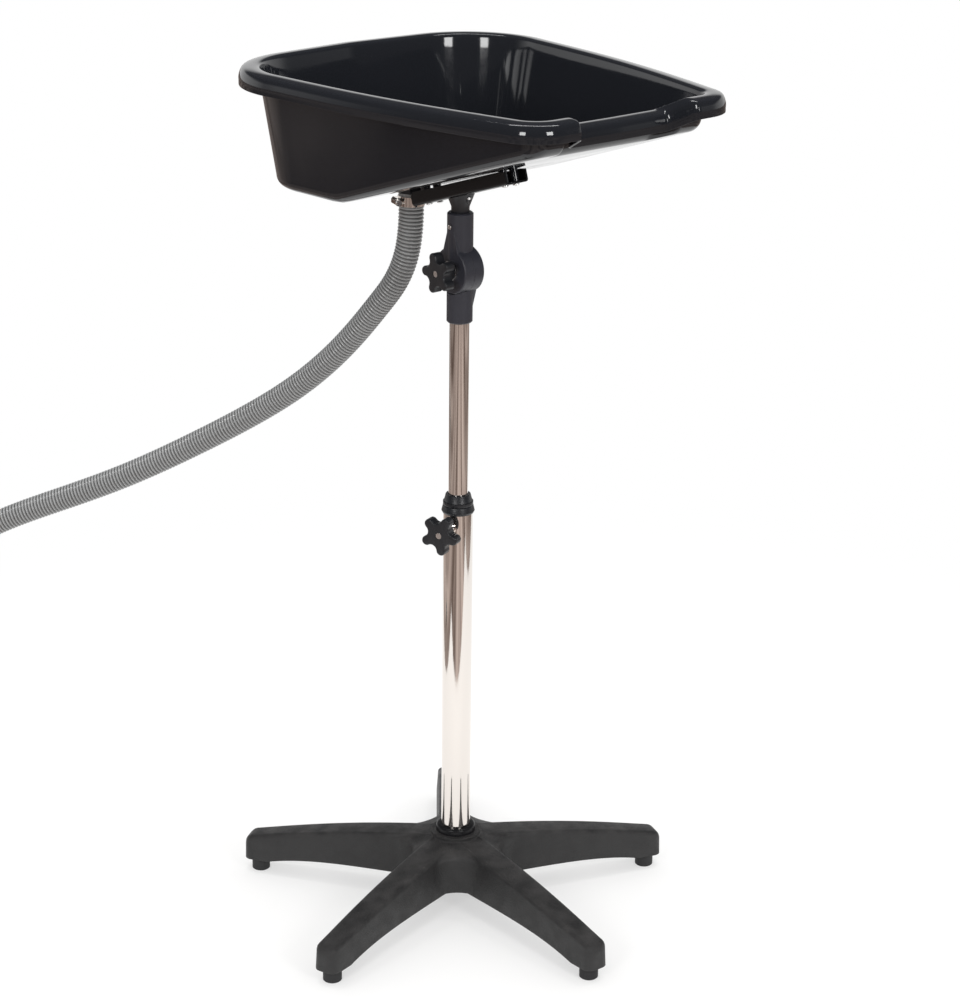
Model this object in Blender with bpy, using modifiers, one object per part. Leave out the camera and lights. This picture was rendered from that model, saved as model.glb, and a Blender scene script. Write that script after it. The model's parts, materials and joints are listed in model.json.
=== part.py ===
"""Portable shampoo basin: a moulded bowl on a tilting knuckle, a telescopic column and a five-leg star.

Metres, +Z up. The neck rest faces -Y and the deep end, with the drain, faces +Y. The column stands on
the Z axis while the pieces are made, and the last step moves the whole part so that the middle of its
floor plan, without the drain hose, lies at the origin.
"""

import math

import bmesh
import bpy
from mathutils import Euler, Matrix, Vector

# Clearances
SEAT_GAP = 0.0003
CUT_OVERRUN = 0.004
JOIN_DEPTH = 0.0015
WELD_DISTANCE = 0.000001
ROUND_STEPS = 24
SMALL_STEPS = 12
FINE_STEPS = 32

# Star base
LEG_COUNT = 5
BASE_TURN = math.radians(-1.93)
LEG_REACH = 0.294
LEG_ROOT_WIDTH = 0.050
LEG_TIP_WIDTH = 0.034
LEG_ROOT_TOP = 0.0955
LEG_TIP_TOP = 0.0505
LEG_ARCH = 0.0055
LEG_TIP_BOTTOM = 0.0185
LEG_TIP_LENGTH = 0.034
LEG_UNDERSIDE_POWER = 4
LEG_TIP_ROUND = 0.0105
LEG_EDGE_BEVEL = 0.0055
LEG_SIDE_DRAFT = math.radians(3.0)
LEG_WALL = 0.0045
LEG_RIB = 0.004
LEG_POCKETS = 4
LEG_STATIONS = 5
HUB_RADIUS = 0.047
HUB_TOP = 0.0985
HUB_BOTTOM = 0.0325
HUB_CAP_RADIUS = 0.033
HUB_CAP_STEP = 0.005
HUB_WALL_TOP = 0.080
HUB_POCKET_TOP = 0.062
HUB_FLOOR = 0.0065
SOCKET_WALL = 0.0052
FOOT_INSET = 0.019
FOOT_RADIUS = 0.012
FOOT_CHAMFER = 0.0012
FOOT_PEG_RADIUS = 0.004
FOOT_PEG_LENGTH = 0.0105
HUB_RING_RADIUS = 0.02575
HUB_RING_HEIGHT = 0.0085
HUB_RING_ROUND = 0.003

# Hub bolt
HUB_BOLT_RADIUS = 0.004
HUB_BOLT_LENGTH = 0.021
HUB_BOLT_HEAD_RADIUS = 0.0075
HUB_BOLT_HEAD_HEIGHT = 0.0055
HUB_WASHER_RADIUS = 0.0115
HUB_WASHER_THICKNESS = 0.0018
TUBE_PLUG_LENGTH = 0.018

# Column tubes
LOWER_TUBE_RADIUS = 0.019
LOWER_TUBE_WALL = 0.0015
LOWER_TUBE_TOP = 0.560
UPPER_TUBE_RADIUS = 0.0125
UPPER_TUBE_WALL = 0.0015
UPPER_TUBE_LENGTH = 0.549
GUIDE_BUSH_LENGTH = 0.026
GUIDE_BUSH_RISE = 0.004

# Collar on the lower tube
COLLAR_TOP_RADIUS = 0.016
COLLAR_SKIRT_RADIUS = 0.0212
COLLAR_SKIRT_CHAMFER = 0.0014
COLLAR_OVERLAP = 0.015
COLLAR_CAP = 0.010
COLLAR_SLEEVE_DEPTH = 0.020

# Height clamp
HEIGHT_CLAMP_DROP = 0.032
HEIGHT_CLAMP_AZIMUTH = math.radians(201.55)
CLAMP_BOSS_RADIUS = 0.0072
CLAMP_BOSS_REACH = 0.031
CLAMP_STUD_RADIUS = 0.004
HEIGHT_KNOB_FACE = 0.052

# Star knobs, used for the height clamp and for the tilt clamp
KNOB_LOBES = 5
KNOB_RADIUS = 0.026
KNOB_LOBE_RADIUS = 0.0062
KNOB_VALLEY_RADIUS = 0.0158
KNOB_THICKNESS = 0.014
KNOB_EDGE_ROUND = 0.0018
KNOB_HUB_RADIUS = 0.0115
KNOB_LOBE_POINTS = 5
KNOB_VALLEY_POINTS = 3
STUD_RECESS = 0.0006
HEIGHT_KNOB_TURN = math.radians(9.0)
TILT_KNOB_TURN = math.radians(17.0)

# Tilting knuckle
PIVOT_HEIGHT = 0.8625
KNUCKLE_DISC_RADIUS = 0.029
KNUCKLE_DISC_THICKNESS = 0.0155
KNUCKLE_DISC_ROUND = 0.0012
KNUCKLE_SOCKET_RADIUS = 0.01625
KNUCKLE_SOCKET_CHAMFER = 0.0016
LOWER_SOCKET_REACH = 0.067
UPPER_SOCKET_REACH = 0.0725
SOCKET_ENGAGEMENT = 0.0335
GUSSET_ROOT_RISE = 0.022
GUSSET_TIP_RISE = 0.050
GUSSET_ROOT_HALF_WIDTH = 0.0145
GUSSET_TIP_HALF_WIDTH = 0.0062
SET_SCREW_RISE = 0.0555
SET_SCREW_RADIUS = 0.003
SET_SCREW_PROUD = 0.0014
SET_SCREW_SLOT_WIDTH = 0.001
SET_SCREW_SLOT_DEPTH = 0.0009
PIVOT_BOLT_RADIUS = 0.004
PIVOT_BOLT_HEAD_RADIUS = 0.0074
PIVOT_BOLT_HEAD_HEIGHT = 0.0055
PIVOT_BOLT_HEAD_PROUD = 0.0006
PIVOT_WASHER_RADIUS = 0.0125
PIVOT_WASHER_THICKNESS = 0.0018
TILT_KNOB_FACE = 0.040

# Stem between the knuckle and the bracket
STEM_REACH = 0.092
STEM_RADIUS = 0.0114
STEM_FLARE_RADIUS = 0.0186
STEM_FLARE_LENGTH = 0.0125
STEM_SCREW_CIRCLE = 0.0142
STEM_SCREW_RADIUS = 0.002
STEM_SCREW_HEAD_RADIUS = 0.0032
STEM_SCREW_HEAD_HEIGHT = 0.0022
STEM_SCREW_GRIP = 0.0042
STEM_SCREW_PROUD = 0.0045
STEM_NUT_RADIUS = 0.0038
STEM_NUT_HEIGHT = 0.003

# Bracket channel under the bowl
BRACKET_WIDTH = 0.035
BRACKET_FLANGE_HEIGHT = 0.017
BRACKET_METAL = 0.0025
BRACKET_BEND_RADIUS = 0.0035
BRACKET_DEEP_REACH = 0.0750
BRACKET_NECK_REACH = 0.111
BRACKET_TAPER_LENGTH = 0.012
BRACKET_TAPER_DROP = 0.0015
BRACKET_CORNER_CUT = 0.005
BOWL_SCREW_NECK_REACH = 0.098
BOWL_SCREW_DEEP_REACH = 0.052
BOWL_SCREW_HALF_SPACING = 0.0085
BOWL_SCREW_RADIUS = 0.002
BOWL_SCREW_DEPTH = 0.012
BOWL_SCREW_HEAD_RADIUS = 0.004
BOWL_SCREW_HEAD_HEIGHT = 0.0024
BOWL_BOSS_RADIUS = 0.0052

# Bowl
BOWL_WALL = 0.0034
BOWL_DEPTH = 0.1469
DEEP_END_REACH = 0.2374
DEEP_END_HALF_WIDTH = 0.2416
DEEP_CORNER_RADIUS = 0.1197
DEEP_END_BOW = 0.0186
NECK_END_REACH = 0.3163
NECK_END_HALF_WIDTH = 0.1583
NECK_CORNER_RADIUS = 0.054
HORN_SWEEP = 0.0034
SIDE_BOW = 0.010
FLOOR_KINK_REACH = 0.026
FLOOR_SLOPE = math.radians(18.6)
WALL_DRAFT = math.radians(9.0)
FLOOR_FILLET = 0.010
RIM_WIDTH = 0.027
RIM_BAND_HEIGHT = 0.022
RIM_OUTER_ROUND = 0.0125
RIM_INNER_ROUND = 0.0055
SCOOP_HALF_WIDTH = 0.092
SCOOP_TRANSITION = 0.018
SCOOP_DEPTH = 0.017
SCOOP_INSET = 0.035
DEEP_CORNER_POINTS = 7
NECK_CORNER_POINTS = 6
SIDE_POINTS = 5
DEEP_END_POINTS = 3
HORN_POINTS = 1
SCOOP_POINTS = 9
SCOOP_FLAT_SHARE = 0.375
WALL_POINTS = 3
FILLET_POINTS = 3
KINK_SHARE_LIMITS = (0.1, 0.92)

# Drain
DRAIN_REACH = 0.0955
DRAIN_HOLE_RADIUS = 0.0166
DRAIN_FLANGE_RADIUS = 0.029
DRAIN_FLANGE_THICKNESS = 0.0026
DRAIN_SHANK_RADIUS = 0.0153
DRAIN_SHANK_WALL = 0.0024
DRAIN_SHANK_LENGTH = 0.0200
STRAINER_THICKNESS = 0.0016
STRAINER_SLOTS = 6
STRAINER_SLOT_WIDTH = 0.0030
STRAINER_HUB_RADIUS = 0.003
GASKET_RADIUS = 0.0205
GASKET_THICKNESS = 0.0026
DRAIN_NUT_RADIUS = 0.0185
DRAIN_NUT_HEIGHT = 0.0182
DRAIN_NUT_LIP = 0.0024
DRAIN_NUT_SIDES = 8
TAIL_COLLAR_THICKNESS = 0.0026
TAIL_RADIUS = 0.0118
TAIL_WALL = 0.0022
TAIL_LENGTH = 0.030
TAIL_BARB = 0.0004

# Drain hose
HOSE_RADIUS = 0.01625
HOSE_GROOVE = 0.0016
HOSE_BORE_RADIUS = 0.0135
HOSE_RIBS = 160
HOSE_END_RADIUS = 0.0160
HOSE_BORE_POINTS = 62
HOSE_CUFF_LENGTH = 0.045
HOSE_CUFF_RADIUS = 0.0165
HOSE_CUFF_BORE = 0.0130
HOSE_CUFF_LIP = 0.0015
CLAMP_BAND_THICKNESS = 0.0009
CLAMP_BAND_WIDTH = 0.0125
CLAMP_BAND_DROP = 0.004
CLAMP_HOUSING_LENGTH = 0.013
CLAMP_HOUSING_WIDTH = 0.010
CLAMP_HOUSING_HEIGHT = 0.0075
CLAMP_SCREW_RADIUS = 0.0022
CLAMP_SCREW_HEAD_RADIUS = 0.0035
CLAMP_SCREW_HEAD_LENGTH = 0.004
CLAMP_SCREW_AZIMUTH = math.radians(165.0)

# The hose's route, from the drain to the floor, read from the column's axis at the floor
HOSE_ROUTE = (
    (-0.0010, 0.0980, 0.8760),
    (-0.0035, 0.1055, 0.8470),
    (-0.0075, 0.1200, 0.8180),
    (-0.0140, 0.1420, 0.7900),
    (-0.0300, 0.1935, 0.7240),
    (-0.0565, 0.2570, 0.6600),
    (-0.0935, 0.3194, 0.6103),
    (-0.1345, 0.3778, 0.5678),
    (-0.2009, 0.4604, 0.5096),
    (-0.2719, 0.5416, 0.4660),
    (-0.3231, 0.5964, 0.4356),
    (-0.3728, 0.6454, 0.3930),
    (-0.4248, 0.6899, 0.3351),
    (-0.4737, 0.7282, 0.2605),
    (-0.5190, 0.7548, 0.1737),
    (-0.5783, 0.7528, 0.0959),
    (-0.6400, 0.7270, 0.0430),
    (-0.6901, 0.6952, 0.0188),
    (-0.7257, 0.6695, 0.0177),
    (-0.7454, 0.6551, 0.0177),
)

# Sizes that follow from the ones above
FOOT_CIRCLE_RADIUS = LEG_REACH - FOOT_INSET
BRACKET_RISE = (BRACKET_FLANGE_HEIGHT + SEAT_GAP) / math.cos(FLOOR_SLOPE)
FLOOR_RISE_AT_COLUMN = FLOOR_KINK_REACH * math.tan(FLOOR_SLOPE)
RIM_HEIGHT = PIVOT_HEIGHT + STEM_REACH + BRACKET_RISE + BOWL_DEPTH - FLOOR_RISE_AT_COLUMN
LOWER_BORE_RADIUS = LOWER_TUBE_RADIUS - LOWER_TUBE_WALL
TUBE_SEAT = HUB_BOTTOM + HUB_FLOOR + SEAT_GAP
UPPER_TUBE_TOP = PIVOT_HEIGHT - LOWER_SOCKET_REACH + SOCKET_ENGAGEMENT
UPPER_TUBE_BOTTOM = UPPER_TUBE_TOP - UPPER_TUBE_LENGTH
HEIGHT_CLAMP_HEIGHT = LOWER_TUBE_TOP - HEIGHT_CLAMP_DROP
DRAIN_DROP = BOWL_DEPTH
HOSE_TOP = RIM_HEIGHT - DRAIN_DROP - GASKET_THICKNESS - DRAIN_NUT_HEIGHT - SEAT_GAP - SEAT_GAP - SEAT_GAP


def clear_scene():
    for old in list(bpy.data.objects):
        bpy.data.objects.remove(old, do_unlink=True)


def new_collection(name):
    collection = bpy.data.collections.new(name)
    bpy.context.scene.collection.children.link(collection)
    return collection


def new_material(name, colour, roughness, metallic=0.0):
    material = bpy.data.materials.new(name)
    material.use_nodes = True
    shader = material.node_tree.nodes["Principled BSDF"]
    shader.inputs["Base Color"].default_value = (*colour, 1.0)
    shader.inputs["Roughness"].default_value = roughness
    shader.inputs["Metallic"].default_value = metallic
    material.diffuse_color = (*colour, 1.0)
    return material


def place(obj, parent, location=(0, 0, 0), rotation=(0, 0, 0)):
    obj.location = location
    obj.rotation_euler = rotation
    obj.parent = parent
    return obj


def empty(name, parent=None, location=(0, 0, 0), rotation=(0, 0, 0)):
    """A plain axis that carries pieces; it is no piece itself."""
    axis = bpy.data.objects.new(name, None)
    PARTS.objects.link(axis)
    return place(axis, parent, location, rotation)


def piece(name, mesh, material, parent, location=(0, 0, 0), rotation=(0, 0, 0)):
    obj = bpy.data.objects.new(name, mesh)
    mesh.materials.append(material)
    PARTS.objects.link(obj)
    return place(obj, parent, location, rotation)


def helper(name, mesh, parent, location=(0, 0, 0), rotation=(0, 0, 0)):
    """A body that cuts or joins a piece."""
    obj = bpy.data.objects.new(name, mesh)
    obj.hide_render = True
    obj.display_type = "WIRE"
    CUTTERS.objects.link(obj)
    return place(obj, parent, location, rotation)


def combine(obj, other, operation):
    modifier = obj.modifiers.new(operation.title(), "BOOLEAN")
    modifier.operation = operation
    modifier.object = other
    return obj


def cut(obj, cutter):
    return combine(obj, cutter, "DIFFERENCE")


def join(obj, other):
    return combine(obj, other, "UNION")


def mesh_of(name, build):
    """A mesh that the function build fills through a bmesh."""
    mesh = bpy.data.meshes.new(name)
    shape = bmesh.new()
    build(shape)
    shape.to_mesh(mesh)
    shape.free()
    return mesh


def turned_mesh(name, profile, closed):
    """The line that a Screw modifier turns: down the outer side, and up the bore where there is one."""

    def build(shape):
        points = [shape.verts.new((radius, 0, height)) for radius, height in profile]
        pairs = list(zip(points, points[1:]))
        if closed:
            pairs.append((points[-1], points[0]))
        for start, end in pairs:
            shape.edges.new((start, end))

    return mesh_of(name, build)


def turn(obj, steps=ROUND_STEPS):
    modifier = obj.modifiers.new("Turn", "SCREW")
    modifier.axis = "Z"
    modifier.angle = math.tau
    modifier.steps = steps
    modifier.render_steps = steps
    modifier.use_merge_vertices = True
    modifier.merge_threshold = WELD_DISTANCE
    modifier.use_smooth_shade = True
    return obj


def turned(name, profile, material, parent, steps=ROUND_STEPS, closed=True, **where):
    return turn(piece(name, turned_mesh(name, profile, closed), material, parent, **where), steps)


def turned_helper(name, profile, parent, steps=ROUND_STEPS, closed=True, **where):
    return turn(helper(name, turned_mesh(name, profile, closed), parent, **where), steps)


def tube_profile(outer, inner, top, bottom):
    return ((outer, top), (outer, bottom), (inner, bottom), (inner, top))


def pin_profile(radius, top, bottom):
    return ((0, top), (radius, top), (radius, bottom), (0, bottom))


def pin_helper(name, radius, top, bottom, parent, steps=SMALL_STEPS, **where):
    return turned_helper(name, pin_profile(radius, top, bottom), parent, steps, closed=False, **where)


def plate_mesh(name, outline, thickness, edge_round=0.0):
    """A flat outline in X and Y, extruded to both sides of Z = 0 and welded."""
    curve = bpy.data.curves.new(name, "CURVE")
    curve.dimensions = "2D"
    curve.fill_mode = "BOTH"
    curve.extrude = thickness / 2 - edge_round
    curve.bevel_depth = edge_round
    curve.bevel_resolution = 1
    curve.offset = -edge_round
    spline = curve.splines.new("POLY")
    spline.points.add(len(outline) - 1)
    for point, (across, along) in zip(spline.points, outline):
        point.co = (across, along, 0, 1)
    spline.use_cyclic_u = True
    return welded_mesh(bpy.data.objects.new(name, curve))


def welded_mesh(source):
    """A curve object's evaluated mesh with its caps welded on. The curve object is removed."""
    CUTTERS.objects.link(source)
    bpy.context.view_layer.update()
    graph = bpy.context.evaluated_depsgraph_get()
    mesh = bpy.data.meshes.new_from_object(source.evaluated_get(graph))
    bpy.data.objects.remove(source, do_unlink=True)
    shape = bmesh.new()
    shape.from_mesh(mesh)
    bmesh.ops.remove_doubles(shape, verts=shape.verts, dist=WELD_DISTANCE)
    bmesh.ops.recalc_face_normals(shape, faces=shape.faces)
    shape.to_mesh(mesh)
    shape.free()
    mesh.shade_smooth()
    mesh.set_sharp_from_angle(angle=math.radians(35))
    return mesh


def loft_mesh(name, sections):
    """Closed rings of like count, joined in order and capped at both ends."""

    def build(shape):
        rings = [[shape.verts.new(point) for point in section] for section in sections]
        for lower, upper in zip(rings, rings[1:]):
            for start in range(len(lower)):
                end = (start + 1) % len(lower)
                shape.faces.new((lower[start], lower[end], upper[end], upper[start]))
        shape.faces.new(list(reversed(rings[0])))
        shape.faces.new(rings[-1])
        bmesh.ops.recalc_face_normals(shape, faces=shape.faces)

    return mesh_of(name, build)


def joined_mesh(name, meshes):
    """Several separate closed bodies in one mesh, for one cut or join."""

    def build(shape):
        for mesh in meshes:
            shape.from_mesh(mesh)

    return mesh_of(name, build)


def prism_outline(radius, sides, turn_angle=0.0):
    return [
        (radius * math.cos(turn_angle + math.tau * side / sides),
         radius * math.sin(turn_angle + math.tau * side / sides))
        for side in range(sides)
    ]


def arc_points(centre, radius, start, end, count):
    """Points along an arc, both ends included."""
    return [
        (centre[0] + radius * math.cos(start + (end - start) * step / (count - 1)),
         centre[1] + radius * math.sin(start + (end - start) * step / (count - 1)))
        for step in range(count)
    ]


def smoothstep(value):
    value = min(max(value, 0.0), 1.0)
    return value * value * (3 - 2 * value)


# Star base

def leg_width(reach):
    """Full width of a leg at its foot line, narrowing evenly to the tip."""
    share = reach / LEG_REACH
    return LEG_ROOT_WIDTH + (LEG_TIP_WIDTH - LEG_ROOT_WIDTH) * share


def leg_top(reach):
    share = reach / LEG_REACH
    arch = LEG_ARCH * math.sin(math.pi * share)
    return LEG_ROOT_TOP + (LEG_TIP_TOP - LEG_ROOT_TOP) * share + arch


def leg_bottom(reach):
    flat_from = LEG_REACH - LEG_TIP_LENGTH
    share = min(max((reach - HUB_RADIUS) / (flat_from - HUB_RADIUS), 0.0), 1.0)
    return HUB_BOTTOM + (LEG_TIP_BOTTOM - HUB_BOTTOM) * share ** LEG_UNDERSIDE_POWER


def leg_section(reach, inset=0.0, drop=0.0):
    """One cross-section of a leg, square to its length, with rounded upper edges."""
    half = leg_width(reach) / 2 - inset
    top = leg_top(reach) - drop
    bottom = leg_bottom(reach)
    shoulder = half - (top - bottom) * math.tan(LEG_SIDE_DRAFT)
    soft = LEG_EDGE_BEVEL * (1 - math.sqrt(0.5))
    side = [
        (half, bottom),
        (shoulder, top - LEG_EDGE_BEVEL),
        (shoulder - soft, top - soft),
        (shoulder - LEG_EDGE_BEVEL, top),
    ]
    outline = side + [(-across, height) for across, height in reversed(side)]
    return [(reach, across, height) for across, height in outline]


def leg_mesh():
    span = LEG_REACH - LEG_TIP_LENGTH - HUB_RADIUS
    reaches = [HUB_RADIUS / 2]
    reaches += [HUB_RADIUS + span * station / (LEG_STATIONS - 1) for station in range(LEG_STATIONS)]
    reaches.append(LEG_REACH - LEG_TIP_ROUND)
    sections = [leg_section(reach) for reach in reaches]
    soft = LEG_TIP_ROUND * (1 - math.sqrt(0.5))
    sections.append(leg_section(LEG_REACH - soft, soft, soft))
    sections.append(leg_section(LEG_REACH, LEG_TIP_ROUND, LEG_TIP_ROUND))
    return loft_mesh("leg", sections)


def pocket_section(reach):
    half = leg_width(reach) / 2 - LEG_WALL
    top = leg_top(reach) - LEG_WALL
    bottom = leg_bottom(reach) - CUT_OVERRUN
    upper = half - (top - bottom) * math.tan(LEG_SIDE_DRAFT)
    return [(reach, half, bottom), (reach, upper, top), (reach, -upper, top), (reach, -half, bottom)]


def pocket_mesh():
    """The hollows under one leg, between its cross ribs."""
    first = HUB_RADIUS + LEG_WALL
    last = FOOT_CIRCLE_RADIUS - FOOT_RADIUS
    pitch = (last - first + LEG_RIB) / LEG_POCKETS
    pockets = []
    for number in range(LEG_POCKETS):
        start = first + pitch * number
        pockets.append(loft_mesh("pocket", [pocket_section(start), pocket_section(start + pitch - LEG_RIB)]))
    return joined_mesh("leg_pockets", pockets)


def make_base():
    hub_profile = (
        (0, HUB_TOP),
        (HUB_CAP_RADIUS, HUB_TOP),
        (HUB_CAP_RADIUS, HUB_TOP - HUB_CAP_STEP),
        (HUB_RADIUS, HUB_WALL_TOP),
        (HUB_RADIUS, HUB_BOTTOM),
        (0, HUB_BOTTOM),
    )
    star = turned("base_star", hub_profile, CASTING_BLACK, ROOT, FINE_STEPS, closed=False)
    leg = leg_mesh()
    pockets = pocket_mesh()
    for number in range(LEG_COUNT):
        turn_angle = leg_angle(number)
        join(star, helper(f"leg_{number + 1}_form", leg, ROOT, rotation=(0, 0, turn_angle)))
        cut(star, helper(f"leg_{number + 1}_hollow", pockets, ROOT, rotation=(0, 0, turn_angle)))
    socket = LOWER_TUBE_RADIUS + SEAT_GAP
    hollow = tube_profile(
        HUB_RADIUS - LEG_WALL, socket + SOCKET_WALL, HUB_POCKET_TOP, HUB_BOTTOM - CUT_OVERRUN
    )
    cut(star, turned_helper("hub_hollow", hollow, ROOT))
    seat = TUBE_SEAT - SEAT_GAP
    cut(star, pin_helper("tube_socket", socket, HUB_TOP + CUT_OVERRUN, seat, ROOT, ROUND_STEPS))
    bolt_room = HUB_BOLT_RADIUS + SEAT_GAP
    cut(star, pin_helper("hub_bolt_hole", bolt_room, TUBE_SEAT, HUB_BOTTOM - CUT_OVERRUN, ROOT))
    for number in range(LEG_COUNT):
        angle = leg_angle(number)
        centre = (FOOT_CIRCLE_RADIUS * math.cos(angle), FOOT_CIRCLE_RADIUS * math.sin(angle), LEG_TIP_BOTTOM)
        hole = pin_helper(
            f"foot_{number + 1}_hole",
            FOOT_PEG_RADIUS + SEAT_GAP,
            FOOT_PEG_LENGTH + SEAT_GAP,
            -CUT_OVERRUN,
            ROOT,
            location=centre,
        )
        cut(star, hole)
        make_foot(number, centre)


def leg_angle(number):
    """A leg's direction about +Z. The first one points at the neck rest, apart from the star's own turn."""
    return -math.pi / 2 + BASE_TURN + math.tau * number / LEG_COUNT


def make_foot(number, centre):
    top = -SEAT_GAP
    bottom = -LEG_TIP_BOTTOM
    profile = (
        (0, FOOT_PEG_LENGTH),
        (FOOT_PEG_RADIUS, FOOT_PEG_LENGTH),
        (FOOT_PEG_RADIUS, top),
        (FOOT_RADIUS, top),
        (FOOT_RADIUS, bottom + FOOT_CHAMFER),
        (FOOT_RADIUS - FOOT_CHAMFER, bottom),
        (0, bottom),
    )
    turned(f"foot_{number + 1}", profile, FOOT_RUBBER, ROOT, SMALL_STEPS, closed=False, location=centre)


def make_hub_fittings():
    bore = LOWER_TUBE_RADIUS + SEAT_GAP
    bottom = HUB_TOP + SEAT_GAP
    top = bottom + HUB_RING_HEIGHT
    shoulder = arc_points(
        (HUB_RING_RADIUS - HUB_RING_ROUND, top - HUB_RING_ROUND), HUB_RING_ROUND, math.pi / 2, 0, 4
    )
    profile = [(bore, top)] + shoulder + [(HUB_RING_RADIUS, bottom), (bore, bottom)]
    turned("hub_ring", profile, GLOSS_BLACK, ROOT)
    plug_radius = LOWER_BORE_RADIUS - SEAT_GAP
    plug = tube_profile(plug_radius, HUB_BOLT_RADIUS + SEAT_GAP, TUBE_SEAT + TUBE_PLUG_LENGTH, TUBE_SEAT)
    turned("tube_plug", plug, DARK_PLASTIC, ROOT)
    washer_top = HUB_BOTTOM - SEAT_GAP
    washer_bottom = washer_top - HUB_WASHER_THICKNESS
    washer = tube_profile(HUB_WASHER_RADIUS, HUB_BOLT_RADIUS + SEAT_GAP, washer_top, washer_bottom)
    turned("hub_washer", washer, ZINC, ROOT, SMALL_STEPS)
    make_hex_bolt(
        "hub_bolt", HUB_BOLT_RADIUS, HUB_BOLT_LENGTH, HUB_BOLT_HEAD_RADIUS, HUB_BOLT_HEAD_HEIGHT,
        ROOT, (0, 0, washer_bottom - SEAT_GAP), (0, 0, 0)
    )


def make_hex_bolt(name, radius, length, head_radius, head_height, parent, location, rotation):
    """A bolt whose head lies under its location and whose shank rises from it."""
    outline = prism_outline(head_radius, 6)
    head = plate_mesh(name, outline, head_height)
    head.transform(Matrix.Translation((0, 0, -head_height / 2)))
    bolt = piece(name, head, ZINC, parent, location=location, rotation=rotation)
    shank = pin_helper(
        f"{name}_shank", radius, length, -head_height / 2, parent, location=location, rotation=rotation
    )
    return join(bolt, shank)


# Column

def make_column():
    lower = tube_profile(LOWER_TUBE_RADIUS, LOWER_BORE_RADIUS, LOWER_TUBE_TOP, TUBE_SEAT)
    tube = turned("lower_tube", lower, CHROME, ROOT)
    stud_hole = pin_helper(
        "clamp_stud_hole", CLAMP_STUD_RADIUS + SEAT_GAP, LOWER_TUBE_RADIUS + CUT_OVERRUN, 0, HEIGHT_KNOB_AXIS
    )
    cut(tube, stud_hole)
    make_collar()
    make_clamp_boss()
    tube_bottom = UPPER_TUBE_BOTTOM - PIVOT_HEIGHT
    tube_top = UPPER_TUBE_TOP - PIVOT_HEIGHT
    inner = UPPER_TUBE_RADIUS - UPPER_TUBE_WALL
    turned("upper_tube", tube_profile(UPPER_TUBE_RADIUS, inner, tube_top, tube_bottom), CHROME, SWIVEL_AXIS)
    bush_outer = LOWER_BORE_RADIUS - SEAT_GAP
    bush_inner = UPPER_TUBE_RADIUS + SEAT_GAP
    bush_bottom = UPPER_TUBE_BOTTOM + GUIDE_BUSH_RISE
    bush = tube_profile(bush_outer, bush_inner, GUIDE_BUSH_LENGTH, 0)
    turned("guide_bush", bush, DARK_PLASTIC, SLIDE_AXIS, location=(0, 0, bush_bottom - PIVOT_HEIGHT))


def make_collar():
    """The tapered cap on the lower tube, whose inner sleeve guides the upper tube."""
    bore = UPPER_TUBE_RADIUS + SEAT_GAP
    skirt_bore = LOWER_TUBE_RADIUS + SEAT_GAP
    sleeve_outer = LOWER_BORE_RADIUS - SEAT_GAP
    skirt_bottom = -COLLAR_OVERLAP
    chamfer = COLLAR_SKIRT_CHAMFER
    profile = (
        (COLLAR_TOP_RADIUS - chamfer / 2, COLLAR_CAP),
        (COLLAR_TOP_RADIUS, COLLAR_CAP - chamfer / 2),
        (COLLAR_SKIRT_RADIUS, skirt_bottom + chamfer + chamfer),
        (COLLAR_SKIRT_RADIUS - chamfer, skirt_bottom),
        (skirt_bore, skirt_bottom),
        (skirt_bore, SEAT_GAP),
        (sleeve_outer, SEAT_GAP),
        (sleeve_outer, -COLLAR_SLEEVE_DEPTH),
        (bore, -COLLAR_SLEEVE_DEPTH),
        (bore, COLLAR_CAP),
    )
    turned("height_collar", profile, MOULDED_BLACK, ROOT, location=(0, 0, LOWER_TUBE_TOP))


def make_clamp_boss():
    """The threaded boss on the lower tube, hollowed at its foot to sit on the tube."""
    profile = tube_profile(
        CLAMP_BOSS_RADIUS, CLAMP_STUD_RADIUS + SEAT_GAP, CLAMP_BOSS_REACH, LOWER_BORE_RADIUS
    )
    boss = turned("clamp_boss", profile, CHROME, HEIGHT_KNOB_AXIS, SMALL_STEPS)
    tube_form = pin_helper(
        "tube_form", LOWER_TUBE_RADIUS + SEAT_GAP, LOWER_TUBE_TOP, TUBE_SEAT, ROOT, ROUND_STEPS
    )
    cut(boss, tube_form)


# Star knobs

def lobed_outline():
    """Round lobes joined by round valleys that meet them smoothly."""
    lobe_centre = KNOB_RADIUS - KNOB_LOBE_RADIUS
    half_pitch = math.pi / KNOB_LOBES
    lean = lobe_centre * math.cos(half_pitch)
    square = lobe_centre ** 2 + KNOB_VALLEY_RADIUS ** 2 - KNOB_LOBE_RADIUS ** 2
    room = KNOB_LOBE_RADIUS - KNOB_VALLEY_RADIUS + lean
    valley_arc = (square - 2 * KNOB_VALLEY_RADIUS * lean) / (2 * room)
    valley_centre = KNOB_VALLEY_RADIUS + valley_arc
    touch = math.atan2(
        valley_centre * math.sin(half_pitch), valley_centre * math.cos(half_pitch) - lobe_centre
    )
    outline = []
    for lobe in range(KNOB_LOBES):
        middle = math.tau * lobe / KNOB_LOBES
        centre = (lobe_centre * math.cos(middle), lobe_centre * math.sin(middle))
        outline += arc_points(centre, KNOB_LOBE_RADIUS, middle - touch, middle + touch, KNOB_LOBE_POINTS)
        gap = middle + half_pitch
        centre = (valley_centre * math.cos(gap), valley_centre * math.sin(gap))
        reach = math.pi - touch + half_pitch
        arc = arc_points(
            centre, valley_arc, gap + math.pi + (math.pi - reach), gap + math.pi - (math.pi - reach),
            KNOB_VALLEY_POINTS + 2
        )
        outline += arc[1:-1]
    return outline


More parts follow.
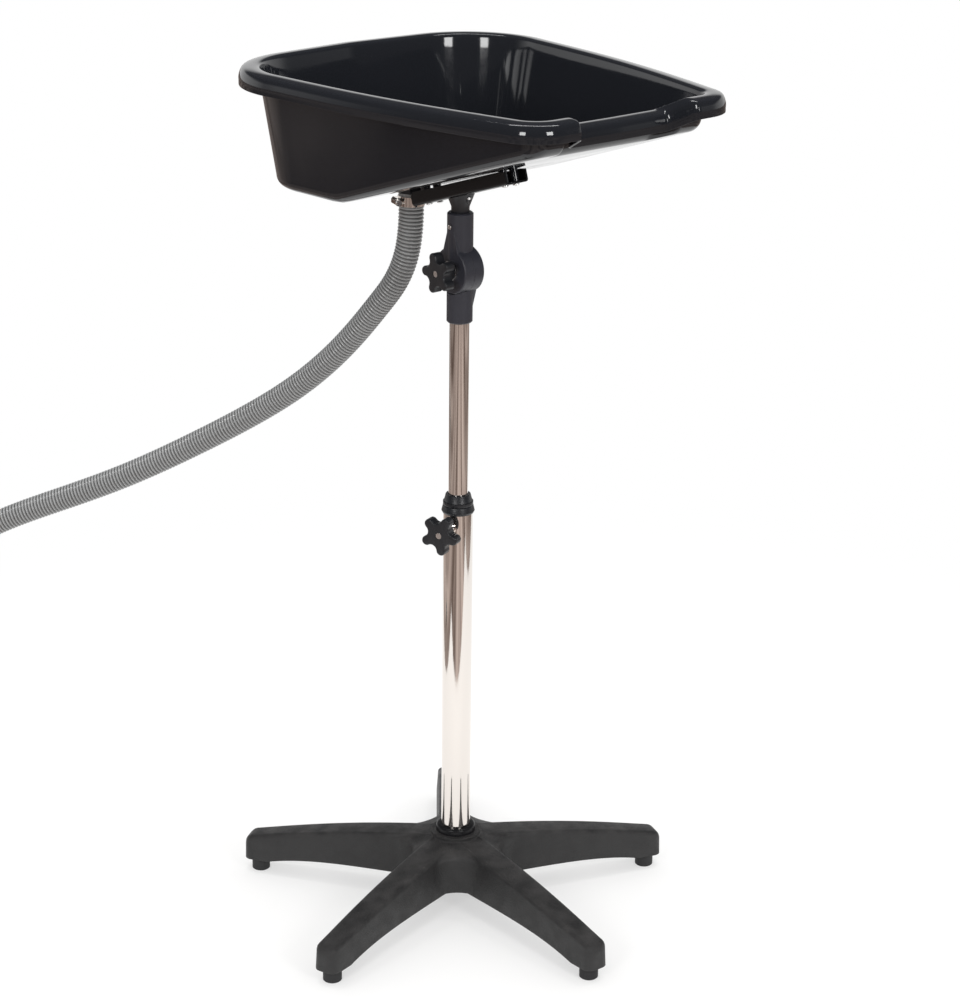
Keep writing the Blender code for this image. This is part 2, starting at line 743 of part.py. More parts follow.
def make_knob(name, axis, hub_from, face, stud_radius, turn_angle):
    """A lobed knob square to its axis, with the hub that spaces it off what it clamps."""
    body_mesh = plate_mesh(name, lobed_outline(), KNOB_THICKNESS, KNOB_EDGE_ROUND)
    body_mesh.transform(Matrix.Translation((0, 0, face - KNOB_THICKNESS / 2)))
    body_mesh.transform(Matrix.Rotation(turn_angle, 4, "Z"))
    knob = piece(name, body_mesh, MOULDED_BLACK, axis)
    hub_top = face - KNOB_THICKNESS + JOIN_DEPTH
    join(knob, pin_helper(f"{name}_hub", KNOB_HUB_RADIUS, hub_top, hub_from, axis, SMALL_STEPS))
    bore = pin_helper(
        f"{name}_bore", stud_radius + SEAT_GAP, face + CUT_OVERRUN, hub_from - CUT_OVERRUN, axis, SMALL_STEPS
    )
    return cut(knob, bore)


def make_height_clamp():
    make_knob(
        "height_knob", HEIGHT_KNOB_AXIS, CLAMP_BOSS_REACH + SEAT_GAP, HEIGHT_KNOB_FACE, CLAMP_STUD_RADIUS,
        HEIGHT_KNOB_TURN
    )
    stud = pin_profile(CLAMP_STUD_RADIUS, HEIGHT_KNOB_FACE - STUD_RECESS, UPPER_TUBE_RADIUS + SEAT_GAP)
    turned("height_knob_stud", stud, ZINC, HEIGHT_KNOB_AXIS, SMALL_STEPS, closed=False)


# Tilting knuckle

def casting(name, reach, bore_radius, bore_depth, parent, rotation):
    """Half of the lap knuckle: a disc on the -X side of the pivot and a socket that rises along +Z."""
    thickness = KNUCKLE_DISC_THICKNESS
    inner_face = SEAT_GAP / 2
    rim = KNUCKLE_DISC_RADIUS
    disc_profile = (
        (0, thickness),
        (rim - KNUCKLE_DISC_ROUND, thickness),
        (rim, thickness - KNUCKLE_DISC_ROUND),
        (rim, inner_face),
        (0, inner_face),
    )
    to_disc = (0, -math.pi / 2, 0)
    half = turned(
        name, disc_profile, SATIN_BLACK, parent, FINE_STEPS, closed=False,
        rotation=rotation_of(rotation, to_disc)
    )
    chamfer = KNUCKLE_SOCKET_CHAMFER
    socket_profile = (
        (0, reach),
        (KNUCKLE_SOCKET_RADIUS - chamfer, reach),
        (KNUCKLE_SOCKET_RADIUS, reach - chamfer),
        (KNUCKLE_SOCKET_RADIUS, rim / 2),
        (0, rim / 2),
    )
    socket = turned_helper(f"{name}_socket", socket_profile, parent, closed=False, rotation=rotation)
    half_room = pin_helper(
        f"{name}_lap", rim + SEAT_GAP, thickness + CUT_OVERRUN, -inner_face, parent, FINE_STEPS,
        rotation=rotation_of(rotation, (0, math.pi / 2, 0))
    )
    cut(socket, half_room)
    join(half, socket)
    gusset = loft_mesh(f"{name}_gusset_form", [gusset_section(-thickness), gusset_section(0)])
    gusset_form = helper(f"{name}_gusset", gusset, parent, rotation=rotation)
    cut(gusset_form, half_room)
    join(half, gusset_form)
    bore = pin_helper(
        f"{name}_bore", bore_radius + SEAT_GAP, reach + CUT_OVERRUN, reach - bore_depth, parent, ROUND_STEPS,
        rotation=rotation
    )
    cut(half, bore)
    pivot_hole = pin_helper(
        f"{name}_pivot_hole", PIVOT_BOLT_RADIUS + SEAT_GAP, thickness + CUT_OVERRUN, -CUT_OVERRUN, parent,
        rotation=rotation_of(rotation, to_disc)
    )
    cut(half, pivot_hole)
    screw_hole = pin_helper(
        f"{name}_set_screw_hole", SET_SCREW_RADIUS + SEAT_GAP, KNUCKLE_SOCKET_RADIUS + CUT_OVERRUN, 0, parent,
        rotation=rotation_of(rotation, to_disc), location=turned_point(rotation, (0, 0, SET_SCREW_RISE))
    )
    return cut(half, screw_hole)


def gusset_section(across):
    """The web that tapers from the disc's face up to the socket."""
    return [
        (across, -GUSSET_ROOT_HALF_WIDTH, GUSSET_ROOT_RISE),
        (across, GUSSET_ROOT_HALF_WIDTH, GUSSET_ROOT_RISE),
        (across, GUSSET_TIP_HALF_WIDTH, GUSSET_TIP_RISE),
        (across, -GUSSET_TIP_HALF_WIDTH, GUSSET_TIP_RISE),
    ]


def rotation_of(outer, inner):
    """The Euler angles of one rotation carried by another."""
    combined = Euler(outer).to_matrix() @ Euler(inner).to_matrix()
    return combined.to_euler()


def turned_point(rotation, point):
    """A point carried by a rotation about the parent's origin."""
    return Euler(rotation).to_matrix() @ Vector(point)


def make_set_screw(name, bore_radius, parent, rotation):
    """A slotted screw from the socket's outer side to just short of what it holds."""
    tip = bore_radius + SEAT_GAP
    end = KNUCKLE_SOCKET_RADIUS + SET_SCREW_PROUD
    place_at = turned_point(rotation, (0, 0, SET_SCREW_RISE))
    aim = rotation_of(rotation, (0, -math.pi / 2, 0))
    screw = turned(
        name, pin_profile(SET_SCREW_RADIUS, end, tip), ZINC, parent, SMALL_STEPS, closed=False,
        location=place_at, rotation=aim
    )
    half_slot = SET_SCREW_SLOT_WIDTH / 2
    reach = SET_SCREW_RADIUS + CUT_OVERRUN
    outline = [(-reach, -half_slot), (reach, -half_slot), (reach, half_slot), (-reach, half_slot)]
    slot_mesh = plate_mesh(f"{name}_slot", outline, SET_SCREW_SLOT_DEPTH + SET_SCREW_SLOT_DEPTH)
    slot_mesh.transform(Matrix.Translation((0, 0, end)))
    cut(screw, helper(f"{name}_slot", slot_mesh, parent, location=place_at, rotation=aim))


def make_knuckle():
    upward = (0, 0, 0)
    downward = (0, math.pi, 0)
    casting("knuckle_upper", UPPER_SOCKET_REACH, STEM_RADIUS, SOCKET_ENGAGEMENT, TILT_AXIS, upward)
    lower = casting(
        "knuckle_lower", LOWER_SOCKET_REACH, UPPER_TUBE_RADIUS, SOCKET_ENGAGEMENT, SWIVEL_AXIS, downward
    )
    pocket_depth = PIVOT_BOLT_HEAD_HEIGHT - PIVOT_BOLT_HEAD_PROUD + SEAT_GAP
    hex_mesh = plate_mesh(
        "bolt_pocket", prism_outline(PIVOT_BOLT_HEAD_RADIUS + SEAT_GAP, 6), pocket_depth + CUT_OVERRUN
    )
    pocket_floor = KNUCKLE_DISC_THICKNESS - pocket_depth
    hex_mesh.transform(Matrix.Translation((0, 0, pocket_floor + (pocket_depth + CUT_OVERRUN) / 2)))
    cut(lower, helper("bolt_pocket", hex_mesh, SWIVEL_AXIS, rotation=(0, math.pi / 2, 0)))
    make_set_screw("upper_set_screw", STEM_RADIUS, TILT_AXIS, upward)
    make_set_screw("lower_set_screw", UPPER_TUBE_RADIUS, SWIVEL_AXIS, downward)
    seat = pocket_floor + SEAT_GAP
    make_hex_bolt(
        "pivot_bolt", PIVOT_BOLT_RADIUS, seat + TILT_KNOB_FACE - STUD_RECESS, PIVOT_BOLT_HEAD_RADIUS,
        PIVOT_BOLT_HEAD_HEIGHT, SWIVEL_AXIS, (seat, 0, 0), (0, -math.pi / 2, 0)
    )
    washer_from = KNUCKLE_DISC_THICKNESS + SEAT_GAP
    washer_to = washer_from + PIVOT_WASHER_THICKNESS
    washer = tube_profile(PIVOT_WASHER_RADIUS, PIVOT_BOLT_RADIUS + SEAT_GAP, washer_to, washer_from)
    turned("pivot_washer", washer, ZINC, TILT_KNOB_AXIS, ROUND_STEPS)
    make_knob(
        "tilt_knob", TILT_KNOB_AXIS, washer_to + SEAT_GAP, TILT_KNOB_FACE, PIVOT_BOLT_RADIUS, TILT_KNOB_TURN
    )


# Stem and bracket

def make_stem():
    """A turned stem whose flared head is cut to the bracket's slope."""
    seat = UPPER_SOCKET_REACH - SOCKET_ENGAGEMENT + SEAT_GAP
    flare_top = STEM_REACH + STEM_FLARE_RADIUS * math.tan(FLOOR_SLOPE)
    flare_from = STEM_REACH - STEM_FLARE_LENGTH
    profile = (
        (0, flare_top),
        (STEM_FLARE_RADIUS, flare_top),
        (STEM_RADIUS, flare_from),
        (STEM_RADIUS, seat),
        (0, seat),
    )
    stem = turned("tilt_stem", profile, MOULDED_BLACK, TILT_AXIS, closed=False)
    room = STEM_FLARE_RADIUS + STEM_FLARE_RADIUS
    outline = [(-room, -room), (room, -room), (room, room), (-room, room)]
    above = plate_mesh("above_bracket", outline, room)
    above.transform(Matrix.Translation((0, 0, room / 2 - SEAT_GAP)))
    cut(stem, helper("above_bracket", above, BRACKET_AXIS))
    for number, side in enumerate((-1, 1), start=1):
        centre = (0, side * STEM_SCREW_CIRCLE, 0)
        hole = pin_helper(
            f"stem_screw_{number}_hole", STEM_SCREW_RADIUS + SEAT_GAP, BRACKET_METAL + CUT_OVERRUN,
            -STEM_SCREW_GRIP - CUT_OVERRUN, BRACKET_AXIS, location=centre
        )
        counterbore = pin_helper(
            f"stem_screw_{number}_counterbore", STEM_SCREW_HEAD_RADIUS + SEAT_GAP,
            -STEM_SCREW_GRIP, -STEM_SCREW_GRIP - STEM_SCREW_HEAD_HEIGHT - CUT_OVERRUN, BRACKET_AXIS,
            location=centre
        )
        cut(stem, hole)
        cut(stem, counterbore)
        cut(BRACKET["channel"], hole)
        make_stem_screw(number, centre)


def make_stem_screw(number, centre):
    head_top = -STEM_SCREW_GRIP - SEAT_GAP
    head_bottom = head_top - STEM_SCREW_HEAD_HEIGHT
    shank_top = BRACKET_METAL + STEM_SCREW_PROUD
    profile = (
        (0, shank_top),
        (STEM_SCREW_RADIUS, shank_top),
        (STEM_SCREW_RADIUS, head_top),
        (STEM_SCREW_HEAD_RADIUS, head_top),
        (STEM_SCREW_HEAD_RADIUS, head_top - STEM_SCREW_HEAD_HEIGHT / 2),
        (STEM_SCREW_RADIUS, head_bottom),
        (0, head_bottom),
    )
    turned(
        f"stem_screw_{number}", profile, ZINC, BRACKET_AXIS, SMALL_STEPS, closed=False, location=centre
    )
    nut_mesh = plate_mesh("stem_nut", prism_outline(STEM_NUT_RADIUS, 6), STEM_NUT_HEIGHT)
    lift = BRACKET_METAL + SEAT_GAP + STEM_NUT_HEIGHT / 2
    nut_at = (centre[0], centre[1], lift)
    nut = piece(f"stem_nut_{number}", nut_mesh, ZINC, BRACKET_AXIS, location=nut_at)
    bore = pin_helper(
        f"stem_nut_{number}_bore", STEM_SCREW_RADIUS + SEAT_GAP, STEM_NUT_HEIGHT, -STEM_NUT_HEIGHT,
        BRACKET_AXIS, location=nut_at
    )
    cut(nut, bore)


def channel_outline():
    """The bent sheet's section: X across, Y up from the underside of its web."""
    half = BRACKET_WIDTH / 2
    outer = BRACKET_BEND_RADIUS
    inner = BRACKET_BEND_RADIUS - BRACKET_METAL
    top = BRACKET_FLANGE_HEIGHT
    wall = BRACKET_METAL
    right = [(half, top)]
    right += arc_points((half - outer, outer), outer, 0, -math.pi / 2, 4)
    inside = arc_points((half - outer, outer), inner, -math.pi / 2, 0, 3) + [(half - wall, top)]
    left = [(-across, height) for across, height in reversed(right)]
    inside_left = [(-across, height) for across, height in reversed(inside)]
    return right + left + inside_left + inside


def make_bracket():
    length = BRACKET_NECK_REACH + BRACKET_DEEP_REACH
    middle = (BRACKET_NECK_REACH - BRACKET_DEEP_REACH) / 2
    channel_mesh = plate_mesh("bracket_channel", channel_outline(), length)
    channel = piece(
        "bracket_channel", channel_mesh, GLOSS_BLACK, BRACKET_AXIS,
        location=(0, -middle, 0), rotation=(math.pi / 2, 0, 0)
    )
    top = BRACKET_FLANGE_HEIGHT
    above = top + CUT_OVERRUN
    neck = BRACKET_NECK_REACH
    deep = -BRACKET_DEEP_REACH
    trims = (
        ("bracket_taper", [
            (neck - BRACKET_TAPER_LENGTH, top), (neck, top - BRACKET_TAPER_DROP),
            (neck + CUT_OVERRUN, top - BRACKET_TAPER_DROP), (neck + CUT_OVERRUN, above),
            (neck - BRACKET_TAPER_LENGTH, above)
        ]),
        ("bracket_corner_cut", [
            (deep + BRACKET_CORNER_CUT, above), (deep + BRACKET_CORNER_CUT, top),
            (deep, top - BRACKET_CORNER_CUT), (deep - CUT_OVERRUN, top - BRACKET_CORNER_CUT),
            (deep - CUT_OVERRUN, above)
        ]),
    )
    for name, outline in trims:
        trim = plate_mesh(name, outline, BRACKET_WIDTH + CUT_OVERRUN)
        cut(channel, helper(name, trim, BRACKET_AXIS, rotation=(math.pi / 2, 0, -math.pi / 2)))
    for number, centre in enumerate(bowl_screw_places(), start=1):
        make_bowl_screw(number, centre, channel)
    BRACKET["channel"] = channel


def bowl_screw_places():
    """The bowl's four screws, in the bracket's own plane."""
    return [
        (side * BOWL_SCREW_HALF_SPACING, -along, 0)
        for along in (BOWL_SCREW_NECK_REACH, -BOWL_SCREW_DEEP_REACH)
        for side in (-1, 1)
    ]


def make_bowl_screw(number, centre, channel):
    head_top = -SEAT_GAP
    head_bottom = head_top - BOWL_SCREW_HEAD_HEIGHT
    profile = (
        (0, BOWL_SCREW_DEPTH),
        (BOWL_SCREW_RADIUS, BOWL_SCREW_DEPTH),
        (BOWL_SCREW_RADIUS, head_top),
        (BOWL_SCREW_HEAD_RADIUS, head_top),
        (BOWL_SCREW_HEAD_RADIUS, head_top - BOWL_SCREW_HEAD_HEIGHT / 2),
        (BOWL_SCREW_RADIUS, head_bottom),
        (0, head_bottom),
    )
    turned(
        f"bowl_screw_{number}", profile, ZINC, BRACKET_AXIS, SMALL_STEPS, closed=False, location=centre
    )
    hole = pin_helper(
        f"bowl_screw_{number}_hole", BOWL_SCREW_RADIUS + SEAT_GAP, BOWL_SCREW_DEPTH + SEAT_GAP, -CUT_OVERRUN,
        BRACKET_AXIS, location=centre
    )
    cut(channel, hole)
    BRACKET["bowl_holes"].append(hole)


# Bowl

def floor_height(along):
    """Underside of the bowl's floor, measured from the rim's crest. It is flat, then rises to the neck."""
    rise = (along + FLOOR_KINK_REACH) * math.tan(FLOOR_SLOPE)
    return -BOWL_DEPTH + max(rise, 0.0)


def half_rim():
    """The +X half of the rim's outer edge, from the neck's middle round to the deep end's middle.

    Each point is (across, along, inward across, inward along), with along running to the neck.
    """
    neck = NECK_END_REACH
    deep = -DEEP_END_REACH
    neck_corner = Vector((NECK_END_HALF_WIDTH, neck - HORN_SWEEP))
    deep_corner = Vector((DEEP_END_HALF_WIDTH, deep + DEEP_END_BOW))
    neck_middle = Vector((0, neck))
    deep_middle = Vector((0, deep))
    points = []
    for step in range(SCOOP_POINTS):
        share = step / (SCOOP_POINTS - 1)
        inner = SCOOP_HALF_WIDTH - SCOOP_TRANSITION
        if share < SCOOP_FLAT_SHARE:
            across = inner * share / SCOOP_FLAT_SHARE
        else:
            across = inner + SCOOP_TRANSITION * (share - SCOOP_FLAT_SHARE) / (1 - SCOOP_FLAT_SHARE)
        along = neck - HORN_SWEEP * across / NECK_END_HALF_WIDTH
        points.append((Vector((across, along)), Vector((0, -1))))
    neck_arc = rounded_corner(neck_middle, neck_corner, deep_corner, NECK_CORNER_RADIUS, NECK_CORNER_POINTS)
    deep_arc = rounded_corner(neck_corner, deep_corner, deep_middle, DEEP_CORNER_RADIUS, DEEP_CORNER_POINTS)
    last = points[-1][0]
    for step in range(1, HORN_POINTS + 1):
        share = step / (HORN_POINTS + 1)
        inward = Vector((0, -1)).lerp(neck_arc[0][1], share)
        points.append((last.lerp(neck_arc[0][0], share), inward))
    points += neck_arc
    start, end = neck_arc[-1], deep_arc[0]
    for step in range(1, SIDE_POINTS + 1):
        share = step / (SIDE_POINTS + 1)
        bow = -start[1] * SIDE_BOW * math.sin(math.pi * share)
        points.append((start[0].lerp(end[0], share) + bow, start[1].lerp(end[1], share)))
    points += deep_arc
    start = deep_arc[-1]
    for step in range(1, DEEP_END_POINTS + 1):
        share = step / DEEP_END_POINTS
        inward = start[1].lerp(Vector((0, 1)), share)
        points.append((start[0].lerp(deep_middle, share), inward))
    return [(place_, inward.normalized()) for place_, inward in points]


def rounded_corner(before, corner, after, radius, count):
    """Points and inward directions round one corner of the plan."""
    to_before = (before - corner).normalized()
    to_after = (after - corner).normalized()
    half = to_before.angle(to_after) / 2
    centre = corner + (to_before + to_after).normalized() * radius / math.sin(half)
    first = corner + to_before * radius / math.tan(half) - centre
    last = corner + to_after * radius / math.tan(half) - centre
    sweep = first.angle_signed(last)
    arc = []
    for step in range(count):
        spoke = first.copy()
        spoke.rotate(Matrix.Rotation(-sweep * step / (count - 1), 2))
        arc.append((centre + spoke, -spoke.normalized()))
    return arc


def scoop_share(across):
    """How far the neck rest is scooped at this distance from the middle, from 0 to 1."""
    return 1 - smoothstep((abs(across) - SCOOP_HALF_WIDTH + SCOOP_TRANSITION) / SCOOP_TRANSITION)


def rim_profile():
    """The rim's upper side as (inward, down) from its outer edge and crest, from the band's foot inwards."""
    outer, inner = RIM_OUTER_ROUND, RIM_INNER_ROUND
    points = [(0, RIM_BAND_HEIGHT), (0, (RIM_BAND_HEIGHT + outer) / 2)]
    crest_outer = outer * (1 - math.sqrt(0.5))
    points += [(0, outer), (crest_outer / 2, outer / 2), (crest_outer + outer / 8, crest_outer / 2)]
    points += [(RIM_WIDTH / 2, 0)]
    soft = inner * (1 - math.sqrt(0.5))
    points += [(RIM_WIDTH - inner, 0), (RIM_WIDTH - soft, soft), (RIM_WIDTH, inner)]
    return points


def rim_underside():
    """The hollow side of the rim, from the wall back out to the band's foot."""
    crest_outer = RIM_OUTER_ROUND * (1 - math.sqrt(0.5))
    return [
        (RIM_WIDTH - BOWL_WALL, RIM_INNER_ROUND),
        (RIM_WIDTH - BOWL_WALL - RIM_INNER_ROUND / 2, BOWL_WALL),
        (crest_outer + BOWL_WALL, BOWL_WALL),
        (BOWL_WALL, RIM_OUTER_ROUND),
        (BOWL_WALL, RIM_BAND_HEIGHT),
    ]


def bowl_section(edge, inward):
    """One closed line: over the rim, down the wall, in to the drain and back along the underside."""
    on_neck = edge.y > 0 and abs(edge.x) <= SCOOP_HALF_WIDTH
    share = scoop_share(edge.x) if on_neck else 0.0
    crest = -SCOOP_DEPTH * share
    start = edge + Vector((0, -SCOOP_INSET * share))
    upper = [(start + inward * inset, crest - down) for inset, down in rim_profile()]
    wall_top = crest - RIM_INNER_ROUND
    foot = start + inward * RIM_WIDTH
    for _ in range(3):
        depth = wall_top - floor_height(foot.y) - BOWL_WALL
        foot = start + inward * (RIM_WIDTH + depth * math.tan(WALL_DRAFT))
    fillet = min(FLOOR_FILLET, depth / 2)
    wall_inset = RIM_WIDTH + (depth - fillet) * math.tan(WALL_DRAFT)
    for step in range(1, WALL_POINTS):
        part = step / WALL_POINTS
        inset = RIM_WIDTH + (wall_inset - RIM_WIDTH) * part
        upper.append((start + inward * inset, wall_top - (depth - fillet) * part))
    lower = []
    for step in range(FILLET_POINTS + 1):
        angle = math.pi / 2 * step / FILLET_POINTS
        for side, radius in ((upper, fillet), (lower, fillet + BOWL_WALL)):
            point = start + inward * (wall_inset + fillet - radius * math.cos(angle))
            floor = floor_height(point.y) + BOWL_WALL
            side.append((point, floor + fillet - radius * math.sin(angle)))
    foot = upper[-1][0]
    drain = Vector((0, -DRAIN_REACH))
    hole = drain + (foot - drain).normalized() * DRAIN_HOLE_RADIUS
    crossing = (-FLOOR_KINK_REACH - hole.y) / (foot.y - hole.y) if foot.y > hole.y else 1.0
    kink = min(max(crossing, KINK_SHARE_LIMITS[0]), KINK_SHARE_LIMITS[1])
    for part in ((1 + kink) / 2, kink, kink / 2, 0):
        point = hole.lerp(foot, part)
        upper.append((point, floor_height(point.y) + BOWL_WALL))
        lower.append((point, floor_height(point.y)))
    line = upper + list(reversed(lower))
    line += [(start + inward * inset, crest - down) for inset, down in rim_underside()]
    return [(point.x, -point.y, height) for point, height in line]


def make_bowl():
    """The bowl is lofted round its rim from closed sections, so its walls keep their thickness."""
    half = half_rim()
    mirrored = [
        (Vector((-edge.x, edge.y)), Vector((-inward.x, inward.y))) for edge, inward in reversed(half[1:-1])
    ]
    lines = [bowl_section(edge, inward) for edge, inward in half + mirrored]

    def build(shape):
        columns = [[shape.verts.new(point) for point in line] for line in lines]
        for number, column in enumerate(columns):
            beside = columns[(number + 1) % len(columns)]
            for row in range(len(column)):
                after = (row + 1) % len(column)
                shape.faces.new((column[row], beside[row], beside[after], column[after]))
        bmesh.ops.recalc_face_normals(shape, faces=shape.faces)

    mesh = mesh_of("bowl_shell", build)
    mesh.shade_smooth()
    mesh.set_sharp_from_angle(angle=math.radians(35))
    bowl = piece("bowl_shell", mesh, GLOSS_BOWL, BOWL_AXIS)
    add_bosses(bowl)
    for hole in BRACKET["bowl_holes"]:
        cut(bowl, hole)


def add_bosses(bowl):
    """Round bosses that drop from the bowl's floor to the bracket's web."""
    foot = BRACKET_METAL + SEAT_GAP
    for number, (across, along, _) in enumerate(bowl_screw_places(), start=1):
        ring = [
            (across + side, along + forward)
            for side, forward in prism_outline(BOWL_BOSS_RADIUS, SMALL_STEPS)
        ]
        lower = [(side, forward, foot) for side, forward in ring]
        upper = [(side, forward, boss_top(-forward)) for side, forward in ring]
        boss = loft_mesh(f"bowl_boss_{number}", [lower, upper])
        join(bowl, helper(f"bowl_boss_{number}", boss, BRACKET_AXIS))


def boss_top(reach):
    """Height of a boss above the bracket's underside, ending inside the floor's thickness."""
    bracket_height = RIM_HEIGHT - PIVOT_HEIGHT - STEM_REACH
    lift = BRACKET_FLANGE_HEIGHT
    for _ in range(4):
        along = reach * math.cos(FLOOR_SLOPE) - lift * math.sin(FLOOR_SLOPE)
        height = reach * math.sin(FLOOR_SLOPE) + lift * math.cos(FLOOR_SLOPE)
        lift += (floor_height(along) + bracket_height - height) * math.cos(FLOOR_SLOPE)
    return lift + BOWL_WALL / 2


# Drain

def make_drain():
    """Strainer flange above the floor, union nut and hose tail below it."""
    floor_top = BOWL_WALL + SEAT_GAP
    flange_top = floor_top + DRAIN_FLANGE_THICKNESS
    bore = DRAIN_SHANK_RADIUS - DRAIN_SHANK_WALL
    shank_bottom = flange_top - DRAIN_SHANK_LENGTH
    soft = DRAIN_FLANGE_THICKNESS / 2
    strainer_top = flange_top - soft
    profile = (
        (0, strainer_top),
        (bore, strainer_top),
        (DRAIN_SHANK_RADIUS, flange_top),
        (DRAIN_FLANGE_RADIUS - soft, flange_top),
        (DRAIN_FLANGE_RADIUS, flange_top - soft),
        (DRAIN_FLANGE_RADIUS, floor_top),
        (DRAIN_SHANK_RADIUS, floor_top),
        (DRAIN_SHANK_RADIUS, shank_bottom),
        (bore, shank_bottom),
        (bore, strainer_top - STRAINER_THICKNESS),
        (0, strainer_top - STRAINER_THICKNESS),
    )
    flange = turned("drain_strainer", profile, CHROME, DRAIN_AXIS, closed=False)
    slots = []
    for number in range(STRAINER_SLOTS):
        middle = (bore + STRAINER_HUB_RADIUS) / 2
        half_length = (bore - STRAINER_HUB_RADIUS) / 2 - STRAINER_SLOT_WIDTH / 2
        half_width = STRAINER_SLOT_WIDTH / 2
        outline = arc_points((middle + half_length, 0), half_width, -math.pi / 2, math.pi / 2, 4)
        outline += arc_points((middle - half_length, 0), half_width, math.pi / 2, 3 * math.pi / 2, 4)
        slot = plate_mesh("strainer_slot", outline, STRAINER_THICKNESS * 4)
        slot.transform(Matrix.Rotation(math.tau * number / STRAINER_SLOTS, 4, "Z"))
        slot.transform(Matrix.Translation((0, 0, strainer_top)))
        slots.append(slot)
    cut(flange, helper("strainer_slots", joined_mesh("strainer_slots", slots), DRAIN_AXIS))
    gasket_top = -SEAT_GAP
    gasket_bottom = gasket_top - GASKET_THICKNESS
    shank_room = DRAIN_SHANK_RADIUS + SEAT_GAP
    gasket = tube_profile(GASKET_RADIUS, shank_room, gasket_top, gasket_bottom)
    turned("drain_gasket", gasket, RUBBER, DRAIN_AXIS)
    nut_top = gasket_bottom - SEAT_GAP
    nut_bottom = nut_top - DRAIN_NUT_HEIGHT
    nut_mesh = plate_mesh("drain_nut", prism_outline(DRAIN_NUT_RADIUS, DRAIN_NUT_SIDES), DRAIN_NUT_HEIGHT)
    nut_mesh.transform(Matrix.Translation((0, 0, (nut_top + nut_bottom) / 2)))
    nut = piece("drain_nut", nut_mesh, DARK_PLASTIC, DRAIN_AXIS)
    lip_top = nut_bottom + DRAIN_NUT_LIP
    nut_bore = (
        (shank_room, nut_top + CUT_OVERRUN),
        (shank_room, lip_top),
        (TAIL_RADIUS + SEAT_GAP, lip_top),
        (TAIL_RADIUS + SEAT_GAP, nut_bottom - CUT_OVERRUN),
    )
    axis_ends = ((0, nut_top + CUT_OVERRUN), (0, nut_bottom - CUT_OVERRUN))
    cut(nut, turned_helper("drain_nut_bore", (axis_ends[0],) + nut_bore + (axis_ends[1],), DRAIN_AXIS,
                           closed=False))
    collar_bottom = lip_top + SEAT_GAP
    collar_top = collar_bottom + TAIL_COLLAR_THICKNESS
    tail_bottom = nut_bottom - TAIL_LENGTH + DRAIN_NUT_LIP
    tail_bore = TAIL_RADIUS - TAIL_WALL
    barb = TAIL_RADIUS + TAIL_BARB
    tail = (
        (DRAIN_SHANK_RADIUS, collar_top),
        (DRAIN_SHANK_RADIUS, collar_bottom),
        (TAIL_RADIUS, collar_bottom),
        (TAIL_RADIUS, tail_bottom + TAIL_COLLAR_THICKNESS),
        (barb, tail_bottom + TAIL_COLLAR_THICKNESS),
        (TAIL_RADIUS, tail_bottom),
        (tail_bore, tail_bottom),
        (tail_bore, collar_top),
    )
    turned("drain_tail", tail, DARK_PLASTIC, DRAIN_AXIS)


# Hose

def hose_controls():
    """The route's own points, with a straight run out of the drain ahead of them."""
    top = Vector((0, DRAIN_REACH, HOSE_TOP))
    straight = HOSE_RADIUS + HOSE_RADIUS
    run = [top, top - Vector((0, 0, straight / 2)), top - Vector((0, 0, straight))]
    return run + [Vector(point) for point in HOSE_ROUTE]


def smooth_route(controls, per_span=24):
    """A cubic B-spline along the route, from its first point to its last, as a dense line."""
    points = [controls[0] * 2 - controls[1]] + controls + [controls[-1] * 2 - controls[-2]]
    line = []
    for before, start, end, after in zip(points, points[1:], points[2:], points[3:]):
        for step in range(per_span):
            t = step / per_span
            line.append(
                (before * (1 - t) ** 3 + start * (3 * t ** 3 - 6 * t ** 2 + 4)
                 + end * (1 + 3 * t + 3 * t ** 2 - 3 * t ** 3) + after * t ** 3) / 6
            )
    line.append(controls[-1])
    return line


def even_points(line, count):
    """Points at equal distances along a dense line, with its ends kept."""
    distances = [0.0]
    for start, end in zip(line, line[1:]):
        distances.append(distances[-1] + (end - start).length)
    result = []
    index = 0
    for step in range(count):
        wanted = distances[-1] * step / (count - 1)
        while index < len(line) - 2 and distances[index + 1] < wanted:
            index += 1
        span = distances[index + 1] - distances[index]
        result.append(line[index].lerp(line[index + 1], (wanted - distances[index]) / span))
    return result


def tube_mesh(name, points, radii, closed_by_caps=True):
    """A round tube through points, with a radius at each."""
    curve = bpy.data.curves.new(name, "CURVE")
    curve.dimensions = "3D"
    curve.bevel_depth = 1.0
    curve.bevel_resolution = 2
    curve.use_fill_caps = closed_by_caps
    spline = curve.splines.new("POLY")
    spline.points.add(len(points) - 1)
    for knot, place_, radius in zip(spline.points, points, radii):
        knot.co = (*place_, 1)
        knot.radius = radius
    return welded_mesh(bpy.data.objects.new(name, curve))


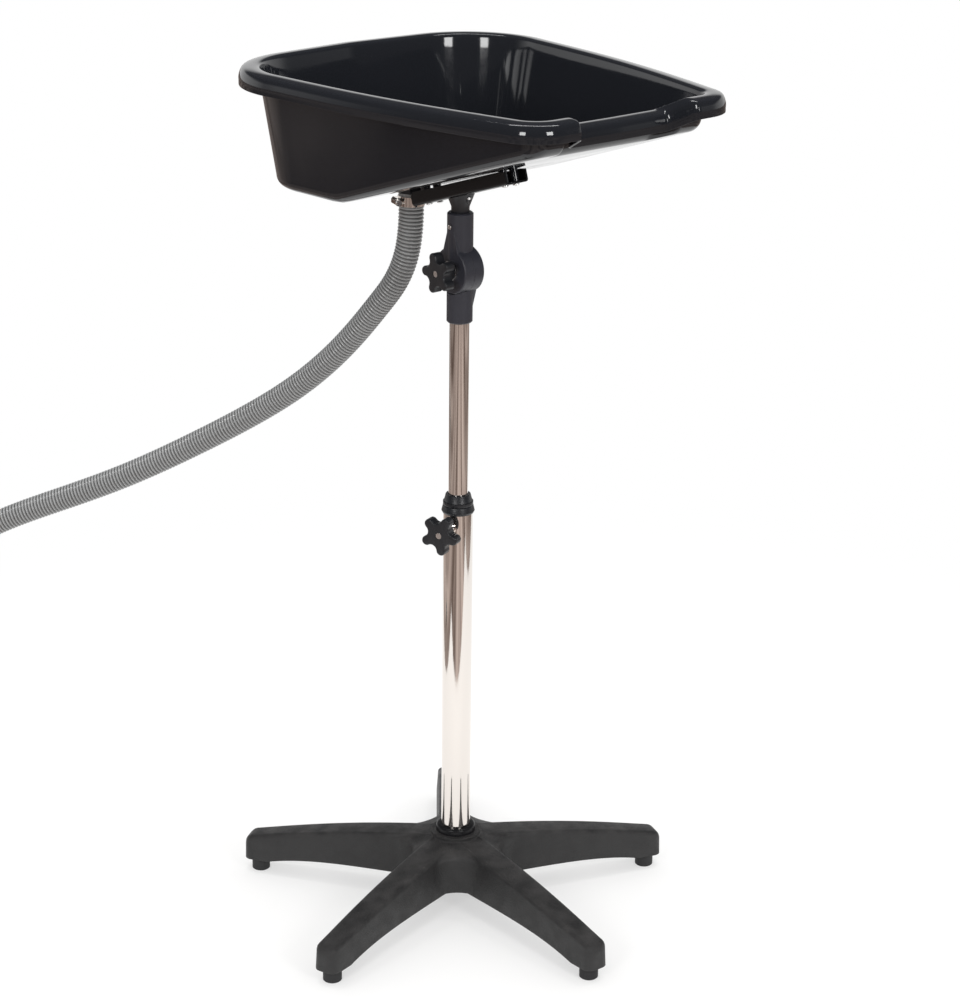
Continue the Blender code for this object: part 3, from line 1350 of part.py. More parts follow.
def make_hose():
    """Ribbed hose: a point at each crest and each groove, with a plain neck under the clamp."""
    line = smooth_route(hose_controls())
    points = even_points(line, HOSE_RIBS * 2 + 1)
    length = sum((end - start).length for start, end in zip(line, line[1:]))
    pitch = length / (len(points) - 1)
    neck = CLAMP_BAND_DROP + CLAMP_BAND_WIDTH + CLAMP_BAND_DROP
    plain_points = math.ceil(neck / pitch)
    end_points = math.ceil(HOSE_RADIUS / pitch)
    groove_radius = HOSE_RADIUS - HOSE_GROOVE
    radii = []
    for number in range(len(points)):
        if number <= plain_points or number >= len(points) - end_points:
            radii.append(HOSE_END_RADIUS)
        else:
            radii.append(HOSE_RADIUS if number % 2 else groove_radius)
    kept = [0] + list(range(plain_points, len(points) - end_points + 1)) + [len(points) - 1]
    hose = piece(
        "drain_hose",
        tube_mesh("drain_hose", [points[number] for number in kept], [radii[number] for number in kept]),
        HOSE_GREY,
        HEAD_AXIS,
    )
    bore_points = even_points(line, HOSE_BORE_POINTS)
    start_way = (bore_points[0] - bore_points[1]).normalized()
    end_way = (bore_points[-1] - bore_points[-2]).normalized()
    bore_points[0] = bore_points[0] + start_way * CUT_OVERRUN
    bore_points[-1] = bore_points[-1] + end_way * CUT_OVERRUN
    bore = tube_mesh("hose_bore", bore_points, [HOSE_BORE_RADIUS] * len(bore_points))
    cut(hose, helper("hose_bore", bore, HEAD_AXIS))
    make_hose_cuff(points[-1], end_way)
    print(f"hose length {length:.4f} m, rib pitch {2 * pitch * 1000:.2f} mm")


def make_hose_cuff(end, way):
    """The plain rubber sleeve on the hose's free end."""
    axis = way.to_track_quat("Z", "Y").to_euler()
    bottom = SEAT_GAP
    top = bottom + HOSE_CUFF_LENGTH
    lip = HOSE_CUFF_RADIUS + HOSE_CUFF_LIP / 4
    profile = (
        (HOSE_CUFF_RADIUS - HOSE_CUFF_LIP, top),
        (lip, top - HOSE_CUFF_LIP),
        (lip, top - HOSE_CUFF_LIP * 3),
        (HOSE_CUFF_RADIUS, top - HOSE_CUFF_LIP * 4),
        (HOSE_CUFF_RADIUS, bottom),
        (HOSE_CUFF_BORE, bottom),
        (HOSE_CUFF_BORE, top),
    )
    turned("hose_cuff", profile, RUBBER, HEAD_AXIS, location=end, rotation=axis)


def make_hose_clamp():
    """A worm-drive band round the hose's neck."""
    inner = HOSE_END_RADIUS + SEAT_GAP
    outer = inner + CLAMP_BAND_THICKNESS
    top = HOSE_TOP - CLAMP_BAND_DROP
    bottom = top - CLAMP_BAND_WIDTH
    where = {"location": (0, DRAIN_REACH, 0), "rotation": (0, 0, CLAMP_SCREW_AZIMUTH)}
    band = turned("hose_clamp", tube_profile(outer, inner, top, bottom), CHROME, HEAD_AXIS, **where)
    middle = (top + bottom) / 2
    half_width = CLAMP_HOUSING_WIDTH / 2
    near = inner + CLAMP_BAND_THICKNESS / 2
    far = outer + CLAMP_HOUSING_HEIGHT
    outline = [
        (near, middle - half_width), (far - half_width / 2, middle - half_width),
        (far, middle - half_width / 2), (far, middle + half_width / 2),
        (far - half_width / 2, middle + half_width), (near, middle + half_width),
    ]
    housing_mesh = plate_mesh("clamp_housing", outline, CLAMP_HOUSING_LENGTH)
    housing_mesh.transform(Matrix.Rotation(math.pi / 2, 4, "X"))
    join(band, helper("clamp_housing", housing_mesh, HEAD_AXIS, **where))
    reach = outer + CLAMP_HOUSING_HEIGHT / 2
    screw_top = CLAMP_HOUSING_LENGTH / 2 + CLAMP_SCREW_HEAD_LENGTH + SEAT_GAP
    head_bottom = CLAMP_HOUSING_LENGTH / 2 + SEAT_GAP
    spin = Matrix.Rotation(CLAMP_SCREW_AZIMUTH, 3, "Z")
    centre = Vector((0, DRAIN_REACH, middle)) + spin @ Vector((reach, 0, 0))
    aim = (spin @ Matrix.Rotation(-math.pi / 2, 3, "X")).to_euler()
    profile = (
        (0, screw_top),
        (CLAMP_SCREW_HEAD_RADIUS, screw_top),
        (CLAMP_SCREW_HEAD_RADIUS, head_bottom),
        (CLAMP_SCREW_RADIUS, head_bottom),
        (CLAMP_SCREW_RADIUS, -CLAMP_HOUSING_LENGTH / 2),
        (0, -CLAMP_HOUSING_LENGTH / 2),
    )
    turned("hose_clamp_screw", profile, ZINC, HEAD_AXIS, SMALL_STEPS, closed=False,
           location=centre, rotation=aim)
    hole = pin_helper(
        "clamp_screw_hole", CLAMP_SCREW_RADIUS + SEAT_GAP, CLAMP_HOUSING_LENGTH, -CLAMP_HOUSING_LENGTH,
        HEAD_AXIS, location=centre, rotation=aim
    )
    cut(band, hole)


def centre_on_plan():
    """Moves the whole part so that the middle of its plan, without the hose, is at the origin."""
    bpy.context.view_layer.update()
    graph = bpy.context.evaluated_depsgraph_get()
    lowest = Vector((math.inf, math.inf))
    highest = -lowest
    for obj in PARTS.objects:
        if obj.type != "MESH" or obj.name in ("drain_hose", "hose_cuff"):
            continue
        evaluated = obj.evaluated_get(graph)
        mesh = evaluated.to_mesh()
        for vertex in mesh.vertices:
            point = evaluated.matrix_world @ vertex.co
            lowest = Vector((min(lowest.x, point.x), min(lowest.y, point.y)))
            highest = Vector((max(highest.x, point.x), max(highest.y, point.y)))
        evaluated.to_mesh_clear()
    middle = (lowest + highest) / 2
    ROOT.location = (-middle.x, -middle.y, 0)


clear_scene()
PARTS = new_collection("portable_shampoo_basin")
CUTTERS = new_collection("cutters")

CASTING_BLACK = new_material("base_black", (0.022, 0.022, 0.024), 0.62)
FOOT_RUBBER = new_material("foot_black", (0.018, 0.018, 0.018), 0.7)
GLOSS_BLACK = new_material("painted_black", (0.008, 0.008, 0.009), 0.22)
GLOSS_BOWL = new_material("bowl_black", (0.004, 0.004, 0.005), 0.08)
SATIN_BLACK = new_material("knuckle_black", (0.032, 0.033, 0.038), 0.42)
MOULDED_BLACK = new_material("moulded_black", (0.02, 0.022, 0.025), 0.4)
DARK_PLASTIC = new_material("drain_black", (0.03, 0.03, 0.03), 0.45)
RUBBER = new_material("rubber_black", (0.02, 0.02, 0.02), 0.75)
CHROME = new_material("chrome", (0.78, 0.75, 0.72), 0.08, 1.0)
ZINC = new_material("zinc_plate", (0.7, 0.7, 0.7), 0.25, 1.0)
HOSE_GREY = new_material("hose_grey", (0.16, 0.17, 0.17), 0.45)

ROOT = empty("basin_stand")
HEIGHT_KNOB_AXIS = empty(
    "height_knob_axis", ROOT, (0, 0, HEIGHT_CLAMP_HEIGHT), (0, math.pi / 2, HEIGHT_CLAMP_AZIMUTH)
)
SLIDE_AXIS = empty("height_slide_axis", ROOT, (0, 0, PIVOT_HEIGHT))
SWIVEL_AXIS = empty("swivel_axis", SLIDE_AXIS)
TILT_AXIS = empty("tilt_axis", SWIVEL_AXIS)
TILT_KNOB_AXIS = empty("tilt_knob_axis", SWIVEL_AXIS, rotation=(0, -math.pi / 2, 0))
BRACKET_AXIS = empty("bracket_axis", TILT_AXIS, (0, 0, STEM_REACH), (-FLOOR_SLOPE, 0, 0))
BOWL_AXIS = empty("bowl_axis", TILT_AXIS, (0, 0, RIM_HEIGHT - PIVOT_HEIGHT))
DRAIN_AXIS = empty("drain_axis", BOWL_AXIS, (0, DRAIN_REACH, -DRAIN_DROP))
HEAD_AXIS = empty("head_floor_point", TILT_AXIS, (0, 0, -PIVOT_HEIGHT))
BRACKET = {"bowl_holes": []}

make_base()
make_hub_fittings()
make_column()
make_height_clamp()
make_knuckle()
make_bracket()
make_stem()
make_bowl()
make_drain()
make_hose()
make_hose_clamp()
centre_on_plan()
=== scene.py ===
"""Portable shampoo basin, dressed over the fixed frame of its solids.

A moulded bowl on a tilting knuckle, a telescopic chrome column and a five-leg star, with a ribbed drain
hose. Metres, +Z up. Every piece is made at the solids' own sizes, with finer curves, and takes its
place, its body and its finish slot from the frame.
"""

import json
import math

import bmesh
import bpy
from mathutils import Euler, Matrix, Vector

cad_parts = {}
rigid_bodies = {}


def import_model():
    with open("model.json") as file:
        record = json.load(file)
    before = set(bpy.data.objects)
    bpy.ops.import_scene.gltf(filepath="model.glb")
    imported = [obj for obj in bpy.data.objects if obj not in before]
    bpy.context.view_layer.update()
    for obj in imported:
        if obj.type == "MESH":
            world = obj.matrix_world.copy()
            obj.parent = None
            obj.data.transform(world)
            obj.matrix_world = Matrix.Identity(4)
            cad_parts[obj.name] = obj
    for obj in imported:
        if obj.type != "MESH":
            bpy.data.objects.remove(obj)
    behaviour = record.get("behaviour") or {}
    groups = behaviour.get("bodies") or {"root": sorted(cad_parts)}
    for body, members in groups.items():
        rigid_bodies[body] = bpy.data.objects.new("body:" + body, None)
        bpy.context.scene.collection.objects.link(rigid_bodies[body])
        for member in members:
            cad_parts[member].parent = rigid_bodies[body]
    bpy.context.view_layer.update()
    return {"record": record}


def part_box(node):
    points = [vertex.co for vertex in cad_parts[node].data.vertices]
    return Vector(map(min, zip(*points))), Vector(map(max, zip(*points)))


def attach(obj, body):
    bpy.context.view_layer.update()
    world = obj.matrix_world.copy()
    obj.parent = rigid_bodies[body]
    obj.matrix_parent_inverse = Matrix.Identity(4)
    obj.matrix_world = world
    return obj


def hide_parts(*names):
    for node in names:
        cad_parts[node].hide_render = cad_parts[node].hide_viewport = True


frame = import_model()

bl_info = {
    "name": "Portable Shampoo Basin",
    "version": (1, 0, 0),
    "blender": (4, 5, 0),
    "location": "3D Viewport > Sidebar > Basin",
    "description": "Builds a shampoo basin on a five-leg stand, piece by piece, with its stage",
    "category": "Object",
}

RECORD = frame["record"]
BODY_OF = {node: body for body, nodes in RECORD["behaviour"]["bodies"].items() for node in nodes}
TUBE_LOW, TUBE_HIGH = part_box("lower_tube")
COLUMN_FOOT = ((TUBE_LOW[0] + TUBE_HIGH[0]) / 2, (TUBE_LOW[1] + TUBE_HIGH[1]) / 2, 0.0)

# Finish slots, as the frame's record names them
CASTING_BLACK = "base_black"
FOOT_RUBBER = "foot_black"
GLOSS_BLACK = "painted_black"
GLOSS_BOWL = "bowl_black"
SATIN_BLACK = "knuckle_black"
MOULDED_BLACK = "moulded_black"
DARK_PLASTIC = "drain_black"
RUBBER = "rubber_black"
CHROME = "chrome"
ZINC = "zinc_plate"
HOSE_GREY = "hose_grey"

# Clearances
SEAT_GAP = 0.0003
CUT_OVERRUN = 0.004
JOIN_DEPTH = 0.0015
WELD_DISTANCE = 0.000001
ROUND_STEPS = 96
SMALL_STEPS = 48
FINE_STEPS = 128

# Star base
LEG_COUNT = 5
BASE_TURN = math.radians(-1.93)
LEG_REACH = 0.294
LEG_ROOT_WIDTH = 0.050
LEG_TIP_WIDTH = 0.034
LEG_ROOT_TOP = 0.0955
LEG_TIP_TOP = 0.0505
LEG_ARCH = 0.0055
LEG_TIP_BOTTOM = 0.0185
LEG_TIP_LENGTH = 0.034
LEG_UNDERSIDE_POWER = 4
LEG_TIP_ROUND = 0.0105
LEG_EDGE_BEVEL = 0.0055
LEG_SIDE_DRAFT = math.radians(3.0)
LEG_WALL = 0.0045
LEG_RIB = 0.004
LEG_POCKETS = 4
LEG_STATIONS = 24
HUB_RADIUS = 0.047
HUB_TOP = 0.0985
HUB_BOTTOM = 0.0325
HUB_CAP_RADIUS = 0.033
HUB_CAP_STEP = 0.005
HUB_WALL_TOP = 0.080
HUB_POCKET_TOP = 0.062
HUB_FLOOR = 0.0065
SOCKET_WALL = 0.0052
FOOT_INSET = 0.019
FOOT_RADIUS = 0.012
FOOT_CHAMFER = 0.0012
FOOT_PEG_RADIUS = 0.004
FOOT_PEG_LENGTH = 0.0105
HUB_RING_RADIUS = 0.02575
HUB_RING_HEIGHT = 0.0085
HUB_RING_ROUND = 0.003

# Hub bolt
HUB_BOLT_RADIUS = 0.004
HUB_BOLT_LENGTH = 0.021
HUB_BOLT_HEAD_RADIUS = 0.0075
HUB_BOLT_HEAD_HEIGHT = 0.0055
HUB_WASHER_RADIUS = 0.0115
HUB_WASHER_THICKNESS = 0.0018
TUBE_PLUG_LENGTH = 0.018

# Column tubes
LOWER_TUBE_RADIUS = 0.019
LOWER_TUBE_WALL = 0.0015
LOWER_TUBE_TOP = 0.560
UPPER_TUBE_RADIUS = 0.0125
UPPER_TUBE_WALL = 0.0015
UPPER_TUBE_LENGTH = 0.549
GUIDE_BUSH_LENGTH = 0.026
GUIDE_BUSH_RISE = 0.004

# Collar on the lower tube
COLLAR_TOP_RADIUS = 0.016
COLLAR_SKIRT_RADIUS = 0.0212
COLLAR_SKIRT_CHAMFER = 0.0014
COLLAR_OVERLAP = 0.015
COLLAR_CAP = 0.010
COLLAR_SLEEVE_DEPTH = 0.020

# Height clamp
HEIGHT_CLAMP_DROP = 0.032
HEIGHT_CLAMP_AZIMUTH = math.radians(201.55)
CLAMP_BOSS_RADIUS = 0.0072
CLAMP_BOSS_REACH = 0.031
CLAMP_STUD_RADIUS = 0.004
HEIGHT_KNOB_FACE = 0.052

# Star knobs, used for the height clamp and for the tilt clamp
KNOB_LOBES = 5
KNOB_RADIUS = 0.026
KNOB_LOBE_RADIUS = 0.0062
KNOB_VALLEY_RADIUS = 0.0158
KNOB_THICKNESS = 0.014
KNOB_EDGE_ROUND = 0.0018
KNOB_HUB_RADIUS = 0.0115
KNOB_LOBE_POINTS = 17
KNOB_VALLEY_POINTS = 11
STUD_RECESS = 0.0006
HEIGHT_KNOB_TURN = math.radians(9.0)
TILT_KNOB_TURN = math.radians(17.0)

# Tilting knuckle
PIVOT_HEIGHT = 0.8625
KNUCKLE_DISC_RADIUS = 0.029
KNUCKLE_DISC_THICKNESS = 0.0155
KNUCKLE_DISC_ROUND = 0.0012
KNUCKLE_SOCKET_RADIUS = 0.01625
KNUCKLE_SOCKET_CHAMFER = 0.0016
LOWER_SOCKET_REACH = 0.067
UPPER_SOCKET_REACH = 0.0725
SOCKET_ENGAGEMENT = 0.0335
GUSSET_ROOT_RISE = 0.022
GUSSET_TIP_RISE = 0.050
GUSSET_ROOT_HALF_WIDTH = 0.0145
GUSSET_TIP_HALF_WIDTH = 0.0062
SET_SCREW_RISE = 0.0555
SET_SCREW_RADIUS = 0.003
SET_SCREW_PROUD = 0.0014
SET_SCREW_SLOT_WIDTH = 0.001
SET_SCREW_SLOT_DEPTH = 0.0009
PIVOT_BOLT_RADIUS = 0.004
PIVOT_BOLT_HEAD_RADIUS = 0.0074
PIVOT_BOLT_HEAD_HEIGHT = 0.0055
PIVOT_BOLT_HEAD_PROUD = 0.0006
PIVOT_WASHER_RADIUS = 0.0125
PIVOT_WASHER_THICKNESS = 0.0018
TILT_KNOB_FACE = 0.040

# Stem between the knuckle and the bracket
STEM_REACH = 0.092
STEM_RADIUS = 0.0114
STEM_FLARE_RADIUS = 0.0186
STEM_FLARE_LENGTH = 0.0125
STEM_SCREW_CIRCLE = 0.0142
STEM_SCREW_RADIUS = 0.002
STEM_SCREW_HEAD_RADIUS = 0.0032
STEM_SCREW_HEAD_HEIGHT = 0.0022
STEM_SCREW_GRIP = 0.0042
STEM_SCREW_PROUD = 0.0045
STEM_NUT_RADIUS = 0.0038
STEM_NUT_HEIGHT = 0.003

# Bracket channel under the bowl
BRACKET_WIDTH = 0.035
BRACKET_FLANGE_HEIGHT = 0.017
BRACKET_METAL = 0.0025
BRACKET_BEND_RADIUS = 0.0035
BRACKET_DEEP_REACH = 0.0750
BRACKET_NECK_REACH = 0.111
BRACKET_TAPER_LENGTH = 0.012
BRACKET_TAPER_DROP = 0.0015
BRACKET_CORNER_CUT = 0.005
BOWL_SCREW_NECK_REACH = 0.098
BOWL_SCREW_DEEP_REACH = 0.052
BOWL_SCREW_HALF_SPACING = 0.0085
BOWL_SCREW_RADIUS = 0.002
BOWL_SCREW_DEPTH = 0.012
BOWL_SCREW_HEAD_RADIUS = 0.004
BOWL_SCREW_HEAD_HEIGHT = 0.0024
BOWL_BOSS_RADIUS = 0.0052

# Bowl
BOWL_WALL = 0.0034
BOWL_DEPTH = 0.1469
DEEP_END_REACH = 0.2374
DEEP_END_HALF_WIDTH = 0.2416
DEEP_CORNER_RADIUS = 0.1197
DEEP_END_BOW = 0.0186
NECK_END_REACH = 0.3163
NECK_END_HALF_WIDTH = 0.1583
NECK_CORNER_RADIUS = 0.054
HORN_SWEEP = 0.0034
SIDE_BOW = 0.010
FLOOR_KINK_REACH = 0.026
FLOOR_SLOPE = math.radians(18.6)
WALL_DRAFT = math.radians(9.0)
FLOOR_FILLET = 0.010
RIM_WIDTH = 0.027
RIM_BAND_HEIGHT = 0.022
RIM_OUTER_ROUND = 0.0125
RIM_INNER_ROUND = 0.0055
SCOOP_HALF_WIDTH = 0.092
SCOOP_TRANSITION = 0.018
SCOOP_DEPTH = 0.017
SCOOP_INSET = 0.035
DEEP_CORNER_POINTS = 29
NECK_CORNER_POINTS = 21
SIDE_POINTS = 23
DEEP_END_POINTS = 11
HORN_POINTS = 5
SCOOP_POINTS = 33
SCOOP_FLAT_SHARE = 0.375
WALL_POINTS = 10
FILLET_POINTS = 9
KINK_SHARE_LIMITS = (0.1, 0.92)

# Drain
DRAIN_REACH = 0.0955
DRAIN_HOLE_RADIUS = 0.0166
DRAIN_FLANGE_RADIUS = 0.029
DRAIN_FLANGE_THICKNESS = 0.0026
DRAIN_SHANK_RADIUS = 0.0153
DRAIN_SHANK_WALL = 0.0024
DRAIN_SHANK_LENGTH = 0.0200
STRAINER_THICKNESS = 0.0016
STRAINER_SLOTS = 6
STRAINER_SLOT_WIDTH = 0.0030
STRAINER_HUB_RADIUS = 0.003
GASKET_RADIUS = 0.0205
GASKET_THICKNESS = 0.0026
DRAIN_NUT_RADIUS = 0.0185
DRAIN_NUT_HEIGHT = 0.0182
DRAIN_NUT_LIP = 0.0024
DRAIN_NUT_SIDES = 8
TAIL_COLLAR_THICKNESS = 0.0026
TAIL_RADIUS = 0.0118
TAIL_WALL = 0.0022
TAIL_LENGTH = 0.030
TAIL_BARB = 0.0004

# Drain hose
HOSE_RADIUS = 0.01625
HOSE_GROOVE = 0.0016
HOSE_END_RADIUS = 0.0160
HOSE_BORE_POINTS = 62
HOSE_CUFF_LENGTH = 0.045
HOSE_CUFF_RADIUS = 0.0165
HOSE_CUFF_BORE = 0.0130
HOSE_CUFF_LIP = 0.0015
CLAMP_BAND_THICKNESS = 0.0009
CLAMP_BAND_WIDTH = 0.0125
CLAMP_BAND_DROP = 0.004
CLAMP_HOUSING_LENGTH = 0.013
CLAMP_HOUSING_WIDTH = 0.010
CLAMP_HOUSING_HEIGHT = 0.0075
CLAMP_SCREW_RADIUS = 0.0022
CLAMP_SCREW_HEAD_RADIUS = 0.0035
CLAMP_SCREW_HEAD_LENGTH = 0.004
CLAMP_SCREW_AZIMUTH = math.radians(165.0)

# The hose's route, from the drain to the floor, read from the column's axis at the floor
HOSE_ROUTE = (
    (-0.0010, 0.0980, 0.8760),
    (-0.0035, 0.1055, 0.8470),
    (-0.0075, 0.1200, 0.8180),
    (-0.0140, 0.1420, 0.7900),
    (-0.0300, 0.1935, 0.7240),
    (-0.0565, 0.2570, 0.6600),
    (-0.0935, 0.3194, 0.6103),
    (-0.1345, 0.3778, 0.5678),
    (-0.2009, 0.4604, 0.5096),
    (-0.2719, 0.5416, 0.4660),
    (-0.3231, 0.5964, 0.4356),
    (-0.3728, 0.6454, 0.3930),
    (-0.4248, 0.6899, 0.3351),
    (-0.4737, 0.7282, 0.2605),
    (-0.5190, 0.7548, 0.1737),
    (-0.5783, 0.7528, 0.0959),
    (-0.6400, 0.7270, 0.0430),
    (-0.6901, 0.6952, 0.0188),
    (-0.7257, 0.6695, 0.0177),
    (-0.7454, 0.6551, 0.0177),
)

# Sizes that follow from the ones above
FOOT_CIRCLE_RADIUS = LEG_REACH - FOOT_INSET
BRACKET_RISE = (BRACKET_FLANGE_HEIGHT + SEAT_GAP) / math.cos(FLOOR_SLOPE)
FLOOR_RISE_AT_COLUMN = FLOOR_KINK_REACH * math.tan(FLOOR_SLOPE)
RIM_HEIGHT = PIVOT_HEIGHT + STEM_REACH + BRACKET_RISE + BOWL_DEPTH - FLOOR_RISE_AT_COLUMN
LOWER_BORE_RADIUS = LOWER_TUBE_RADIUS - LOWER_TUBE_WALL
TUBE_SEAT = HUB_BOTTOM + HUB_FLOOR + SEAT_GAP
UPPER_TUBE_TOP = PIVOT_HEIGHT - LOWER_SOCKET_REACH + SOCKET_ENGAGEMENT
UPPER_TUBE_BOTTOM = UPPER_TUBE_TOP - UPPER_TUBE_LENGTH
HEIGHT_CLAMP_HEIGHT = LOWER_TUBE_TOP - HEIGHT_CLAMP_DROP
DRAIN_DROP = BOWL_DEPTH
HOSE_TOP = RIM_HEIGHT - DRAIN_DROP - GASKET_THICKNESS - DRAIN_NUT_HEIGHT - SEAT_GAP - SEAT_GAP - SEAT_GAP

# Sizes that only the finer model uses
HOSE_RIB_PITCH = 0.0047
HOSE_RIB_STEPS = 5
HOSE_SIDES = 28
HOSE_WALL = 0.0011
HOSE_WAVE_POWER = 0.7
FLOOR_KINK_BLEND = 0.010
LEG_EDGE_POINTS = 7
LEG_TIP_POINTS = 7
EDGE_ROUND_POINTS = 4
HEX_SIDES = 6
HOSE_SPAN_POINTS = 24
SETTLING_PASSES = 4
WALL_PASSES = 3
WEB_REACH = 0.063
WEB_BOTTOM = 0.0355
WEB_TOP = 0.1015
WEB_SLOPE = 0.24
WEB_INNER = 0.025
WEB_LEG_HALF = 0.0195
WEB_POINTS = 21
RIM_SUBSTEPS = 5
PLATE_ROUND_STEPS = 4
SHARP_ANGLE = math.radians(32.0)
CURVED_SHARP_ANGLE = math.radians(35.0)

# Marks that the pieces are placed from
ROOT = "column_foot_mark"
HEIGHT_KNOB_AXIS = "height_knob_mark"
SLIDE_AXIS = "slide_mark"
SWIVEL_AXIS = "swivel_mark"
TILT_AXIS = "tilt_mark"
TILT_KNOB_AXIS = "tilt_knob_mark"
BRACKET_AXIS = "bracket_mark"
BOWL_AXIS = "bowl_mark"
DRAIN_AXIS = "drain_mark"
HEAD_AXIS = "head_mark"
MARKS = (
    (ROOT, None, COLUMN_FOOT, (0, 0, 0)),
    (HEIGHT_KNOB_AXIS, ROOT, (0, 0, HEIGHT_CLAMP_HEIGHT), (0, math.pi / 2, HEIGHT_CLAMP_AZIMUTH)),
    (SLIDE_AXIS, ROOT, (0, 0, PIVOT_HEIGHT), (0, 0, 0)),
    (SWIVEL_AXIS, SLIDE_AXIS, (0, 0, 0), (0, 0, 0)),
    (TILT_AXIS, SWIVEL_AXIS, (0, 0, 0), (0, 0, 0)),
    (TILT_KNOB_AXIS, SWIVEL_AXIS, (0, 0, 0), (0, -math.pi / 2, 0)),
    (BRACKET_AXIS, TILT_AXIS, (0, 0, STEM_REACH), (-FLOOR_SLOPE, 0, 0)),
    (BOWL_AXIS, TILT_AXIS, (0, 0, RIM_HEIGHT - PIVOT_HEIGHT), (0, 0, 0)),
    (DRAIN_AXIS, BOWL_AXIS, (0, DRAIN_REACH, -DRAIN_DROP), (0, 0, 0)),
    (HEAD_AXIS, TILT_AXIS, (0, 0, -PIVOT_HEIGHT), (0, 0, 0)),
)
FORMS = "basin_forms"
CUTTERS = "basin_cutters"
SHOWN = "basin_shown"


# Bench

def shelf(name):
    """The collection of that name, made when it is first asked for."""
    found = bpy.data.collections.get(name)
    if found is None:
        found = bpy.data.collections.new(name)
        bpy.context.scene.collection.children.link(found)
    return found


def forget(blocks, name):
    """Takes away what an earlier run left under this name."""
    old = blocks.get(name)
    if old is not None:
        blocks.remove(old)


def lay_out_marks():
    """The empties that stand on the stand's axes while pieces are made."""
    for name, parent, location, rotation in MARKS:
        if name not in bpy.data.objects:
            mark = bpy.data.objects.new(name, None)
            shelf(CUTTERS).objects.link(mark)
            place(mark, parent, location, rotation)


def place(obj, parent, location=(0, 0, 0), rotation=(0, 0, 0)):
    obj.location = location
    obj.rotation_euler = rotation
    obj.parent = bpy.data.objects[parent] if parent else None
    return obj


def piece(name, mesh, finish, parent, location=(0, 0, 0), rotation=(0, 0, 0)):
    """A form on the bench, which settle_forms later turns into a shown piece."""
    obj = bpy.data.objects.new(f"{name}_form", mesh)
    obj["node"] = name
    obj["finish"] = finish
    shelf(FORMS).objects.link(obj)
    return place(obj, parent, location, rotation)


def helper(name, mesh, parent, location=(0, 0, 0), rotation=(0, 0, 0)):
    """A body that cuts or joins a form."""
    obj = bpy.data.objects.new(f"{name}_helper", mesh)
    obj.hide_render = True
    obj.display_type = "WIRE"
    shelf(CUTTERS).objects.link(obj)
    return place(obj, parent, location, rotation)


def plain_mesh(obj, name):
    """The object's finished mesh in the row frame, with its modifiers in it."""
    bpy.context.view_layer.update()
    graph = bpy.context.evaluated_depsgraph_get()
    evaluated = obj.evaluated_get(graph)
    mesh = bpy.data.meshes.new_from_object(evaluated, depsgraph=graph)
    mesh.transform(evaluated.matrix_world)
    mesh.name = name
    return mesh


def shown(name, mesh, finish, body, nodes):
    """A finished piece at the origin, on its body, in place of the frame's solids."""
    forget(bpy.data.objects, name)
    obj = bpy.data.objects.new(name, mesh)
    mesh.materials.clear()
    mesh.materials.append(bpy.data.materials[FINISH_NAMES[finish]])
    shelf(SHOWN).objects.link(obj)
    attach(obj, body)
    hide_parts(*nodes)
    return obj


def smoothed(mesh, sharp_angle=SHARP_ANGLE, outwards=True):
    """The mesh with its doubles merged, and smooth up to a sharp angle."""
    shape = bmesh.new()
    shape.from_mesh(mesh)
    bmesh.ops.remove_doubles(shape, verts=shape.verts, dist=WELD_DISTANCE)
    if outwards:
        bmesh.ops.recalc_face_normals(shape, faces=shape.faces)
    shape.to_mesh(mesh)
    shape.free()
    mesh.shade_smooth()
    mesh.set_sharp_from_angle(angle=sharp_angle)
    return mesh


def settle_forms():
    """Every form on the bench becomes a shown piece on the body of its node."""
    forms = list(shelf(FORMS).objects)
    for form in forms:
        node = form["node"]
        mesh = smoothed(plain_mesh(form, node), outwards=False)
        shown(f"{node}_piece", mesh, form["finish"], BODY_OF[node], [node])
    clear_bench()


def clear_bench():
    """Takes the forms and helpers away, and leaves the marks."""
    for name in (FORMS, CUTTERS):
        for obj in list(shelf(name).objects):
            if obj.type != "EMPTY":
                bpy.data.objects.remove(obj, do_unlink=True)


# Shapes

def combine(obj, other, operation):
    modifier = obj.modifiers.new(operation.title(), "BOOLEAN")
    modifier.operation = operation
    modifier.object = other
    return obj


def cut(obj, cutter):
    return combine(obj, cutter, "DIFFERENCE")


def join(obj, other):
    return combine(obj, other, "UNION")


def mesh_of(name, build):
    """A mesh that the function build fills through a bmesh."""
    mesh = bpy.data.meshes.new(name)
    shape = bmesh.new()
    build(shape)
    shape.to_mesh(mesh)
    shape.free()
    return mesh


def turned_mesh(name, profile):
    """The line that a Screw modifier turns. It runs from axis to axis, or closes where there is a bore."""

    def build(shape):
        points = [shape.verts.new((radius, 0, height)) for radius, height in profile]
        pairs = list(zip(points, points[1:]))
        if profile[0][0] > 0:
            pairs.append((points[-1], points[0]))
        for start, end in pairs:
            shape.edges.new((start, end))

    return mesh_of(name, build)


def turn(obj, steps=ROUND_STEPS):
    modifier = obj.modifiers.new("Turn", "SCREW")
    modifier.axis = "Z"
    modifier.angle = math.tau
    modifier.steps = steps
    modifier.render_steps = steps
    modifier.use_merge_vertices = True
    modifier.merge_threshold = WELD_DISTANCE
    modifier.use_smooth_shade = True
    return obj


def turned(name, profile, material, parent, steps=ROUND_STEPS, **where):
    return turn(piece(name, turned_mesh(name, profile), material, parent, **where), steps)


def turned_helper(name, profile, parent, steps=ROUND_STEPS, **where):
    return turn(helper(name, turned_mesh(name, profile), parent, **where), steps)


def tube_profile(outer, inner, top, bottom):
    return ((outer, top), (outer, bottom), (inner, bottom), (inner, top))


def pin_profile(radius, top, bottom):
    return ((0, top), (radius, top), (radius, bottom), (0, bottom))


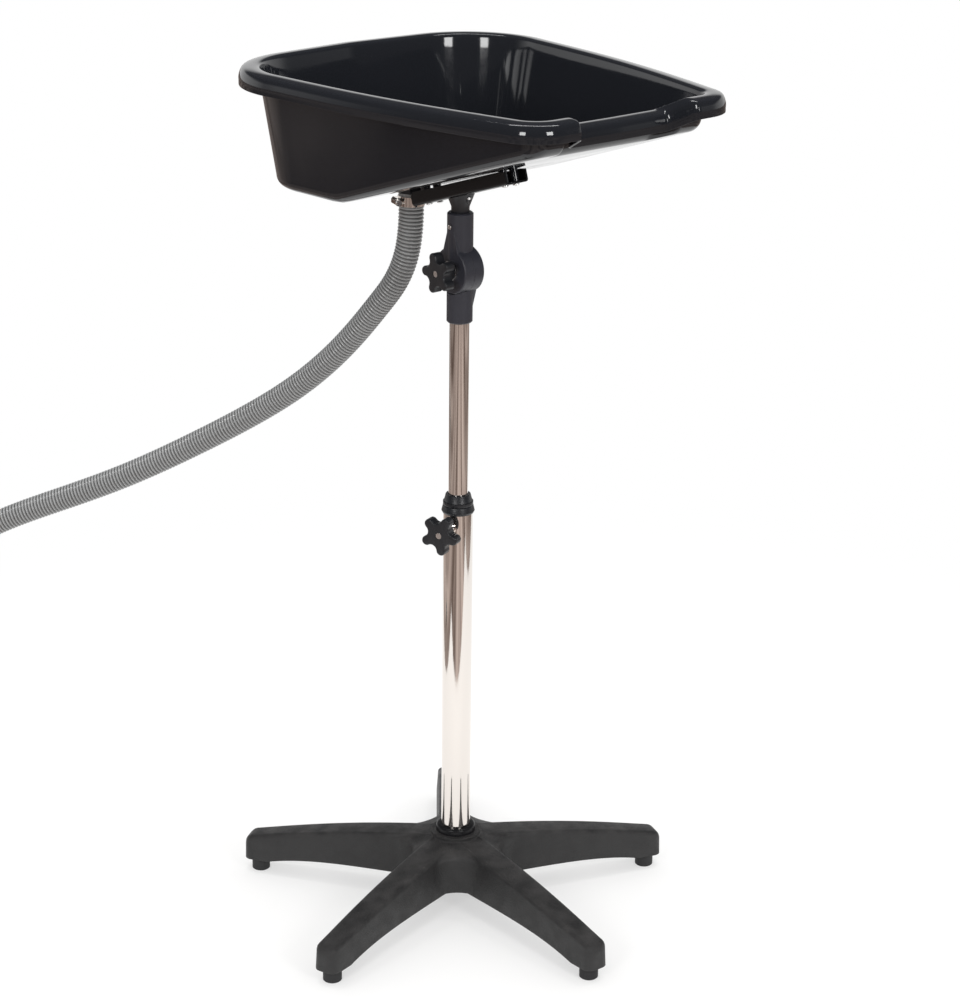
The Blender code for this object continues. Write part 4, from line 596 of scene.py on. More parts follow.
def pin_helper(name, radius, top, bottom, parent, steps=SMALL_STEPS, **where):
    return turned_helper(name, pin_profile(radius, top, bottom), parent, steps, **where)


def drill(obj, name, radius, top, bottom, parent, steps=SMALL_STEPS, **where):
    """A round hole, wider by the seat gap than what goes into it."""
    return cut(obj, pin_helper(name, radius + SEAT_GAP, top, bottom, parent, steps, **where))


def plate_mesh(name, outline, thickness, edge_round=0.0):
    """A flat outline in X and Y, extruded to both sides of Z = 0 and welded."""
    curve = bpy.data.curves.new(name, "CURVE")
    curve.dimensions = "2D"
    curve.fill_mode = "BOTH"
    curve.extrude = thickness / 2 - edge_round
    curve.bevel_depth = edge_round
    curve.bevel_resolution = PLATE_ROUND_STEPS
    curve.offset = -edge_round
    spline = curve.splines.new("POLY")
    spline.points.add(len(outline) - 1)
    for point, (across, along) in zip(spline.points, outline):
        point.co = (across, along, 0, 1)
    spline.use_cyclic_u = True
    return welded_mesh(bpy.data.objects.new(name, curve))


def welded_mesh(source):
    """A curve object's evaluated mesh with its caps welded on. The curve object is removed."""
    shelf(CUTTERS).objects.link(source)
    bpy.context.view_layer.update()
    graph = bpy.context.evaluated_depsgraph_get()
    mesh = bpy.data.meshes.new_from_object(source.evaluated_get(graph))
    bpy.data.objects.remove(source, do_unlink=True)
    return smoothed(mesh, CURVED_SHARP_ANGLE)


def loft_mesh(name, sections):
    """Closed rings of like count, joined in order and capped at both ends."""

    def build(shape):
        rings = [[shape.verts.new(point) for point in section] for section in sections]
        for lower, upper in zip(rings, rings[1:]):
            for start in range(len(lower)):
                end = (start + 1) % len(lower)
                shape.faces.new((lower[start], lower[end], upper[end], upper[start]))
        shape.faces.new(list(reversed(rings[0])))
        shape.faces.new(rings[-1])
        bmesh.ops.recalc_face_normals(shape, faces=shape.faces)

    return mesh_of(name, build)


def joined_mesh(name, meshes):
    """Several separate closed bodies in one mesh, for one cut or join."""

    def build(shape):
        for mesh in meshes:
            shape.from_mesh(mesh)

    return mesh_of(name, build)


def prism_outline(radius, sides, turn_angle=0.0):
    return [
        (radius * math.cos(turn_angle + math.tau * side / sides),
         radius * math.sin(turn_angle + math.tau * side / sides))
        for side in range(sides)
    ]


def arc_points(centre, radius, start, end, count):
    """Points along an arc, both ends included."""
    return [
        (centre[0] + radius * math.cos(start + (end - start) * step / (count - 1)),
         centre[1] + radius * math.sin(start + (end - start) * step / (count - 1)))
        for step in range(count)
    ]


def smoothstep(value):
    value = min(max(value, 0.0), 1.0)
    return value * value * (3 - 2 * value)


# Star base

def leg_width(reach):
    """Full width of a leg at its foot line, narrowing evenly to the tip."""
    share = reach / LEG_REACH
    return LEG_ROOT_WIDTH + (LEG_TIP_WIDTH - LEG_ROOT_WIDTH) * share


def leg_top(reach):
    share = reach / LEG_REACH
    arch = LEG_ARCH * math.sin(math.pi * share)
    return LEG_ROOT_TOP + (LEG_TIP_TOP - LEG_ROOT_TOP) * share + arch


def leg_bottom(reach):
    flat_from = LEG_REACH - LEG_TIP_LENGTH
    share = min(max((reach - HUB_RADIUS) / (flat_from - HUB_RADIUS), 0.0), 1.0)
    return HUB_BOTTOM + (LEG_TIP_BOTTOM - HUB_BOTTOM) * share ** LEG_UNDERSIDE_POWER


def leg_section(reach, inset=0.0, drop=0.0):
    """One cross-section of a leg, square to its length, with rounded upper edges."""
    half = leg_width(reach) / 2 - inset
    top = leg_top(reach) - drop
    bottom = leg_bottom(reach)
    shoulder = half - (top - bottom) * math.tan(LEG_SIDE_DRAFT)
    centre = (shoulder - LEG_EDGE_BEVEL, top - LEG_EDGE_BEVEL)
    side = [(half, bottom)] + arc_points(centre, LEG_EDGE_BEVEL, 0, math.pi / 2, LEG_EDGE_POINTS)
    outline = side + [(-across, height) for across, height in reversed(side)]
    return [(reach, across, height) for across, height in outline]


def leg_mesh():
    span = LEG_REACH - LEG_TIP_LENGTH - HUB_RADIUS
    reaches = [HUB_RADIUS / 2]
    reaches += [HUB_RADIUS + span * station / (LEG_STATIONS - 1) for station in range(LEG_STATIONS)]
    sections = [leg_section(reach) for reach in reaches]
    for step in range(LEG_TIP_POINTS):
        angle = math.pi / 2 * step / (LEG_TIP_POINTS - 1)
        back = LEG_TIP_ROUND * (1 - math.sin(angle))
        pull = LEG_TIP_ROUND * (1 - math.cos(angle))
        sections.append(leg_section(LEG_REACH - back, pull, pull))
    return loft_mesh("leg", sections)


def web_section(top, bevel, drop):
    """One level of the web that fills the corner between two legs, about the line midway between them."""
    half_angle = math.pi / LEG_COUNT
    spread = 1 / math.sin(half_angle)
    hollow = (WEB_REACH - WEB_LEG_HALF * spread) / (spread - 1)
    centre = (WEB_REACH + hollow, 0)
    start, end = math.pi * 1.5 - half_angle, math.pi / 2 + half_angle
    front = arc_points(centre, hollow + bevel, start, end, WEB_POINTS)
    return [
        (along, across, WEB_TOP - WEB_SLOPE * along - drop if top else WEB_BOTTOM)
        for along, across in [(WEB_INNER, 0)] + front
    ]


def web_mesh():
    sections = [web_section(False, 0, 0)]
    for step in range(LEG_EDGE_POINTS):
        angle = math.pi / 2 * step / (LEG_EDGE_POINTS - 1)
        bevel = LEG_EDGE_BEVEL * (1 - math.cos(angle))
        drop = LEG_EDGE_BEVEL * (1 - math.sin(angle))
        sections.append(web_section(True, bevel, drop))
    return loft_mesh("web", sections)


def pocket_section(reach):
    half = leg_width(reach) / 2 - LEG_WALL
    top = leg_top(reach) - LEG_WALL
    bottom = leg_bottom(reach) - CUT_OVERRUN
    upper = half - (top - bottom) * math.tan(LEG_SIDE_DRAFT)
    return [(reach, half, bottom), (reach, upper, top), (reach, -upper, top), (reach, -half, bottom)]


def pocket_mesh():
    """The hollows under one leg, between its cross ribs."""
    first = HUB_RADIUS + LEG_WALL
    last = FOOT_CIRCLE_RADIUS - FOOT_RADIUS
    pitch = (last - first + LEG_RIB) / LEG_POCKETS
    pockets = []
    for number in range(LEG_POCKETS):
        start = first + pitch * number
        pockets.append(loft_mesh("pocket", [pocket_section(start), pocket_section(start + pitch - LEG_RIB)]))
    return joined_mesh("leg_pockets", pockets)


def make_base():
    hub_profile = (
        (0, HUB_TOP),
        (HUB_CAP_RADIUS, HUB_TOP),
        (HUB_CAP_RADIUS, HUB_TOP - HUB_CAP_STEP),
        (HUB_RADIUS, HUB_WALL_TOP),
        (HUB_RADIUS, HUB_BOTTOM),
        (0, HUB_BOTTOM),
    )
    star = turned("base_star", hub_profile, CASTING_BLACK, ROOT, FINE_STEPS)
    leg = leg_mesh()
    pockets = pocket_mesh()
    web = web_mesh()
    for number in range(LEG_COUNT):
        turn_angle = leg_angle(number) + math.pi / LEG_COUNT
        join(star, helper(f"web_{number + 1}_form", web, ROOT, rotation=(0, 0, turn_angle)))
    for number in range(LEG_COUNT):
        turn_angle = leg_angle(number)
        join(star, helper(f"leg_{number + 1}_form", leg, ROOT, rotation=(0, 0, turn_angle)))
        cut(star, helper(f"leg_{number + 1}_hollow", pockets, ROOT, rotation=(0, 0, turn_angle)))
    under = HUB_BOTTOM - CUT_OVERRUN
    socket_outer = LOWER_TUBE_RADIUS + SEAT_GAP + SOCKET_WALL
    hollow = tube_profile(HUB_RADIUS - LEG_WALL, socket_outer, HUB_POCKET_TOP, under)
    cut(star, turned_helper("hub_hollow", hollow, ROOT))
    seat = TUBE_SEAT - SEAT_GAP
    drill(star, "tube_socket", LOWER_TUBE_RADIUS, HUB_TOP + CUT_OVERRUN, seat, ROOT, ROUND_STEPS)
    drill(star, "hub_bolt_hole", HUB_BOLT_RADIUS, TUBE_SEAT, under, ROOT)
    for number in range(LEG_COUNT):
        angle = leg_angle(number)
        centre = (FOOT_CIRCLE_RADIUS * math.cos(angle), FOOT_CIRCLE_RADIUS * math.sin(angle), LEG_TIP_BOTTOM)
        depth = FOOT_PEG_LENGTH + SEAT_GAP
        drill(star, f"foot_{number + 1}_hole", FOOT_PEG_RADIUS, depth, -CUT_OVERRUN, ROOT, location=centre)


def leg_angle(number):
    """A leg's direction about +Z. The first one points at the neck rest, apart from the star's own turn."""
    return -math.pi / 2 + BASE_TURN + math.tau * number / LEG_COUNT


def make_hub_fittings():
    bore = LOWER_TUBE_RADIUS + SEAT_GAP
    bottom = HUB_TOP + SEAT_GAP
    top = bottom + HUB_RING_HEIGHT
    centre = (HUB_RING_RADIUS - HUB_RING_ROUND, top - HUB_RING_ROUND)
    shoulder = arc_points(centre, HUB_RING_ROUND, math.pi / 2, 0, EDGE_ROUND_POINTS)
    profile = [(bore, top)] + shoulder + [(HUB_RING_RADIUS, bottom), (bore, bottom)]
    turned("hub_ring", profile, GLOSS_BLACK, ROOT)
    plug_radius = LOWER_BORE_RADIUS - SEAT_GAP
    plug = tube_profile(plug_radius, HUB_BOLT_RADIUS + SEAT_GAP, TUBE_SEAT + TUBE_PLUG_LENGTH, TUBE_SEAT)
    turned("tube_plug", plug, DARK_PLASTIC, ROOT)
    washer_top = HUB_BOTTOM - SEAT_GAP
    washer_bottom = washer_top - HUB_WASHER_THICKNESS
    washer = tube_profile(HUB_WASHER_RADIUS, HUB_BOLT_RADIUS + SEAT_GAP, washer_top, washer_bottom)
    turned("hub_washer", washer, ZINC, ROOT, SMALL_STEPS)
    make_hex_bolt(
        "hub_bolt", HUB_BOLT_RADIUS, HUB_BOLT_LENGTH, HUB_BOLT_HEAD_RADIUS, HUB_BOLT_HEAD_HEIGHT,
        ROOT, (0, 0, washer_bottom - SEAT_GAP), (0, 0, 0)
    )


def make_hex_bolt(name, radius, length, head_radius, head_height, parent, location, rotation):
    """A bolt whose head lies under its location and whose shank rises from it."""
    outline = prism_outline(head_radius, HEX_SIDES)
    head = plate_mesh(name, outline, head_height)
    head.transform(Matrix.Translation((0, 0, -head_height / 2)))
    bolt = piece(name, head, ZINC, parent, location=location, rotation=rotation)
    shank = pin_helper(
        f"{name}_shank", radius, length, -head_height / 2, parent, location=location, rotation=rotation
    )
    return join(bolt, shank)


# Column

def make_column():
    lower = tube_profile(LOWER_TUBE_RADIUS, LOWER_BORE_RADIUS, LOWER_TUBE_TOP, TUBE_SEAT)
    tube = turned("lower_tube", lower, CHROME, ROOT)
    drill(tube, "clamp_stud_hole", CLAMP_STUD_RADIUS, LOWER_TUBE_RADIUS + CUT_OVERRUN, 0, HEIGHT_KNOB_AXIS)
    make_collar()
    make_clamp_boss()
    tube_bottom = UPPER_TUBE_BOTTOM - PIVOT_HEIGHT
    tube_top = UPPER_TUBE_TOP - PIVOT_HEIGHT
    inner = UPPER_TUBE_RADIUS - UPPER_TUBE_WALL
    turned("upper_tube", tube_profile(UPPER_TUBE_RADIUS, inner, tube_top, tube_bottom), CHROME, SWIVEL_AXIS)
    bush_outer = LOWER_BORE_RADIUS - SEAT_GAP
    bush_inner = UPPER_TUBE_RADIUS + SEAT_GAP
    bush_bottom = UPPER_TUBE_BOTTOM + GUIDE_BUSH_RISE
    bush = tube_profile(bush_outer, bush_inner, GUIDE_BUSH_LENGTH, 0)
    turned("guide_bush", bush, DARK_PLASTIC, SLIDE_AXIS, location=(0, 0, bush_bottom - PIVOT_HEIGHT))


def make_collar():
    """The tapered cap on the lower tube, whose inner sleeve guides the upper tube."""
    bore = UPPER_TUBE_RADIUS + SEAT_GAP
    skirt_bore = LOWER_TUBE_RADIUS + SEAT_GAP
    sleeve_outer = LOWER_BORE_RADIUS - SEAT_GAP
    skirt_bottom = -COLLAR_OVERLAP
    chamfer = COLLAR_SKIRT_CHAMFER
    profile = (
        (COLLAR_TOP_RADIUS - chamfer / 2, COLLAR_CAP),
        (COLLAR_TOP_RADIUS, COLLAR_CAP - chamfer / 2),
        (COLLAR_SKIRT_RADIUS, skirt_bottom + chamfer + chamfer),
        (COLLAR_SKIRT_RADIUS - chamfer, skirt_bottom),
        (skirt_bore, skirt_bottom),
        (skirt_bore, SEAT_GAP),
        (sleeve_outer, SEAT_GAP),
        (sleeve_outer, -COLLAR_SLEEVE_DEPTH),
        (bore, -COLLAR_SLEEVE_DEPTH),
        (bore, COLLAR_CAP),
    )
    turned("height_collar", profile, MOULDED_BLACK, ROOT, location=(0, 0, LOWER_TUBE_TOP))


def make_clamp_boss():
    """The threaded boss on the lower tube, hollowed at its foot to sit on the tube."""
    profile = tube_profile(
        CLAMP_BOSS_RADIUS, CLAMP_STUD_RADIUS + SEAT_GAP, CLAMP_BOSS_REACH, LOWER_BORE_RADIUS
    )
    boss = turned("clamp_boss", profile, CHROME, HEIGHT_KNOB_AXIS, SMALL_STEPS)
    drill(boss, "tube_form", LOWER_TUBE_RADIUS, LOWER_TUBE_TOP, TUBE_SEAT, ROOT, ROUND_STEPS)


# Star knobs

def lobed_outline():
    """Round lobes joined by round valleys that meet them smoothly."""
    lobe_centre = KNOB_RADIUS - KNOB_LOBE_RADIUS
    half_pitch = math.pi / KNOB_LOBES
    lean = lobe_centre * math.cos(half_pitch)
    square = lobe_centre ** 2 + KNOB_VALLEY_RADIUS ** 2 - KNOB_LOBE_RADIUS ** 2
    room = KNOB_LOBE_RADIUS - KNOB_VALLEY_RADIUS + lean
    valley_arc = (square - 2 * KNOB_VALLEY_RADIUS * lean) / (2 * room)
    valley_centre = KNOB_VALLEY_RADIUS + valley_arc
    touch = math.atan2(
        valley_centre * math.sin(half_pitch), valley_centre * math.cos(half_pitch) - lobe_centre
    )
    outline = []
    for lobe in range(KNOB_LOBES):
        middle = math.tau * lobe / KNOB_LOBES
        centre = (lobe_centre * math.cos(middle), lobe_centre * math.sin(middle))
        outline += arc_points(centre, KNOB_LOBE_RADIUS, middle - touch, middle + touch, KNOB_LOBE_POINTS)
        gap = middle + half_pitch
        centre = (valley_centre * math.cos(gap), valley_centre * math.sin(gap))
        reach = math.pi - touch + half_pitch
        arc = arc_points(
            centre, valley_arc, gap + math.pi + (math.pi - reach), gap + math.pi - (math.pi - reach),
            KNOB_VALLEY_POINTS + 2
        )
        outline += arc[1:-1]
    return outline


def make_knob(name, axis, hub_from, face, stud_radius, turn_angle):
    """A lobed knob square to its axis, with the hub that spaces it off what it clamps."""
    body_mesh = plate_mesh(name, lobed_outline(), KNOB_THICKNESS, KNOB_EDGE_ROUND)
    body_mesh.transform(Matrix.Translation((0, 0, face - KNOB_THICKNESS / 2)))
    body_mesh.transform(Matrix.Rotation(turn_angle, 4, "Z"))
    knob = piece(name, body_mesh, MOULDED_BLACK, axis)
    hub_top = face - KNOB_THICKNESS + JOIN_DEPTH
    join(knob, pin_helper(f"{name}_hub", KNOB_HUB_RADIUS, hub_top, hub_from, axis, SMALL_STEPS))
    return drill(knob, f"{name}_bore", stud_radius, face + CUT_OVERRUN, hub_from - CUT_OVERRUN, axis)


def make_height_clamp():
    make_knob(
        "height_knob", HEIGHT_KNOB_AXIS, CLAMP_BOSS_REACH + SEAT_GAP, HEIGHT_KNOB_FACE, CLAMP_STUD_RADIUS,
        HEIGHT_KNOB_TURN
    )
    stud = pin_profile(CLAMP_STUD_RADIUS, HEIGHT_KNOB_FACE - STUD_RECESS, UPPER_TUBE_RADIUS + SEAT_GAP)
    turned("height_knob_stud", stud, ZINC, HEIGHT_KNOB_AXIS, SMALL_STEPS)


# Tilting knuckle

def casting(name, reach, bore_radius, bore_depth, parent, rotation):
    """Half of the lap knuckle: a disc on the -X side of the pivot and a socket that rises along +Z."""
    thickness = KNUCKLE_DISC_THICKNESS
    inner_face = SEAT_GAP / 2
    rim = KNUCKLE_DISC_RADIUS
    disc_profile = (
        (0, thickness),
        (rim - KNUCKLE_DISC_ROUND, thickness),
        (rim, thickness - KNUCKLE_DISC_ROUND),
        (rim, inner_face),
        (0, inner_face),
    )
    to_disc = (0, -math.pi / 2, 0)
    half = turned(
        name, disc_profile, SATIN_BLACK, parent, FINE_STEPS,
        rotation=rotation_of(rotation, to_disc)
    )
    chamfer = KNUCKLE_SOCKET_CHAMFER
    socket_profile = (
        (0, reach),
        (KNUCKLE_SOCKET_RADIUS - chamfer, reach),
        (KNUCKLE_SOCKET_RADIUS, reach - chamfer),
        (KNUCKLE_SOCKET_RADIUS, rim / 2),
        (0, rim / 2),
    )
    socket = turned_helper(f"{name}_socket", socket_profile, parent, rotation=rotation)
    half_room = pin_helper(
        f"{name}_lap", rim + SEAT_GAP, thickness + CUT_OVERRUN, -inner_face, parent, FINE_STEPS,
        rotation=rotation_of(rotation, (0, math.pi / 2, 0))
    )
    cut(socket, half_room)
    join(half, socket)
    gusset = loft_mesh(f"{name}_gusset_form", [gusset_section(-thickness), gusset_section(0)])
    gusset_form = helper(f"{name}_gusset", gusset, parent, rotation=rotation)
    cut(gusset_form, half_room)
    join(half, gusset_form)
    drill(
        half, f"{name}_bore", bore_radius, reach + CUT_OVERRUN, reach - bore_depth, parent, ROUND_STEPS,
        rotation=rotation
    )
    across = rotation_of(rotation, to_disc)
    drill(
        half, f"{name}_pivot_hole", PIVOT_BOLT_RADIUS, thickness + CUT_OVERRUN, -CUT_OVERRUN, parent,
        rotation=across
    )
    return drill(
        half, f"{name}_set_screw_hole", SET_SCREW_RADIUS, KNUCKLE_SOCKET_RADIUS + CUT_OVERRUN, 0, parent,
        rotation=across, location=turned_point(rotation, (0, 0, SET_SCREW_RISE))
    )


def gusset_section(across):
    """The web that tapers from the disc's face up to the socket."""
    return [
        (across, -GUSSET_ROOT_HALF_WIDTH, GUSSET_ROOT_RISE),
        (across, GUSSET_ROOT_HALF_WIDTH, GUSSET_ROOT_RISE),
        (across, GUSSET_TIP_HALF_WIDTH, GUSSET_TIP_RISE),
        (across, -GUSSET_TIP_HALF_WIDTH, GUSSET_TIP_RISE),
    ]


def rotation_of(outer, inner):
    """The Euler angles of one rotation carried by another."""
    combined = Euler(outer).to_matrix() @ Euler(inner).to_matrix()
    return combined.to_euler()


def turned_point(rotation, point):
    """A point carried by a rotation about the parent's origin."""
    return Euler(rotation).to_matrix() @ Vector(point)


def make_set_screw(name, bore_radius, parent, rotation):
    """A slotted screw from the socket's outer side to just short of what it holds."""
    tip = bore_radius + SEAT_GAP
    end = KNUCKLE_SOCKET_RADIUS + SET_SCREW_PROUD
    place_at = turned_point(rotation, (0, 0, SET_SCREW_RISE))
    aim = rotation_of(rotation, (0, -math.pi / 2, 0))
    screw = turned(
        name, pin_profile(SET_SCREW_RADIUS, end, tip), ZINC, parent, SMALL_STEPS,
        location=place_at, rotation=aim
    )
    half_slot = SET_SCREW_SLOT_WIDTH / 2
    reach = SET_SCREW_RADIUS + CUT_OVERRUN
    outline = [(-reach, -half_slot), (reach, -half_slot), (reach, half_slot), (-reach, half_slot)]
    slot_mesh = plate_mesh(f"{name}_slot", outline, SET_SCREW_SLOT_DEPTH + SET_SCREW_SLOT_DEPTH)
    slot_mesh.transform(Matrix.Translation((0, 0, end)))
    cut(screw, helper(f"{name}_slot", slot_mesh, parent, location=place_at, rotation=aim))


def make_knuckle():
    upward = (0, 0, 0)
    downward = (0, math.pi, 0)
    casting("knuckle_upper", UPPER_SOCKET_REACH, STEM_RADIUS, SOCKET_ENGAGEMENT, TILT_AXIS, upward)
    lower = casting(
        "knuckle_lower", LOWER_SOCKET_REACH, UPPER_TUBE_RADIUS, SOCKET_ENGAGEMENT, SWIVEL_AXIS, downward
    )
    pocket_depth = PIVOT_BOLT_HEAD_HEIGHT - PIVOT_BOLT_HEAD_PROUD + SEAT_GAP
    hex_mesh = plate_mesh(
        "bolt_pocket", prism_outline(PIVOT_BOLT_HEAD_RADIUS + SEAT_GAP, HEX_SIDES), pocket_depth + CUT_OVERRUN
    )
    pocket_floor = KNUCKLE_DISC_THICKNESS - pocket_depth
    hex_mesh.transform(Matrix.Translation((0, 0, pocket_floor + (pocket_depth + CUT_OVERRUN) / 2)))
    cut(lower, helper("bolt_pocket", hex_mesh, SWIVEL_AXIS, rotation=(0, math.pi / 2, 0)))
    make_set_screw("upper_set_screw", STEM_RADIUS, TILT_AXIS, upward)
    make_set_screw("lower_set_screw", UPPER_TUBE_RADIUS, SWIVEL_AXIS, downward)
    seat = pocket_floor + SEAT_GAP
    make_hex_bolt(
        "pivot_bolt", PIVOT_BOLT_RADIUS, seat + TILT_KNOB_FACE - STUD_RECESS, PIVOT_BOLT_HEAD_RADIUS,
        PIVOT_BOLT_HEAD_HEIGHT, SWIVEL_AXIS, (seat, 0, 0), (0, -math.pi / 2, 0)
    )
    washer_from = KNUCKLE_DISC_THICKNESS + SEAT_GAP
    washer_to = washer_from + PIVOT_WASHER_THICKNESS
    washer = tube_profile(PIVOT_WASHER_RADIUS, PIVOT_BOLT_RADIUS + SEAT_GAP, washer_to, washer_from)
    turned("pivot_washer", washer, ZINC, TILT_KNOB_AXIS, ROUND_STEPS)
    make_knob(
        "tilt_knob", TILT_KNOB_AXIS, washer_to + SEAT_GAP, TILT_KNOB_FACE, PIVOT_BOLT_RADIUS, TILT_KNOB_TURN
    )


# Stem and bracket

def make_stem(channel):
    """A turned stem whose flared head is cut to the bracket's slope."""
    seat = UPPER_SOCKET_REACH - SOCKET_ENGAGEMENT + SEAT_GAP
    flare_top = STEM_REACH + STEM_FLARE_RADIUS * math.tan(FLOOR_SLOPE)
    flare_from = STEM_REACH - STEM_FLARE_LENGTH
    profile = (
        (0, flare_top),
        (STEM_FLARE_RADIUS, flare_top),
        (STEM_RADIUS, flare_from),
        (STEM_RADIUS, seat),
        (0, seat),
    )
    stem = turned("tilt_stem", profile, MOULDED_BLACK, TILT_AXIS)
    room = STEM_FLARE_RADIUS + STEM_FLARE_RADIUS
    outline = [(-room, -room), (room, -room), (room, room), (-room, room)]
    above = plate_mesh("above_bracket", outline, room)
    above.transform(Matrix.Translation((0, 0, room / 2 - SEAT_GAP)))
    cut(stem, helper("above_bracket", above, BRACKET_AXIS))
    for number, side in enumerate((-1, 1), start=1):
        centre = (0, side * STEM_SCREW_CIRCLE, 0)
        hole = pin_helper(
            f"stem_screw_{number}_hole", STEM_SCREW_RADIUS + SEAT_GAP, BRACKET_METAL + CUT_OVERRUN,
            -STEM_SCREW_GRIP - CUT_OVERRUN, BRACKET_AXIS, location=centre
        )
        cut(stem, hole)
        drill(
            stem, f"stem_screw_{number}_counterbore", STEM_SCREW_HEAD_RADIUS, -STEM_SCREW_GRIP,
            -STEM_SCREW_GRIP - STEM_SCREW_HEAD_HEIGHT - CUT_OVERRUN, BRACKET_AXIS, location=centre
        )
        cut(channel, hole)
        make_stem_screw(number, centre)


def make_stem_screw(number, centre):
    head_top = -STEM_SCREW_GRIP - SEAT_GAP
    head_bottom = head_top - STEM_SCREW_HEAD_HEIGHT
    shank_top = BRACKET_METAL + STEM_SCREW_PROUD
    profile = (
        (0, shank_top),
        (STEM_SCREW_RADIUS, shank_top),
        (STEM_SCREW_RADIUS, head_top),
        (STEM_SCREW_HEAD_RADIUS, head_top),
        (STEM_SCREW_HEAD_RADIUS, head_top - STEM_SCREW_HEAD_HEIGHT / 2),
        (STEM_SCREW_RADIUS, head_bottom),
        (0, head_bottom),
    )
    turned(
        f"stem_screw_{number}", profile, ZINC, BRACKET_AXIS, SMALL_STEPS, location=centre
    )
    nut_mesh = plate_mesh("stem_nut", prism_outline(STEM_NUT_RADIUS, HEX_SIDES), STEM_NUT_HEIGHT)
    lift = BRACKET_METAL + SEAT_GAP + STEM_NUT_HEIGHT / 2
    nut_at = (centre[0], centre[1], lift)
    nut = piece(f"stem_nut_{number}", nut_mesh, ZINC, BRACKET_AXIS, location=nut_at)
    drill(
        nut, f"stem_nut_{number}_bore", STEM_SCREW_RADIUS, STEM_NUT_HEIGHT, -STEM_NUT_HEIGHT, BRACKET_AXIS,
        location=nut_at
    )


def channel_outline():
    """The bent sheet's section: X across, Y up from the underside of its web."""
    half = BRACKET_WIDTH / 2
    outer = BRACKET_BEND_RADIUS
    inner = BRACKET_BEND_RADIUS - BRACKET_METAL
    top = BRACKET_FLANGE_HEIGHT
    wall = BRACKET_METAL
    right = [(half, top)]
    right += arc_points((half - outer, outer), outer, 0, -math.pi / 2, EDGE_ROUND_POINTS)
    inside = arc_points((half - outer, outer), inner, -math.pi / 2, 0, 3) + [(half - wall, top)]
    left = [(-across, height) for across, height in reversed(right)]
    inside_left = [(-across, height) for across, height in reversed(inside)]
    return right + left + inside_left + inside


def make_bracket():
    length = BRACKET_NECK_REACH + BRACKET_DEEP_REACH
    middle = (BRACKET_NECK_REACH - BRACKET_DEEP_REACH) / 2
    channel_mesh = plate_mesh("bracket_channel", channel_outline(), length)
    channel = piece(
        "bracket_channel", channel_mesh, GLOSS_BLACK, BRACKET_AXIS,
        location=(0, -middle, 0), rotation=(math.pi / 2, 0, 0)
    )
    top = BRACKET_FLANGE_HEIGHT
    above = top + CUT_OVERRUN
    neck = BRACKET_NECK_REACH
    deep = -BRACKET_DEEP_REACH
    trims = (
        ("bracket_taper", [
            (neck - BRACKET_TAPER_LENGTH, top), (neck, top - BRACKET_TAPER_DROP),
            (neck + CUT_OVERRUN, top - BRACKET_TAPER_DROP), (neck + CUT_OVERRUN, above),
            (neck - BRACKET_TAPER_LENGTH, above)
        ]),
        ("bracket_corner_cut", [
            (deep + BRACKET_CORNER_CUT, above), (deep + BRACKET_CORNER_CUT, top),
            (deep, top - BRACKET_CORNER_CUT), (deep - CUT_OVERRUN, top - BRACKET_CORNER_CUT),
            (deep - CUT_OVERRUN, above)
        ]),
    )
    for name, outline in trims:
        trim = plate_mesh(name, outline, BRACKET_WIDTH + CUT_OVERRUN)
        cut(channel, helper(name, trim, BRACKET_AXIS, rotation=(math.pi / 2, 0, -math.pi / 2)))
    for number, centre in enumerate(bowl_screw_places(), start=1):
        cut(channel, bowl_screw_hole(number, centre))
    return channel


def bowl_screw_places():
    """The bowl's four screws, in the bracket's own plane."""
    return [
        (side * BOWL_SCREW_HALF_SPACING, -along, 0)
        for along in (BOWL_SCREW_NECK_REACH, -BOWL_SCREW_DEEP_REACH)
        for side in (-1, 1)
    ]


def bowl_screw_hole(number, centre):
    """The hole that a bowl screw takes in the bracket and the bowl."""
    return pin_helper(
        f"bowl_screw_{number}_hole", BOWL_SCREW_RADIUS + SEAT_GAP, BOWL_SCREW_DEPTH + SEAT_GAP, -CUT_OVERRUN,
        BRACKET_AXIS, location=centre
    )


# Bowl

def floor_height(along):
    """Underside of the bowl's floor, measured from the rim's crest. It is flat, then rises to the neck."""
    past = along + FLOOR_KINK_REACH
    if abs(past) < FLOOR_KINK_BLEND:
        past = (past + FLOOR_KINK_BLEND) ** 2 / (4 * FLOOR_KINK_BLEND)
    return -BOWL_DEPTH + max(past, 0.0) * math.tan(FLOOR_SLOPE)


